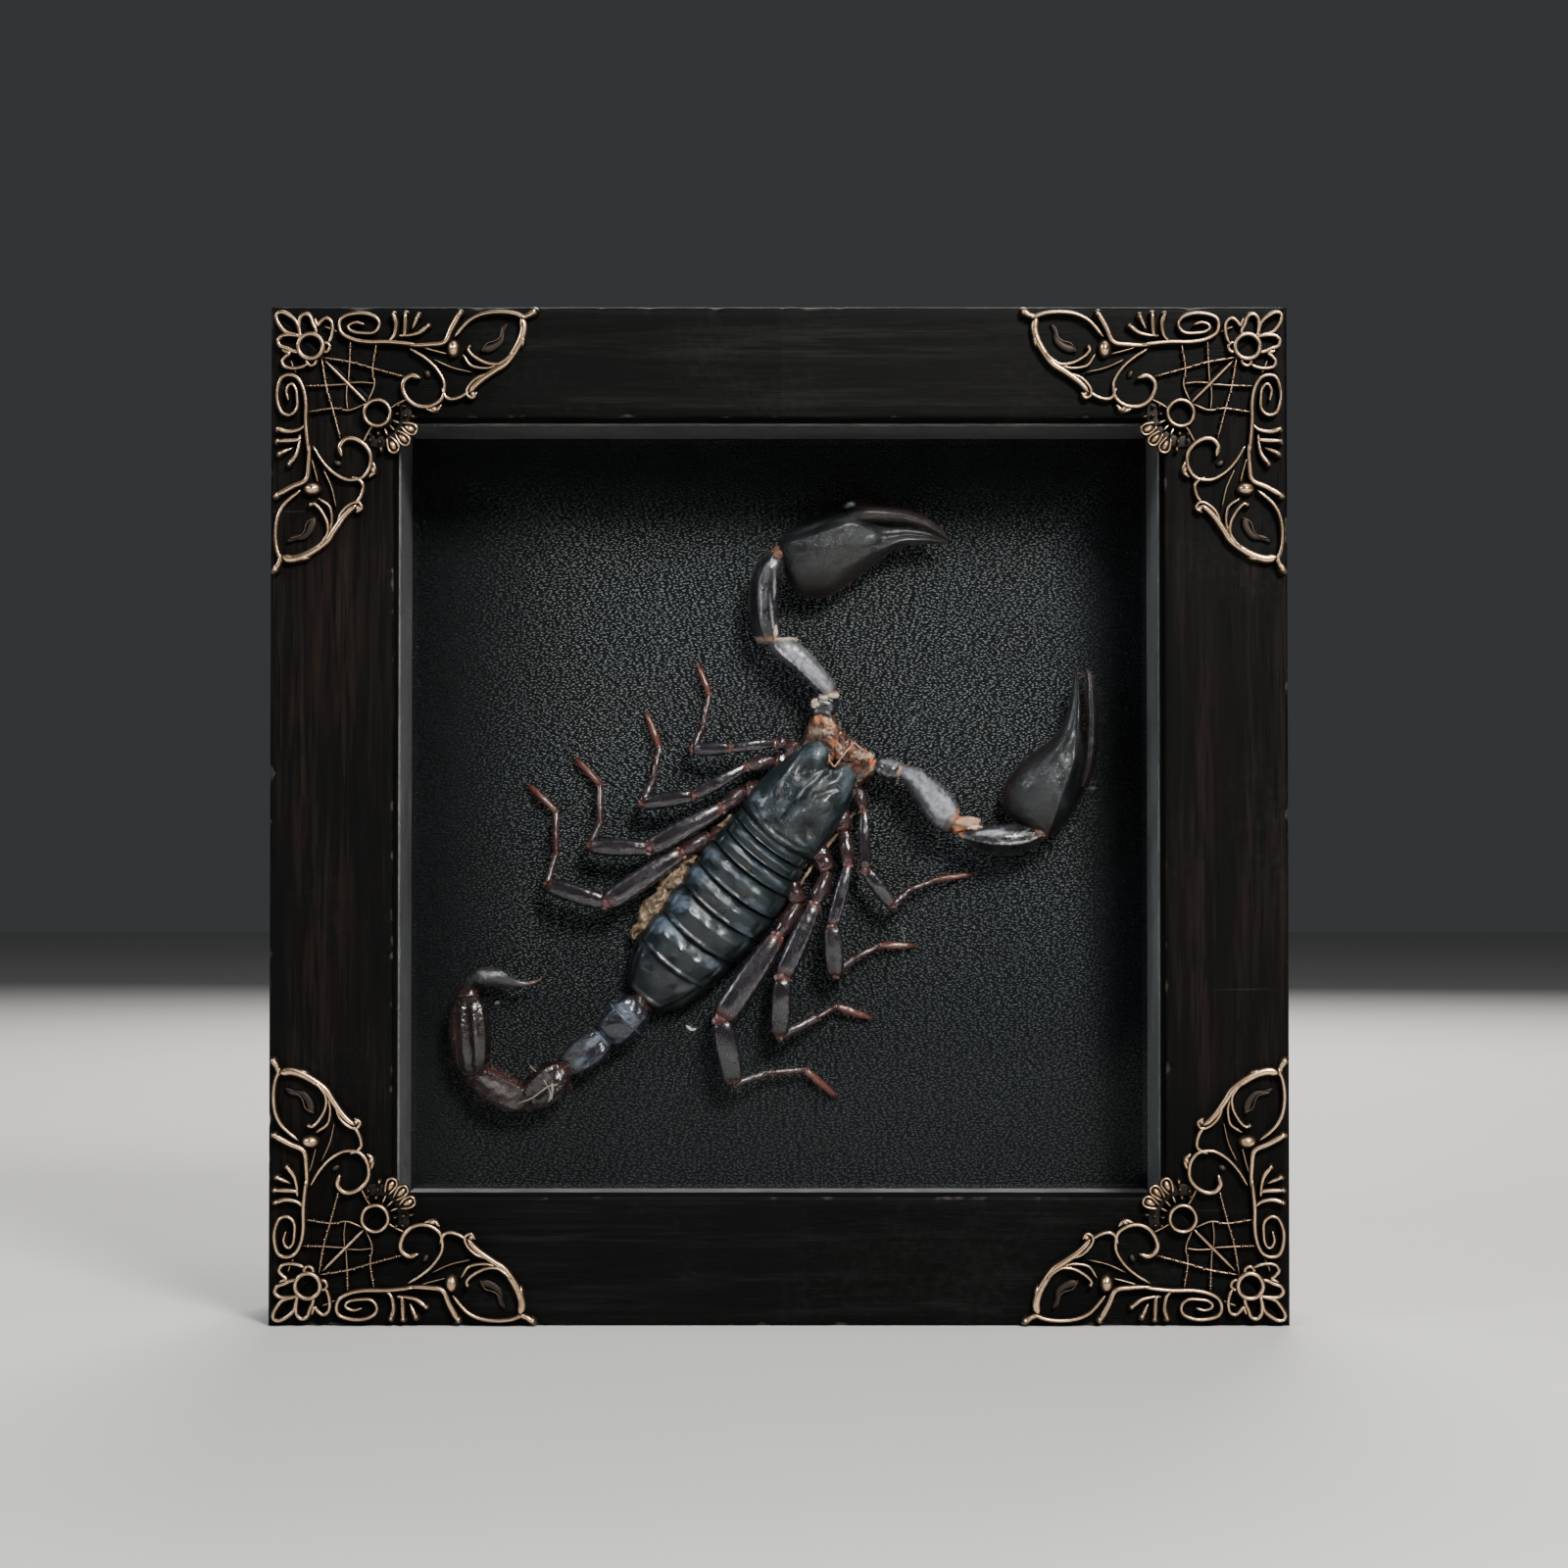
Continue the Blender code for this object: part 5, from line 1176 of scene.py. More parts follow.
# Pincer arms: the trochanter as x, z, height and half width; then cross-sections, each with its outer edge's
# x and z, its inner edge's x and z, and its lowest and highest height; then the skins in the joints, each with
# its x, z and height, three half sizes, stain and paleness.
ARMS = {
    "left": {
        "trochanter": (
            (6.9, 96.2, 4.6, 1.5), (7.2, 97.6, 4.9, 2), (7.5, 98.9, 5.1, 2.05), (7.9, 100.1, 5.2, 1.4),
        ),
        "femur": (
            (7.2, 99.6, 9.2, 100, 3.4, 6.6), (5.5, 100.9, 9.2, 101.8, 2.8, 7.4), (1.8, 104.4, 6.9, 104.6, 2.6, 7.9),
            (-0.4, 106, 4.9, 106.9, 2.6, 8.1), (-1.5, 107.5, 3.4, 108.2, 3, 7.9), (-1.2, 108.5, 2.4, 108.9, 3.8, 7),
        ),
        "patella": (
            (-3.4, 108.6, 0, 108.8, 3.8, 7), (-4.3, 110.2, 0.1, 110.8, 3, 8), (-5, 113.4, -0.4, 113.6, 2.7, 8.4),
            (-5, 117.2, -0.2, 117.4, 2.7, 8.4), (-4, 120.8, 0.9, 120.2, 3, 8.1), (-2.4, 122.7, 1.4, 121.4, 3.6, 7.4),
            (-1.3, 123.5, 0.7, 122.4, 4.4, 6.6),
        ),
        "hand": (
            (-0.6, 124, 0.9, 122, 4.2, 6.8), (0.8, 126.2, 1.2, 119.4, 2.4, 8), (2.8, 127.7, 2.6, 116.9, 1.2, 9),
            (5.6, 129.1, 5.2, 115.7, 0.4, 9.5), (8.8, 130.3, 8.4, 116.1, 0.3, 9.6),
            (12, 130.9, 11.6, 118.2, 0.6, 9.2), (14.6, 130, 14.2, 119.9, 1.4, 8.4), (17, 128, 16.8, 122.2, 2.4, 7.4),
            (20.4, 127.6, 20, 124, 3.2, 6.8), (23.6, 127, 23.3, 124.4, 3.7, 6.3), (26, 126, 25.8, 124.5, 4.1, 5.8),
            (27.7, 125.1, 27.6, 124.6, 4.4, 5.2),
        ),
        "finger": (
            (11, 130.6, 11.6, 127.4, 3.8, 7.6), (13.4, 131.2, 13.8, 127.2, 3.4, 8.6),
            (17, 130.7, 17.2, 127.7, 3.8, 8.2), (20.6, 130.2, 20.6, 127.6, 4.2, 7.6),
            (23.6, 129.1, 23.2, 127, 4.5, 7), (25.9, 127.5, 25.3, 126.2, 4.7, 6.4),
            (27.7, 125.6, 27.4, 125.2, 4.8, 5.5),
        ),
        "skins": (
            (-2, 108.9, 5.4, 1.9, 0.9, 1.7, 0, 0.25), (0.3, 123, 5.6, 1.5, 1.3, 1.6, 0.2, 0.1),
            (8.3, 100, 5.2, 1.4, 0.9, 1.5, 0.2, 0.1), (1, 108.7, 6, 2.3, 0.45, 1.5, 0.1, 1),
            (-0.7, 110.1, 6.9, 0.5, 1.1, 0.7, 0.2, 0.8), (6, 98.4, 6.2, 0.95, 0.8, 0.9, 0.1, 1),
            (7.2, 99.2, 6.7, 0.9, 0.45, 0.6, 0, 1), (8.8, 99.6, 6.7, 0.95, 0.5, 0.6, 0, 1),
        ),
    },
    "right": {
        "trochanter": (
            (15.9, 88.4, 4.6, 1.3), (17.1, 88, 4.9, 1.9), (18.5, 87.6, 5, 1.8), (19.8, 87.4, 5, 1.2),
        ),
        "femur": (
            (19.9, 88.2, 19.3, 86.5, 3.6, 6.4), (22, 88, 20.2, 85.6, 2.9, 7.4), (24.6, 86.5, 21.7, 83.2, 2.6, 7.9),
            (27, 84.7, 23.9, 80.1, 2.6, 8.1), (29, 82.2, 25.8, 77.9, 2.9, 7.9), (29.4, 80.6, 27.4, 77.4, 3.8, 7),
        ),
        "patella": (
            (29.8, 76.2, 29, 77.3, 3.8, 6.8), (31.4, 75, 31.6, 78, 3, 7.8), (34.2, 73.9, 34.4, 78.4, 2.7, 8.4),
            (37.6, 73.5, 37.4, 78.6, 2.7, 8.4), (40.6, 74.3, 39.8, 78.4, 2.9, 8), (42.9, 76, 41.5, 78.1, 3.6, 7.2),
            (43.4, 77.2, 42.3, 78.3, 4.4, 6.6),
        ),
        "hand": (
            (44.8, 76.8, 41.2, 77.6, 4, 7), (46.9, 79, 38.4, 79.4, 2, 8.4), (48.5, 81.3, 36.7, 81.6, 0.8, 9.2),
            (49.6, 83.9, 36.7, 84.8, 0.3, 9.6), (50.3, 86.4, 38, 87, 0.4, 9.6), (50.6, 88.9, 40.4, 89.6, 1, 9.2),
            (50.3, 91.4, 43.6, 92, 1.8, 8.4), (49.7, 94.2, 46, 94.6, 2.8, 7.4), (49.4, 97.6, 47.2, 97.8, 3.5, 6.8),
            (49.2, 100.8, 47.8, 100.9, 4, 6.2), (48.9, 102.8, 48.1, 102.9, 4.4, 5.7),
            (48.6, 104, 48.4, 104.1, 4.7, 5.2),
        ),
        "finger": (
            (50.2, 84.4, 48.6, 85.4, 2.8, 5.8), (51.4, 87.4, 49.2, 87.9, 2.4, 6.8), (52, 91, 49.7, 91.2, 2.6, 6.6),
            (52.3, 95, 49.9, 95, 2.8, 6.2), (52.1, 99, 49.9, 98.9, 3, 5.8), (51.6, 102.2, 50.1, 101.9, 3.3, 5.2),
            (50.5, 104.2, 50.1, 104.1, 3.7, 4.5),
        ),
        "skins": (
            (29.2, 78.6, 5.2, 1.7, 1.4, 1.7, 0.9, 0.1), (42.6, 77.6, 5.6, 1.5, 1.3, 1.6, 0.25, 0.15),
            (19.6, 87.3, 5.2, 1, 1.2, 1.4, 0.3, 0.4), (30.6, 79, 6.4, 2.2, 0.85, 1, 0.9, 0.5),
            (30.9, 79.5, 7, 1.1, 0.3, 0.4, 0.7, 0.9), (31.6, 78.2, 6.3, 1.5, 0.5, 0.9, 0.8, 0.7),
        ),
    },
}
# Arm segments: name, where the ridge lies, teeth, the roof's inner side and fall, and painted highlight on keels and
# side.
ARM_PARTS = (("femur", 0.15, 17, 5, 3, 0.5, 0.8), ("patella", 0.34, 19, 3, 2.2, 0.12, 0))
# How many bristles each part of an arm has.
ARM_HAIRS = (("hand", 26), ("finger", 26), ("patella", 18), ("femur", 14))
# Painted highlights on the femurs' broad faces and the patellas' keels.
ARM_HIGHLIGHTS = {
    "left": (
        (3.6, 105, 4.4, 0.8, -44, 0.75), (7.4, 101.9, 1.6, 0.8, -50, 0.5), (-1.2, 113, 3, 0.22, 96, 0.6),
        (-0.8, 117.8, 2.6, 0.22, 90, 0.7), (-3, 115, 4, 0.15, 92, 0.5), (1, 106.2, 1.8, 0.5, -44, 0.4),
        (8.6, 99.9, 1, 0.3, 20, 0.8),
    ),
    "right": (
        (24.6, 84.6, 3.8, 0.8, -52, 0.75), (27.2, 81.8, 2.4, 1, -60, 0.9), (34.6, 77.3, 2.6, 0.5, 4, 0.8),
        (21.6, 87, 1.6, 0.6, -40, 0.5), (18.2, 88.6, 2, 0.5, -10, 0.4), (39.6, 77.3, 1.4, 0.25, 30, 0.6),
    ),
}
ARM_AMBER = {
    "left": ((-1.6, 109, 1.6, 0.7, 0, 0.12), (0.2, 122.8, 1.2, 0.9, 0, 0.28)),
    "right": ((29.2, 79.6, 1.6, 1.5, 0, 1), (31.6, 78.9, 1.4, 0.7, -10, 1), (42.4, 77.6, 0.9, 0.9, 0, 0.3)),
}
ARM_SHADE = {
    "left": (
        (-4.2, 114.6, 5.6, 0.9, 92, 0.95), (-1.6, 119.8, 2.6, 1.2, 92, 0.6), (3.4, 102.2, 4.4, 0.5, -44, 0.85),
        (8.9, 98.6, 0.8, 0.6, 60, 0.9),
    ),
    "right": (
        (36.4, 75.3, 5.6, 1.3, -4, 0.95), (40.2, 77, 2.2, 1.2, -10, 0.7), (22.4, 83.6, 4.4, 0.7, -54, 0.9),
        (27.4, 78.6, 1.6, 0.8, -40, 0.7),
    ),
}
# Painted highlights on the hands and along their keels.
HAND_HIGHLIGHTS = {
    "left": (
        (13.3, 125.4, 2.6, 1.5, 5, 0.55), (8.5, 124.6, 3.2, 1.2, 8, 0.22), (5.4, 127.1, 3, 0.35, 22, 0.5),
        (11, 128.3, 2.4, 0.5, 8, 0.4), (19.4, 126.6, 3.4, 0.35, -6, 0.5), (17.6, 129.6, 3.6, 0.35, -4, 0.5),
        (5.2, 120.6, 2.2, 0.9, 30, 0.22), (10.6, 120.8, 2.6, 0.5, 20, 0.22),
    ),
    "right": (
        (44.9, 84.8, 0.7, 4.2, 20, 0.5), (46.2, 88.6, 0.45, 3.2, 12, 0.6), (41.4, 84.4, 4, 2.8, 65, 0.28),
        (48.4, 86, 3, 0.4, 80, 0.35), (51.2, 94, 4.4, 0.3, 88, 0.4), (48.4, 97, 3.4, 0.25, 92, 0.4),
    ),
}
HAND_SHADE = {
    "left": (
        (18.6, 127.8, 4.2, 0.28, -1, 1), (25, 126.3, 2.2, 0.25, -30, 1), (4.6, 119.2, 4.2, 2, -35, 0.7),
        (14, 127.3, 1.6, 0.3, 10, 0.9), (7, 128.8, 6.5, 1.1, 12, 0.95),
    ),
    "right": (
        (49.6, 94.6, 5, 0.6, 93, 1), (48.6, 86.4, 6, 1.5, 80, 0.95), (38.6, 81, 1.8, 1.2, 60, 0.5),
        (51.2, 96, 8, 0.9, 90, 0.9),
    ),
}

TAIL_JOINTS = (
    (-22.7, 49.4, 3.6), (-28.3, 43.9, 3.7), (-35.1, 38.9, 3.6), (-41.2, 33.2, 3.5), (-50, 37.6, 3.6),
    (-50.9, 50.9, 3.6),
)
# Keels of a tail segment: angle, height, width in degrees and beads; a groove runs along its middle.
FIRST_KEELS = ((54, 0.05, 10, 0), (126, 0.05, 10, 0), (8, 0.05, 7, 7), (172, 0.05, 7, 7))
SECOND_KEELS = ((50, 0.15, 15, 0), (130, 0.15, 15, 0), (90, -0.16, 18, 0), (10, 0.07, 7, 9))
TAIL_KEELS = ((56, 0.09, 6, 13), (124, 0.09, 6, 13), (16, 0.07, 6, 13), (164, 0.07, 6, 13), (90, -0.13, 15, 0))
LAST_KEELS = (
    (48, 0.08, 4, 19), (132, 0.08, 4, 19), (78, 0.06, 4, 19), (104, 0.06, 4, 19), (14, 0.06, 5, 19),
    (166, 0.06, 5, 19), (91, -0.1, 7, 0),
)
# Each tail segment: half width, fullness along it, reds at its ends and middle, keels and painted highlight.
TAIL_SEGMENTS = (
    (3.15, ((0, 0.5), (0.05, 0.78), (0.22, 1), (0.55, 1.04), (0.85, 0.94), (0.96, 0.72), (1, 0.4)), (0.2, 0.1, 0),
        FIRST_KEELS, 0.12),
    (2.65, ((0, 0.42), (0.05, 0.66), (0.2, 0.98), (0.5, 1.02), (0.8, 0.9), (0.95, 0.66), (1, 0.4)), (0.1, 0.7, 0),
        SECOND_KEELS, 0.1),
    (3, ((0, 0.42), (0.05, 0.64), (0.22, 0.96), (0.5, 1), (0.82, 0.92), (0.95, 0.7), (1, 0.4)), (0.3, 0.3, 0.1),
        TAIL_KEELS, 0.06),
    (2.75, ((0, 0.45), (0.05, 0.74), (0.25, 1), (0.6, 1), (0.88, 0.9), (0.97, 0.7), (1, 0.4)), (0.4, 0.5, 0.15),
        TAIL_KEELS, 0.06),
    (3.2, ((0, 0.4), (0.04, 0.66), (0.2, 0.92), (0.55, 1.04), (0.82, 0.94), (0.94, 0.68), (1, 0.4)),
        (0.5, 0.4, 0.05), LAST_KEELS, 0.1),
)
VESICLE = (
    (-51.2, 51.6, 3.6, 0.5), (-50.6, 52.9, 3.9, 0.9), (-49.6, 53.5, 4, 1.3), (-47.9, 53.8, 4.1, 1.52),
    (-46, 53.7, 4.1, 1.48), (-44.2, 53.1, 3.9, 1.05), (-42.9, 52.7, 3.8, 0.68), (-41.4, 52.6, 3.7, 0.45),
    (-40, 52.9, 3.6, 0.28), (-38.8, 53.5, 3.5, 0.08),
)
# Painted highlights on the tail's segments and on the sting's bulb.
TAIL_HIGHLIGHTS = (
    (-45.9, 35.9, 3.4, 0.75, -27, 1), (-24.9, 48.2, 1, 2, 45, 0.5), (-28.4, 43.6, 0.4, 2.2, 45, 0.6),
    (-30.2, 43.4, 1.6, 0.6, 38, 0.6), (-32.6, 40, 1.4, 0.5, 36, 0.4), (-37.6, 37.4, 0.5, 1.6, 40, 0.45),
    (-49.2, 44, 4.4, 0.22, 93, 0.5), (-51.3, 44.6, 3.8, 0.16, 93, 0.3), (-47.4, 54.2, 1.6, 0.5, 0, 0.8),
)
TAIL_RED = (
    (-44.8, 37.4, 3.6, 0.7, -27, 1), (-46.4, 33.4, 3, 0.9, -27, 0.6), (-52.9, 44.4, 5, 0.8, 94, 0.8),
    (-34.9, 38.9, 1, 1.8, 45, 0.9),
)
# Stray fibres: radius, then x, z and height along each.
STRAYS = (
    (0.1, ((-40.6, 39.2, 4.6), (-38.4, 37.2, 6.2), (-37.2, 35, 7), (-37.4, 33.6, 7.2))),
    (0.1, ((-42.6, 33.2, 5.6), (-40.2, 34.2, 7.2), (-37.6, 36, 7.1), (-36, 36.4, 6.9))),
    (0.16, ((-36.9, 36.6, 7.1), (-36.8, 35.4, 7.2), (-37.1, 34, 7.1))),
    (0.05, ((20, 62, 0.12), (20.6, 59.8, 0.12), (20.4, 57, 0.12))),
    (0.05, ((26.2, 79.2, 0.12), (26.3, 77.2, 0.12), (26.1, 75, 0.12))),
    (0.05, ((22.6, 96.6, 0.12), (21.6, 95, 0.12), (21.2, 94.6, 0.12))),
)
# The white speck's two flakes and a crumb: place, half sizes, turn, seed, roughness and material.
SPECKS = (
    ((-14.9, 45.3, 0.2), (0.55, 0.22, 0.16), -0.7, 2, 0.3, 1), ((-14.2, 45, 0.2), (0.5, 0.2, 0.16), 0.15, 3, 0.3, 1),
    ((-46.4, 49.4, 0.3), (0.35, 0.35, 0.28), 0, 4, 0.2, 0),
)

# The stage, in metres: each light's place, size, power in watts and colour.
FLOOR_HALF = 3
LIGHT_AIM = (0, 0, 0.08)
LIGHTS = (
    ("key", (0.24, -0.62, 0.51), 0.2, 8.5, (1, 0.99, 0.96)), ("top", (0.12, -0.2, 0.95), 0.35, 2, (1, 1, 1)),
    ("fill", (-0.72, -0.52, 0.5), 0.16, 3.6, (0.8, 0.9, 1)), ("back", (0.1, 0.9, 0.75), 0.6, 15, (1, 0.98, 0.95)),
)


def tube(path, half_widths, half_heights, sides=28, boxy=2, keels=(), seed=0, rough=0):
    """Rings about a path on the panel, oval or boxy, and how far each point stands on a keel."""
    way = unit(np.gradient(path, axis=0))
    side = unit(np.cross(way, UP))
    lift = np.cross(side, way)
    angles = turns(sides)
    share = shares(len(path))
    reach = np.ones((len(path), sides))
    ridge = np.zeros((len(path), sides))
    for degrees, height, width, beads in keels:
        away = np.abs((np.degrees(angles) - degrees + 180) % 360 - 180)
        beading = 1 + (0.55 * np.cos(TAU * beads * share) if beads else 0 * share)
        rise = bell(away, width)[None, :] * (beading * np.sin(math.pi * share) ** 0.4)[:, None]
        reach += height * rise
        ridge = np.maximum(ridge, rise if height > 0 else 0)
    across = np.sign(np.cos(angles)) * np.abs(np.cos(angles)) ** (2 / boxy)
    upward = np.sign(np.sin(angles)) * np.abs(np.sin(angles)) ** (2 / boxy)
    rings = path[:, None] + side[:, None] * (across * reach * half_widths[:, None])[..., None]
    rings = rings + lift[:, None] * (upward * reach * half_heights[:, None])[..., None]
    if rough:
        out = unit(rings - path[:, None])
        rings = rings + out * (ripple(rings, 1.1, seed) * rough)[..., None]
    return rings, ridge


def roofed(stations, ridge, sides, outer, inner, fall):
    """Rings over cross-sections between an outer and an inner edge, with a sharp ridge between them.
    Gives the rings, and the share along and across of each point; points below have a share of -1."""
    table = curve_through(stations, 11)
    top = sides * 5 // 8
    under = sides - top
    q_top = 0.5 - 0.5 * np.cos(math.pi * np.arange(top) / top)
    q_under = 0.5 + 0.5 * np.cos(math.pi * np.arange(under) / under)
    share = shares(len(table))
    peak = np.interp(share, *ridge)[:, None]
    low, high = table[:, 4:5], table[:, 5:6]
    flank = low + (high - low) * 0.4
    rise = np.minimum(q_top / peak, 1) ** outer
    beyond = np.clip((q_top - peak) / (1 - peak), 0, 1)
    drop = np.maximum(1 - beyond ** inner, 0) ** (1 / fall)
    height_top = flank + (high - flank) * np.where(q_top <= peak, rise, drop)
    belly = np.maximum(1 - np.abs(2 * q_under - 1) ** 2.6, 0) ** 0.6
    height_under = flank - (flank - low) * belly
    q = np.concatenate((np.broadcast_to(q_top, (len(table), top)), np.broadcast_to(q_under, (len(table), under))), 1)
    height = np.concatenate((height_top, height_under), axis=1)
    place = table[:, None, 0:2] + (table[:, None, 2:4] - table[:, None, 0:2]) * q[..., None]
    rings = np.concatenate((place, height[..., None]), axis=-1)
    q = np.where(np.arange(sides) < top, q, -1)
    return rings, np.broadcast_to(share[:, None], q.shape), q


def segment(skins, start, end, half_width, half_height, shape, reds, rows=26, slot=0, pale=0, bow=0,
            **details):
    """One limb segment between two joints, with reds at its near end, far end and middle."""
    share = shares(rows)
    path = start + (end - start) * share[:, None]
    path[:, 2] += bow * np.sin(math.pi * share)
    fullness = smooth_table(shape, share)
    rings, ridge = tube(path, fullness * half_width, fullness * half_height, **details)
    near, far, middle = reds
    red = np.maximum(np.maximum(near * bell(share, 0.07), far * bell(1 - share, 0.07)), middle)
    # A painted highlight along the keels, and faintly along the middle, as strong as pale.
    lit = pale * np.maximum(ridge, 0.15 * np.sin(math.pi * share)[:, None] ** 2)
    skins.wrap(rings, slot, stain=red[:, None], pale=lit)


def pad(skins, centre, half_sizes, turn=0, seed=0, rough=0, **masks):
    """A small rounded lump, such as the skin that shows in a joint."""
    heights = np.linspace(-1, 1, 12)[:, None]
    reach = np.sqrt(np.maximum(1 - heights ** 2, 0.004))
    angles = turns(16)
    x, z = turned(reach * np.cos(angles) * half_sizes[0], reach * np.sin(angles) * half_sizes[1], turn)
    rings = np.stack((x, z, np.broadcast_to(heights * half_sizes[2], x.shape)), -1)
    rings = rings * (1 + rough * ripple(rings + seed, 0.9, seed))[..., None]
    skins.wrap(rings + np.asarray(centre), **masks)


def spike(skins, root, way, length, radius, bend=(0, 0, 0), rows=6, sides=6, **masks):
    """A tapered claw, spur, tooth or hair that bends towards its tip."""
    share = shares(rows)[:, None]
    path = root + way * length * share + np.asarray(bend) * length * share ** 2
    widths = radius * (1 - 0.93 * share[:, 0])
    skins.wrap(tube(path, widths, widths, sides=sides)[0], **masks)


def crumpled(skins, stations, fold, seed, amber, cream_and_crest_light, flat=0.8, size=1):
    """Dried, crumpled skin along a line of places and half widths: painted shade in its folds, paler colour and
    painted light on its crests.
    """
    path = stations[:, :3]
    rings, _ = tube(path, stations[:, 3], stations[:, 3] * flat, sides=88)
    out = unit(rings - path[:, None])
    creases = sum(share * (0.5 - np.abs(ripple(rings, size * span, seed + k)))
                  for k, (share, span) in enumerate(((1, 2.3), (0.8, 1.2), (0.5, 0.6))))
    rings = rings + out * (fold * creases)[..., None]
    tint = np.clip(0.35 + 0.8 * ripple(rings, 1.8, seed + 5), 0, 1)
    skins.wrap(rings, stain=amber * tint, pale=cream_and_crest_light * np.clip(creases - 0.3, 0, 1),
               shade=np.clip(-0.2 - 1.3 * creases, 0, 0.9))


def distance_to(points, line):
    """How far places are from a bent line."""
    nearest = np.full(points.shape[:-1], 1e9)
    for first, second in zip(np.asarray(line, float), np.asarray(line[1:], float)):
        span = second - first
        share = np.clip(((points - first) @ span) / (span @ span), 0, 1)
        nearest = np.minimum(nearest, np.linalg.norm(points - first - share[..., None] * span, axis=-1))
    return nearest


class SPECIMEN_OT_head(Operator):
    """Build the head shield, the jaws and the bases of the pincer arms."""

    bl_idname = "specimen.head"
    bl_label = "Head shield and jaws"

    def execute(self, context):
        shield = Skins()
        shield.wrap(shield_rings())
        for t in (-1.45, -0.35):
            pad(shield, on_animal(42, t, 9.35), (0.34, 0.34, 0.3))
        for side in (-1, 1):
            for k in range(3):
                pad(shield, on_animal(50 - 0.75 * k, side * (5.2 + 0.2 * k), 6.6 + 0.1 * k), (0.24, 0.24, 0.22))
        shield.paint(pale=SHIELD_HIGHLIGHTS, shade=SHIELD_SHADE)
        shield.piece("head_shield", ["shield_shell"], ("scorpion_body",))

        front = Skins()
        for index, stations in enumerate(JAWS + PALP_COXAE):
            table = curve_through(stations)
            path = on_animal(table[:, 0], table[:, 1], table[:, 2])
            rings, ridge = tube(path, table[:, 3], table[:, 3] * 0.9, sides=30, boxy=2.3, seed=index, rough=0.13,
                                keels=((60, 0.1, 9, 6), (125, 0.1, 9, 6)))
            # Painted highlight along the keels of the jaws and arm bases.
            front.wrap(rings, pale=ridge * 0.15)
        crumpled(front, curve_through(FRONT_MASS, 18), 0.36, 31, amber=0.16, cream_and_crest_light=0.22)
        for radius, points in FRONT_THREADS:
            line = curve_through(points, 10)
            girth = radius * (1 + 0.25 * np.sin(3.1 * np.arange(len(line))))
            front.wrap(tube(line, girth, girth, sides=10)[0], stain=0.8, pale=0.75)
        front.paint(stain=FRONT_AMBER, pale=FRONT_CREAM, shade=FRONT_SHADE)
        front.piece("jaws_and_arm_bases", ["base_skin"])
        return {"FINISHED"}


def shield_height(s, t, width, crown):
    """The height of the shield's rim and of its sculpted top."""
    edge = np.clip(np.abs(t) / width, 0, 1)
    arch = np.maximum(1 - edge ** 3.2, 0) ** 0.55
    flank = 0.8 + (crown - 0.8) * 0.32
    height = flank + (crown - flank) * arch
    place = np.stack((s, t), axis=-1)
    for place_s, place_t, rise, size_s, size_t in SHIELD_SWELLS:
        height = height + 1.15 * rise * bell(s - place_s, size_s) * bell(t - place_t, size_t) * arch ** 0.5
    for rise, size, line in SHIELD_LINES:
        height = height + 0.6 * rise * bell(distance_to(place, line), size)
    return flank, height


def shield_rings():
    """The head shield as rings across the animal."""
    angle, below = over_and_under(140, 24)
    rings = []
    for value in np.concatenate((np.linspace(0, 0.93, 96), np.linspace(0.94, 1, 16))):
        nominal = CARAPACE_REAR + (CARAPACE_FRONT - CARAPACE_REAR) * value
        width = smooth_table(CARAPACE_WIDTHS, nominal)
        t = width * np.cos(angle)
        front = CARAPACE_FRONT - 2.9 * bell(t - 0.1, 1.5) - 0.1 * np.abs(t + 0.6) ** 1.4
        front = front + 0.12 * np.sin(t * 3.1 + 0.6)
        rear = CARAPACE_REAR + 1.5 * (t / 7.5) ** 2
        s = rear + (front - rear) * value
        flank, height = shield_height(s, t, width, smooth_table(CARAPACE_CROWNS, nominal))
        height = np.where(below, flank + np.sin(angle) * (flank - 0.8), height)
        close = np.clip((value - 0.95) / 0.05, 0, 1) ** 2.2 + 0.3 * np.clip((0.02 - value) / 0.02, 0, 1) ** 2
        ring = on_animal(s, t, height - (height - flank) * 0.6 * close)
        ring[:, 2] += np.where(below, 0, 0.03 * ripple(ring, 2.6, 5) + 0.009 * ripple(ring, 0.8, 6))
        rings.append(ring)
    return np.array(rings)


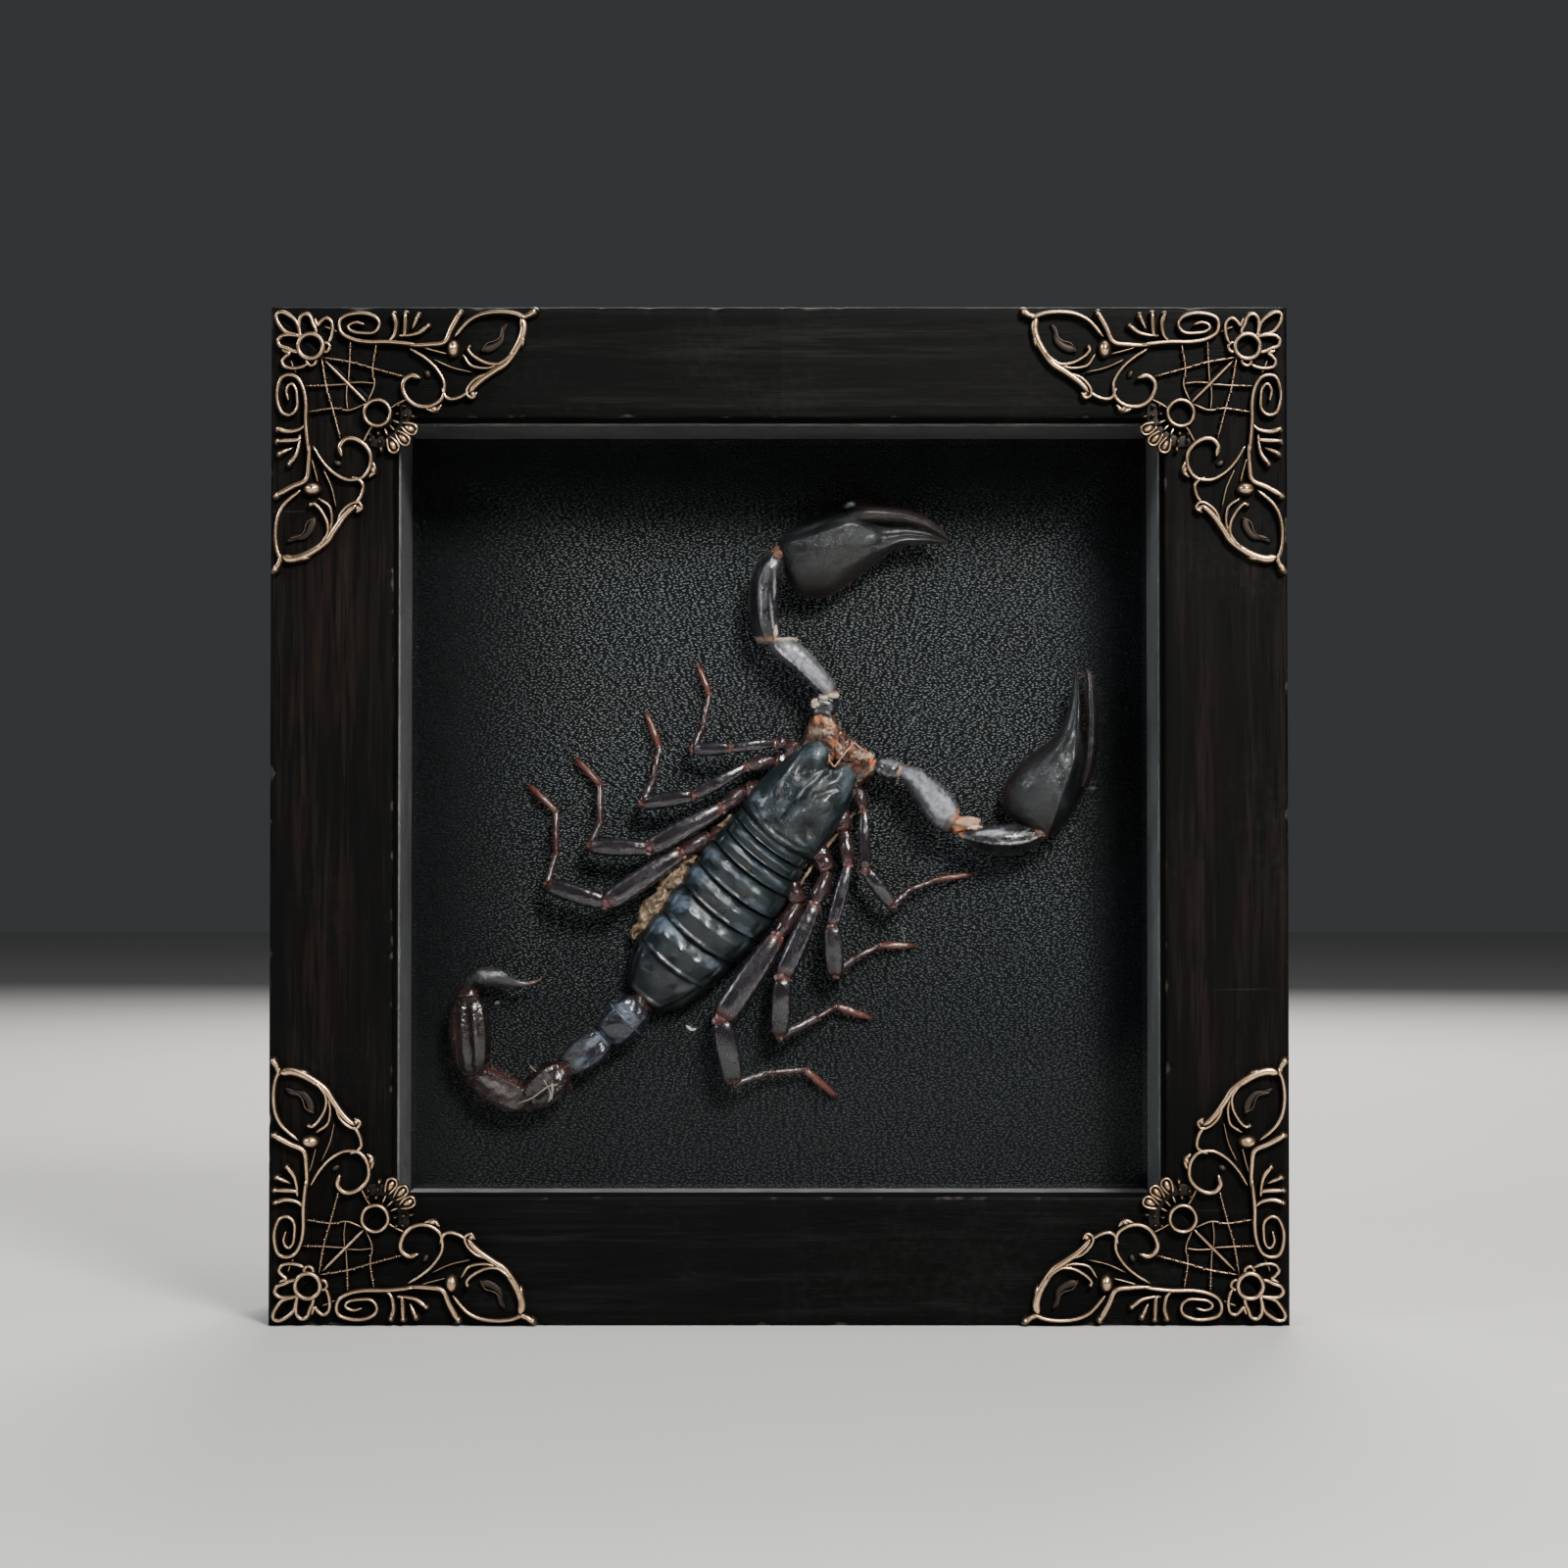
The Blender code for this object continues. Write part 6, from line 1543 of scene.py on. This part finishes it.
class SPECIMEN_OT_back(Operator):
    """Build the eight back plates and the soft skin along the sides."""

    bl_idname = "specimen.back"
    bl_label = "Back plates"

    def execute(self, context):
        for index, (front, rear) in enumerate(zip(PLATE_EDGES, PLATE_EDGES[1:]), start=1):
            skins = Skins()
            rings, shade = plate_rings(front, rear, index)
            skins.wrap(rings, shade=shade)
            skins.paint(pale=PLATE_HIGHLIGHTS)
            skins.piece(f"back_plate_{index}", ["back_shell"])
        sides = Skins()
        # The belly under the plates, darkened as painted shade.
        s = np.linspace(1, 35, 60)[:, None]
        angle = turns(40)
        reach = smooth_table(TRUNK_WIDTHS, s) - 0.7
        crown = smooth_table(TRUNK_CROWNS, s) - 1.7
        height = 2.8 + np.sin(angle) * np.where(np.sin(angle) > 0, crown - 2.8, 2.45)
        sides.wrap(on_animal(s, trunk_middle(s) + reach * np.cos(angle), height), shade=0.6)
        for index, (side, out, swell, first, last) in enumerate(SIDE_FOLDS):
            s = np.linspace(first, last, 170)
            share = shares(170)
            girth = 0.14 + swell * np.sin(math.pi * share) ** 0.7 * (0.85 + 0.15 * np.cos(6 * math.pi * share))
            t = trunk_middle(s) + side * (smooth_table(TRUNK_WIDTHS, s) + out)
            path = on_animal(s, t, 3 + 0.25 * np.sin(s * 1.4))
            crumpled(sides, np.column_stack((path, girth)), 0.42 if swell > 0.5 else 0.08, 40 + index, amber=0.14,
                     cream_and_crest_light=0.6, flat=0.7, size=1.5)
        sides.paint(pale=SIDE_CREAM)
        sides.piece("side_skin", ["side_skin"])
        return {"FINISHED"}


def trunk_middle(s):
    """How far the trunk's middle bends to the right of its axis."""
    return 0.6 * bell(s - 20, 8)


def over_and_under(top, under):
    """Angles over a plate and back below it, and which of them are below."""
    angle = np.concatenate((math.pi * np.arange(top) / top, math.pi + math.pi * np.arange(under) / under))
    return angle, np.sin(angle) < 0


def plate_rings(front, rear, index):
    """One back plate: tucked under the plate before it, swelling to a rear lip, its ends rounded.
    Gives its rings, and each point's painted shade: in the seams, below, at its ends and over the last plate."""
    length = front - rear
    last = index == len(PLATE_EDGES) - 1
    angle, below = over_and_under(104, 18)
    rings, shades = [], []
    for q in np.linspace(-0.3, 1, 50 if length > 3.5 else 36):
        s_mid = front - length * q
        inside = min(max(q, 0), 1)
        bulge = math.sin(math.pi * inside)
        width = smooth_table(TRUNK_WIDTHS, s_mid) * (1 - (0.015 if last else 0.05) * abs(2 * inside - 1) ** 5)
        crown = smooth_table(TRUNK_CROWNS, s_mid)
        rise = np.interp(q, *zip(*PLATE_RISE)) * min(1, 0.35 + length / 6)
        t = width * np.cos(angle)
        edge = np.abs(t) / width
        arch = np.maximum(1 - edge ** 2.9, 0) ** 0.56
        flank = 0.3 + (crown - 0.3) * 0.34
        height = flank + (crown + rise - flank) * arch
        height -= 0.3 * bell(edge - 0.8, 0.045) * bulge
        height -= 0.2 * bell(np.abs(t + 0.5) - 2.6, 0.9) * bell(q - 0.3, 0.14) * arch
        height += 0.16 * bell(t + 0.5, 1.1) * bulge
        height += 0.22 * bell(q - 0.42, 0.13) * arch * (0.6 + 0.4 * np.sin(t * 1.3 + index * 2.1))
        if last:
            height += 0.1 * bell(np.abs(t) - width * 0.66, 0.6) * min(inside * 1.6, 1)
            height -= 0.7 * bell(t - 0.3, 3.2) * bell(q - 0.45, 0.35)
        height = np.where(below, flank + np.sin(angle) * (flank - 0.3), height)
        lean = (0.35 if last else 0.85) * (1 - edge ** 2) - 0.35
        ring = on_animal(s_mid - lean, trunk_middle(s_mid) + t, height)
        ring[:, 2] += np.where(below, 0, 0.09 * ripple(ring, 3.4, 60 + index) + 0.014 * ripple(ring, 1, 70 + index))
        rings.append(ring)
        # Painted shade: in the seam under the plate before it, before the rear lip, below, at the ends, and over the
        # whole last plate.
        seam = max(1 - max(q, 0) / 0.16, 0) + 0.5 * bell(q - 0.9, 0.03) + 0.55 * last
        shades.append(np.where(below, 1, seam + 0.8 * edge ** 9))
    return np.array(rings), np.clip(shades, 0, 1)


class SPECIMEN_OT_legs(Operator):
    """Build the eight legs: seven segments each, red joint skins, spurs and claws."""

    bl_idname = "specimen.legs"
    bl_label = "Legs"

    def execute(self, context):
        for seed, (name, joints) in enumerate(LEG_JOINTS.items()):
            skins = Skins()
            add_leg(skins, name, np.array(joints), seed)
            skins.piece(f"leg_{name}", ["leg_shell"])
        return {"FINISHED"}


def add_leg(skins, name, joints, seed):
    """One leg from its hip under the body to its claws."""
    side = -1 if name.startswith("left") else 1
    widths = LEG_HALF_WIDTHS[name]
    hip_s = np.dot(joints[0][:2] - TAIL_ROOT, ALONG)
    root = on_animal(min(hip_s + 3.5, 46), side * 3.2, 2.4)
    segment(skins, root, joints[0], 1.7, 1.5, HIP_SHAPE, (0.2, 0.7, 0.2), boxy=2.3, seed=seed, rough=0.1)
    stout = max(widths) > 1.25
    for k, (shape, reds, flat, pale, stout_highlight) in enumerate(LEG_SHAPES):
        keeled = k in (1, 2)
        boxy, keels, bow = (2.35, THIGH_KEELS, 0.35) if keeled else (2.1, SHIN_KEELS, 0.1)
        segment(skins, joints[k], joints[k + 1], widths[k] * 1.06, widths[k] * flat, shape, reds, boxy=boxy,
                keels=keels, bow=bow, pale=stout_highlight if stout else pale, seed=seed * 10 + k, rough=0.04)
        if k:
            way = unit(joints[k + 1] - joints[k])
            turn = math.atan2(way[1], way[0])
            size = min(widths[k - 1], widths[k]) * 0.8
            pad(skins, joints[k], (size, size * 0.92, size * 0.9), turn, seed + k, 0.16, stain=0.8, pale=0.1)
            # One knob at each joint carries a painted highlight.
            for hand in (-1, 1):
                knob = joints[k] + level(way) * size * 0.85 * hand + way * 0.15 + UP * size * 0.3
                pad(skins, knob, (size * 0.42, size * 0.32, size * 0.36), turn, seed + k + 9, 0.2, stain=0.55,
                    pale=0.55 * (hand * side < 0))
    way = unit(joints[-1] - joints[-2])
    for hand in (-1, 1):
        across = level(way) * hand
        spike(skins, joints[-1] - way * 0.1, unit(way + across * 0.75), 1.25, 0.2, -across * 0.55 - UP * 0.3,
              stain=0.8, sides=8)
        spike(skins, joints[-2] - way * 0.2, unit(way * 0.6 + across), 0.9, 0.13, stain=0.7)


class SPECIMEN_OT_pincers(Operator):
    """Build both pincer arms: trochanter, femur, patella, hand and fingers."""

    bl_idname = "specimen.pincers"
    bl_label = "Pincer arms"

    def execute(self, context):
        for side, parts in ARMS.items():
            upper = Skins()
            add_arm(upper, parts)
            upper.paint(pale=ARM_HIGHLIGHTS[side], stain=ARM_AMBER[side], shade=ARM_SHADE[side])
            upper.piece(f"arm_{side}", ["arm_shell", "joint_skin"])
            lower = Skins()
            add_hand(lower, parts["hand"], parts["finger"], 1 if side == "left" else 0.1)
            lower.paint(pale=HAND_HIGHLIGHTS[side], shade=HAND_SHADE[side])
            lower.piece(f"pincer_{side}", ["claw_shell"], (f"scorpion_pincer_{side}",))
        return {"FINISHED"}


def add_arm(skins, parts):
    """Trochanter, femur and patella, with their toothed keels and the skins in their joints."""
    table = curve_through(parts["trochanter"])
    rings, ridge = tube(table[:, :3], table[:, 3], table[:, 3] * 0.92, sides=30, boxy=2.3, seed=3, rough=0.2,
                        keels=((60, 0.12, 9, 5), (120, 0.12, 9, 5)))
    # Painted highlight along the trochanter's keels.
    skins.wrap(rings, pale=ridge * 0.3)
    for name, peak, teeth, inner, fall, keel_highlight, broad in ARM_PARTS:
        rings, share, across = roofed(parts[name], ((0, 1), (peak, peak)), 72, 0.5, inner, fall)
        beads = 0.5 + 0.5 * np.cos(TAU * teeth * share)
        keel = bell(across - peak, 0.045) + 0.8 * bell(across - 0.93, 0.035) + 0.8 * bell(across - 0.07, 0.035)
        ends = np.sin(math.pi * share) ** 0.35
        rings[..., 2] += 0.22 * keel * (0.45 + 0.9 * beads) * ends
        toothed = bell(across, 0.06) if name == "femur" else bell(across - 1, 0.05)
        toothed = np.where(across < 0, 0, toothed)
        centre = rings.mean(axis=1, keepdims=True)
        rings[..., :2] += unit(rings - centre)[..., :2] * (0.36 * toothed * beads)[..., None]
        rings[..., 2] += np.where(across < 0, 0, 0.04 * ripple(rings, 1.2, 11) + 0.02 * ripple(rings, 0.6, 12))
        red = np.maximum(bell(share, 0.05), bell(1 - share, 0.05)) * 0.5
        lit = (keel_highlight * keel * beads + broad * bell(across - 0.55, 0.27)) * ends * (across > 0)
        skins.wrap(rings, stain=red, pale=lit)
    for x, z, height, size_x, size_z, size_h, stain, pale in parts["skins"]:
        pad(skins, (x, z, height), (size_x, size_z, size_h), 0, int(x + z), 0.2, slot=1, stain=stain, pale=pale)


def add_hand(skins, hand, finger, knob_highlight):
    """The swollen hand with its fixed finger, and the moving finger, with keels and teeth."""
    ridge_line = ((0, 0.45, 0.7, 1), (0.3, 0.27, 0.45, 0.5))
    rings, share, across = roofed(hand, ridge_line, 96, 0.62, 2.5, 1.55)
    fingered = np.clip((share - 0.52) / 0.14, 0, 1)
    palm = 1 - fingered
    top = np.where(across < 0, 0, 1)
    keel = bell(across - np.interp(share, *ridge_line), 0.035) * palm
    lines = sum(bell(across - offset, 0.055) for offset in (0.24, 0.5, 0.76)) * fingered
    rings[..., 2] += 0.2 * keel + 0.24 * lines
    rings[..., 2] -= 0.2 * bell(across - 0.62, 0.05) * np.clip((share - 0.3) / 0.2, 0, 1) * palm
    rings[..., 2] += top * (0.04 * ripple(rings, 0.75, 31) + 0.08 * ripple(rings, 2.6, 32))
    brown = 0.8 * bell(1 - share, 0.1) + 0.6 * bell(share, 0.05) + 0.5 * (across < 0)
    brown = brown + 0.5 * bell(across - 1, 0.22) * palm * top
    lit = top * (0.35 * keel + 0.3 * lines) * np.sin(math.pi * share)
    skins.wrap(rings, stain=np.clip(brown, 0, 1), pale=lit)
    rings, share, across = roofed(finger, ((0, 1), (0.42, 0.42)), 56, 0.6, 2.2, 1.8)
    lines = bell(across - 0.2, 0.06) + bell(across - 0.72, 0.06)
    rings[..., 2] += 0.15 * lines + np.where(across < 0, 0, 0.035 * ripple(rings, 0.8, 33))
    # The finger's lines carry a painted highlight.
    skins.wrap(rings, stain=0.6, pale=0.25 * lines * np.sin(math.pi * share))
    inner = curve_through([(x, z, (low + high) / 2) for _, _, x, z, low, high in finger[1:-1]], 5)
    for k, point in enumerate(inner[::2]):
        pad(skins, point, (0.22, 0.22, 0.26), seed=k, stain=0.6)
    # The knob at the moving finger's root carries a painted highlight.
    x, z, *_, high = finger[0]
    pad(skins, (x + 0.3, z, high + 0.2), (0.95, 0.5, 0.5), 0.2, 9, 0.25, stain=0.2, pale=knob_highlight)


class SPECIMEN_OT_tail(Operator):
    """Build the tail's five keeled segments and the sting."""

    bl_idname = "specimen.tail"
    bl_label = "Tail and sting"

    def execute(self, context):
        skins = Skins()
        joints = np.array(TAIL_JOINTS)
        for k, (half, shape, reds, keels, pale) in enumerate(TAIL_SEGMENTS):
            segment(skins, joints[k], joints[k + 1], half, half * 0.92, shape, reds, rows=60,
                    slot=0 if k < 2 else 1, sides=84, boxy=2.5, keels=keels, bow=0.25, seed=70 + k, rough=0.07,
                    pale=pale)
        # Pale bands round the first segment, painted highlights on its granular rims.
        span = joints[1] - joints[0]
        share = shares(7)
        for k in range(4):
            path = joints[0] + span * (0.06 + 0.12 * k) + unit(span) * 0.42 * share[:, None]
            reach = (2.55 + 0.3 * k) * (1 + 0.07 * np.sin(math.pi * share))
            rings, _ = tube(path, reach, reach * 0.95, sides=84, boxy=2.4, seed=90 + k, rough=0.12)
            skins.wrap(rings, pale=0.75 - 0.12 * k)
        for k, stain in enumerate((0.1, 0.9, 0.3, 0.5, 0.6), start=1):
            way = unit(joints[k] - joints[k - 1])
            pad(skins, joints[k], (1.35, 1.7, 1.5), math.atan2(way[1], way[0]), k, 0.12, slot=1, stain=stain)
        pad(skins, joints[0], (1.6, 2, 1.7), math.radians(-135), 12, 0.12, slot=1, stain=0.5)
        path = joints[5] + way * np.linspace(-0.35, 0.1, 6)[:, None]
        reach = np.array((1.2, 1.75, 1.9, 1.85, 1.5, 0.9))
        skins.wrap(tube(path, reach, reach * 0.8, sides=30, seed=5, rough=0.1)[0], 1, pale=0.6)
        table = curve_through(VESICLE, 9)
        rings, _ = tube(table[:, :3], table[:, 3] * 1.04, table[:, 3], sides=36, seed=98, rough=0.05)
        share = shares(len(rings))[:, None]
        skins.wrap(rings, 2, stain=np.clip((share - 0.7) / 0.25, 0, 1))
        skins.paint(pale=TAIL_HIGHLIGHTS, stain=TAIL_RED)
        looks = ["tail_front_shell", "tail_rear_shell", "sting_shell"]
        skins.piece("tail_and_sting", looks, ("scorpion_tail",))
        return {"FINISHED"}


class SPECIMEN_OT_hairs(Operator):
    """Grow the short bristles, and lay the stray fibres and the white speck on the panel."""

    bl_idname = "specimen.hairs"
    bl_label = "Bristles, fibres and speck"

    def execute(self, context):
        draw = np.random.default_rng(7)
        hairs = Skins()
        for name, joints in LEG_JOINTS.items():
            for k in range(1, 6):
                limb_hairs(hairs, draw, joints[k:k + 2], 11 if k > 2 else 7, LEG_HALF_WIDTHS[name][k] * 0.82,
                           (0, 1), (0.5, 0.7), (0.7, 0.25), 0.035, 0.3)
        for outline, count in [(parts[part], count) for parts in ARMS.values() for part, count in ARM_HAIRS]:
            table = curve_through(outline, 6)
            for _ in range(count):
                row = table[draw.integers(2, len(table) - 2)]
                place = row[0:2] if draw.random() < 0.5 else row[2:4]
                out = unit(place - (row[0:2] + row[2:4]) / 2)
                root = np.array((*(place - out * 0.15), row[4] + (row[5] - row[4]) * (0.35 + 0.3 * draw.random())))
                spike(hairs, root, unit(np.array((*out, 0.5 * draw.random()))), 0.6 + 0.9 * draw.random(), 0.035,
                      rows=4, sides=3, stain=0.4)
        for k, (half, *_) in enumerate(TAIL_SEGMENTS):
            limb_hairs(hairs, draw, TAIL_JOINTS[k:k + 2], 22, half * 0.92,
                       (0.1, 0.8), (0.7, 0.9), (0.4, 0.2), 0.04, 0.2)
        hairs.piece("bristles", ["bristle"])

        strays = Skins()
        for radius, points in STRAYS:
            path = curve_through(points)
            widths = np.full(len(path), radius)
            strays.wrap(tube(path, widths, widths, sides=6, seed=4, rough=radius * 0.3)[0])
        for place, half_sizes, turn, seed, rough, slot in SPECKS:
            pad(strays, place, half_sizes, turn, seed, rough, slot=slot)
        strays.piece("stray_fibres_and_speck", ["fibre", "speck"])
        return {"FINISHED"}


def limb_hairs(hairs, draw, joints, count, reach, spread, lengths, leans, radius, stain):
    """Bristles over the upper half of a limb segment. Pairs are a least value and how much chance adds,
    and how far a bristle leans and bends along the limb."""
    start, end = np.array(joints)
    way = unit(end - start)
    for _ in range(count):
        angle = math.pi * draw.random()
        out = level(way) * math.cos(angle) + UP * math.sin(angle)
        root = start + (end - start) * (spread[0] + spread[1] * draw.random()) + out * reach
        spike(hairs, root, unit(out + way * leans[0]), lengths[0] + lengths[1] * draw.random(), radius,
              way * leans[1], rows=4, sides=3, stain=stain)


class SPECIMEN_OT_stage(Operator):
    """Lay the floor, set the lights and aim the camera."""

    bl_idname = "specimen.stage"
    bl_label = "Floor, lights and camera"

    def execute(self, context):
        settings = context.scene.specimen_stage
        scene = context.scene
        mesh = bpy.data.meshes.new("floor")
        corners = ((-1, -1), (1, -1), (1, 1), (-1, 1))
        mesh.from_pydata([(x * FLOOR_HALF, y * FLOOR_HALF, 0) for x, y in corners], [], [(0, 1, 2, 3)])
        mesh.materials.append(floor_look(settings.floor))
        floor = bpy.data.objects.new("floor", mesh)
        scene.collection.objects.link(floor)

        world = bpy.data.worlds.new("studio")
        world.use_nodes = True
        background = world.node_tree.nodes["Background"].inputs
        background["Color"].default_value = (0.8, 0.83, 0.86, 1)
        background["Strength"].default_value = 0.05
        scene.world = world

        for name, place, size, power, colour in LIGHTS:
            data = bpy.data.lights.new(name, "AREA")
            data.shape = "DISK"
            data.size = size
            data.energy = power
            data.color = colour
            lamp = bpy.data.objects.new(name, data)
            lamp.location = place
            lamp.rotation_euler = look_at(place, LIGHT_AIM)
            scene.collection.objects.link(lamp)

        camera = bpy.data.cameras.new("camera")
        camera.lens = settings.lens
        camera.sensor_width = 36
        camera.clip_start = 0.01
        eye = bpy.data.objects.new("camera", camera)
        eye.location = (0.00077, -settings.distance, 0.0725)
        eye.rotation_euler = (math.radians(91.3), 0, 0)
        scene.collection.objects.link(eye)
        scene.camera = eye
        return {"FINISHED"}


def look_at(place, aim):
    """The rotation that points a light from a place to an aim."""
    x, y, z = np.subtract(aim, place)
    return (math.atan2(math.hypot(x, y), -z), 0, math.atan2(y, x) - math.pi / 2)


class SPECIMEN_PT_pieces(Panel):
    """Lists the settings and the steps."""

    bl_idname = "SPECIMEN_PT_pieces"
    bl_label = "Framed specimen"
    bl_space_type = "VIEW_3D"
    bl_region_type = "UI"
    bl_category = "Specimen"

    def draw(self, context):
        for holder in SETTINGS:
            box = self.layout.box()
            group = getattr(context.scene, holder)
            for key in group.__annotations__:
                box.prop(group, key)
        for step in STEPS:
            self.layout.operator(step.bl_idname)


SETTINGS = {
    "specimen_moulding": MouldingSettings,
    "specimen_box": BoxSettings,
    "specimen_filigree": FiligreeSettings,
    "specimen_animal": AnimalSettings,
    "specimen_stage": StageSettings,
}
STEPS = (
    SPECIMEN_OT_stage,
    SPECIMEN_OT_rails,
    SPECIMEN_OT_box,
    SPECIMEN_OT_corners,
    SPECIMEN_OT_head,
    SPECIMEN_OT_back,
    SPECIMEN_OT_legs,
    SPECIMEN_OT_pincers,
    SPECIMEN_OT_tail,
    SPECIMEN_OT_hairs,
)


def register():
    """Register the settings, the steps and the panel."""
    for holder, group in SETTINGS.items():
        bpy.utils.register_class(group)
        setattr(bpy.types.Scene, holder, bpy.props.PointerProperty(type=group))
    for item in STEPS + (SPECIMEN_PT_pieces,):
        bpy.utils.register_class(item)


def unregister():
    """Take them all away again."""
    for item in (SPECIMEN_PT_pieces,) + tuple(reversed(STEPS)):
        bpy.utils.unregister_class(item)
    for holder, group in SETTINGS.items():
        delattr(bpy.types.Scene, holder)
        bpy.utils.unregister_class(group)


def main():
    """Build every piece in order."""
    register()
    for step in STEPS:
        area, name = step.bl_idname.split(".")
        getattr(getattr(bpy.ops, area), name)()


if __name__ == "__main__":
    main()
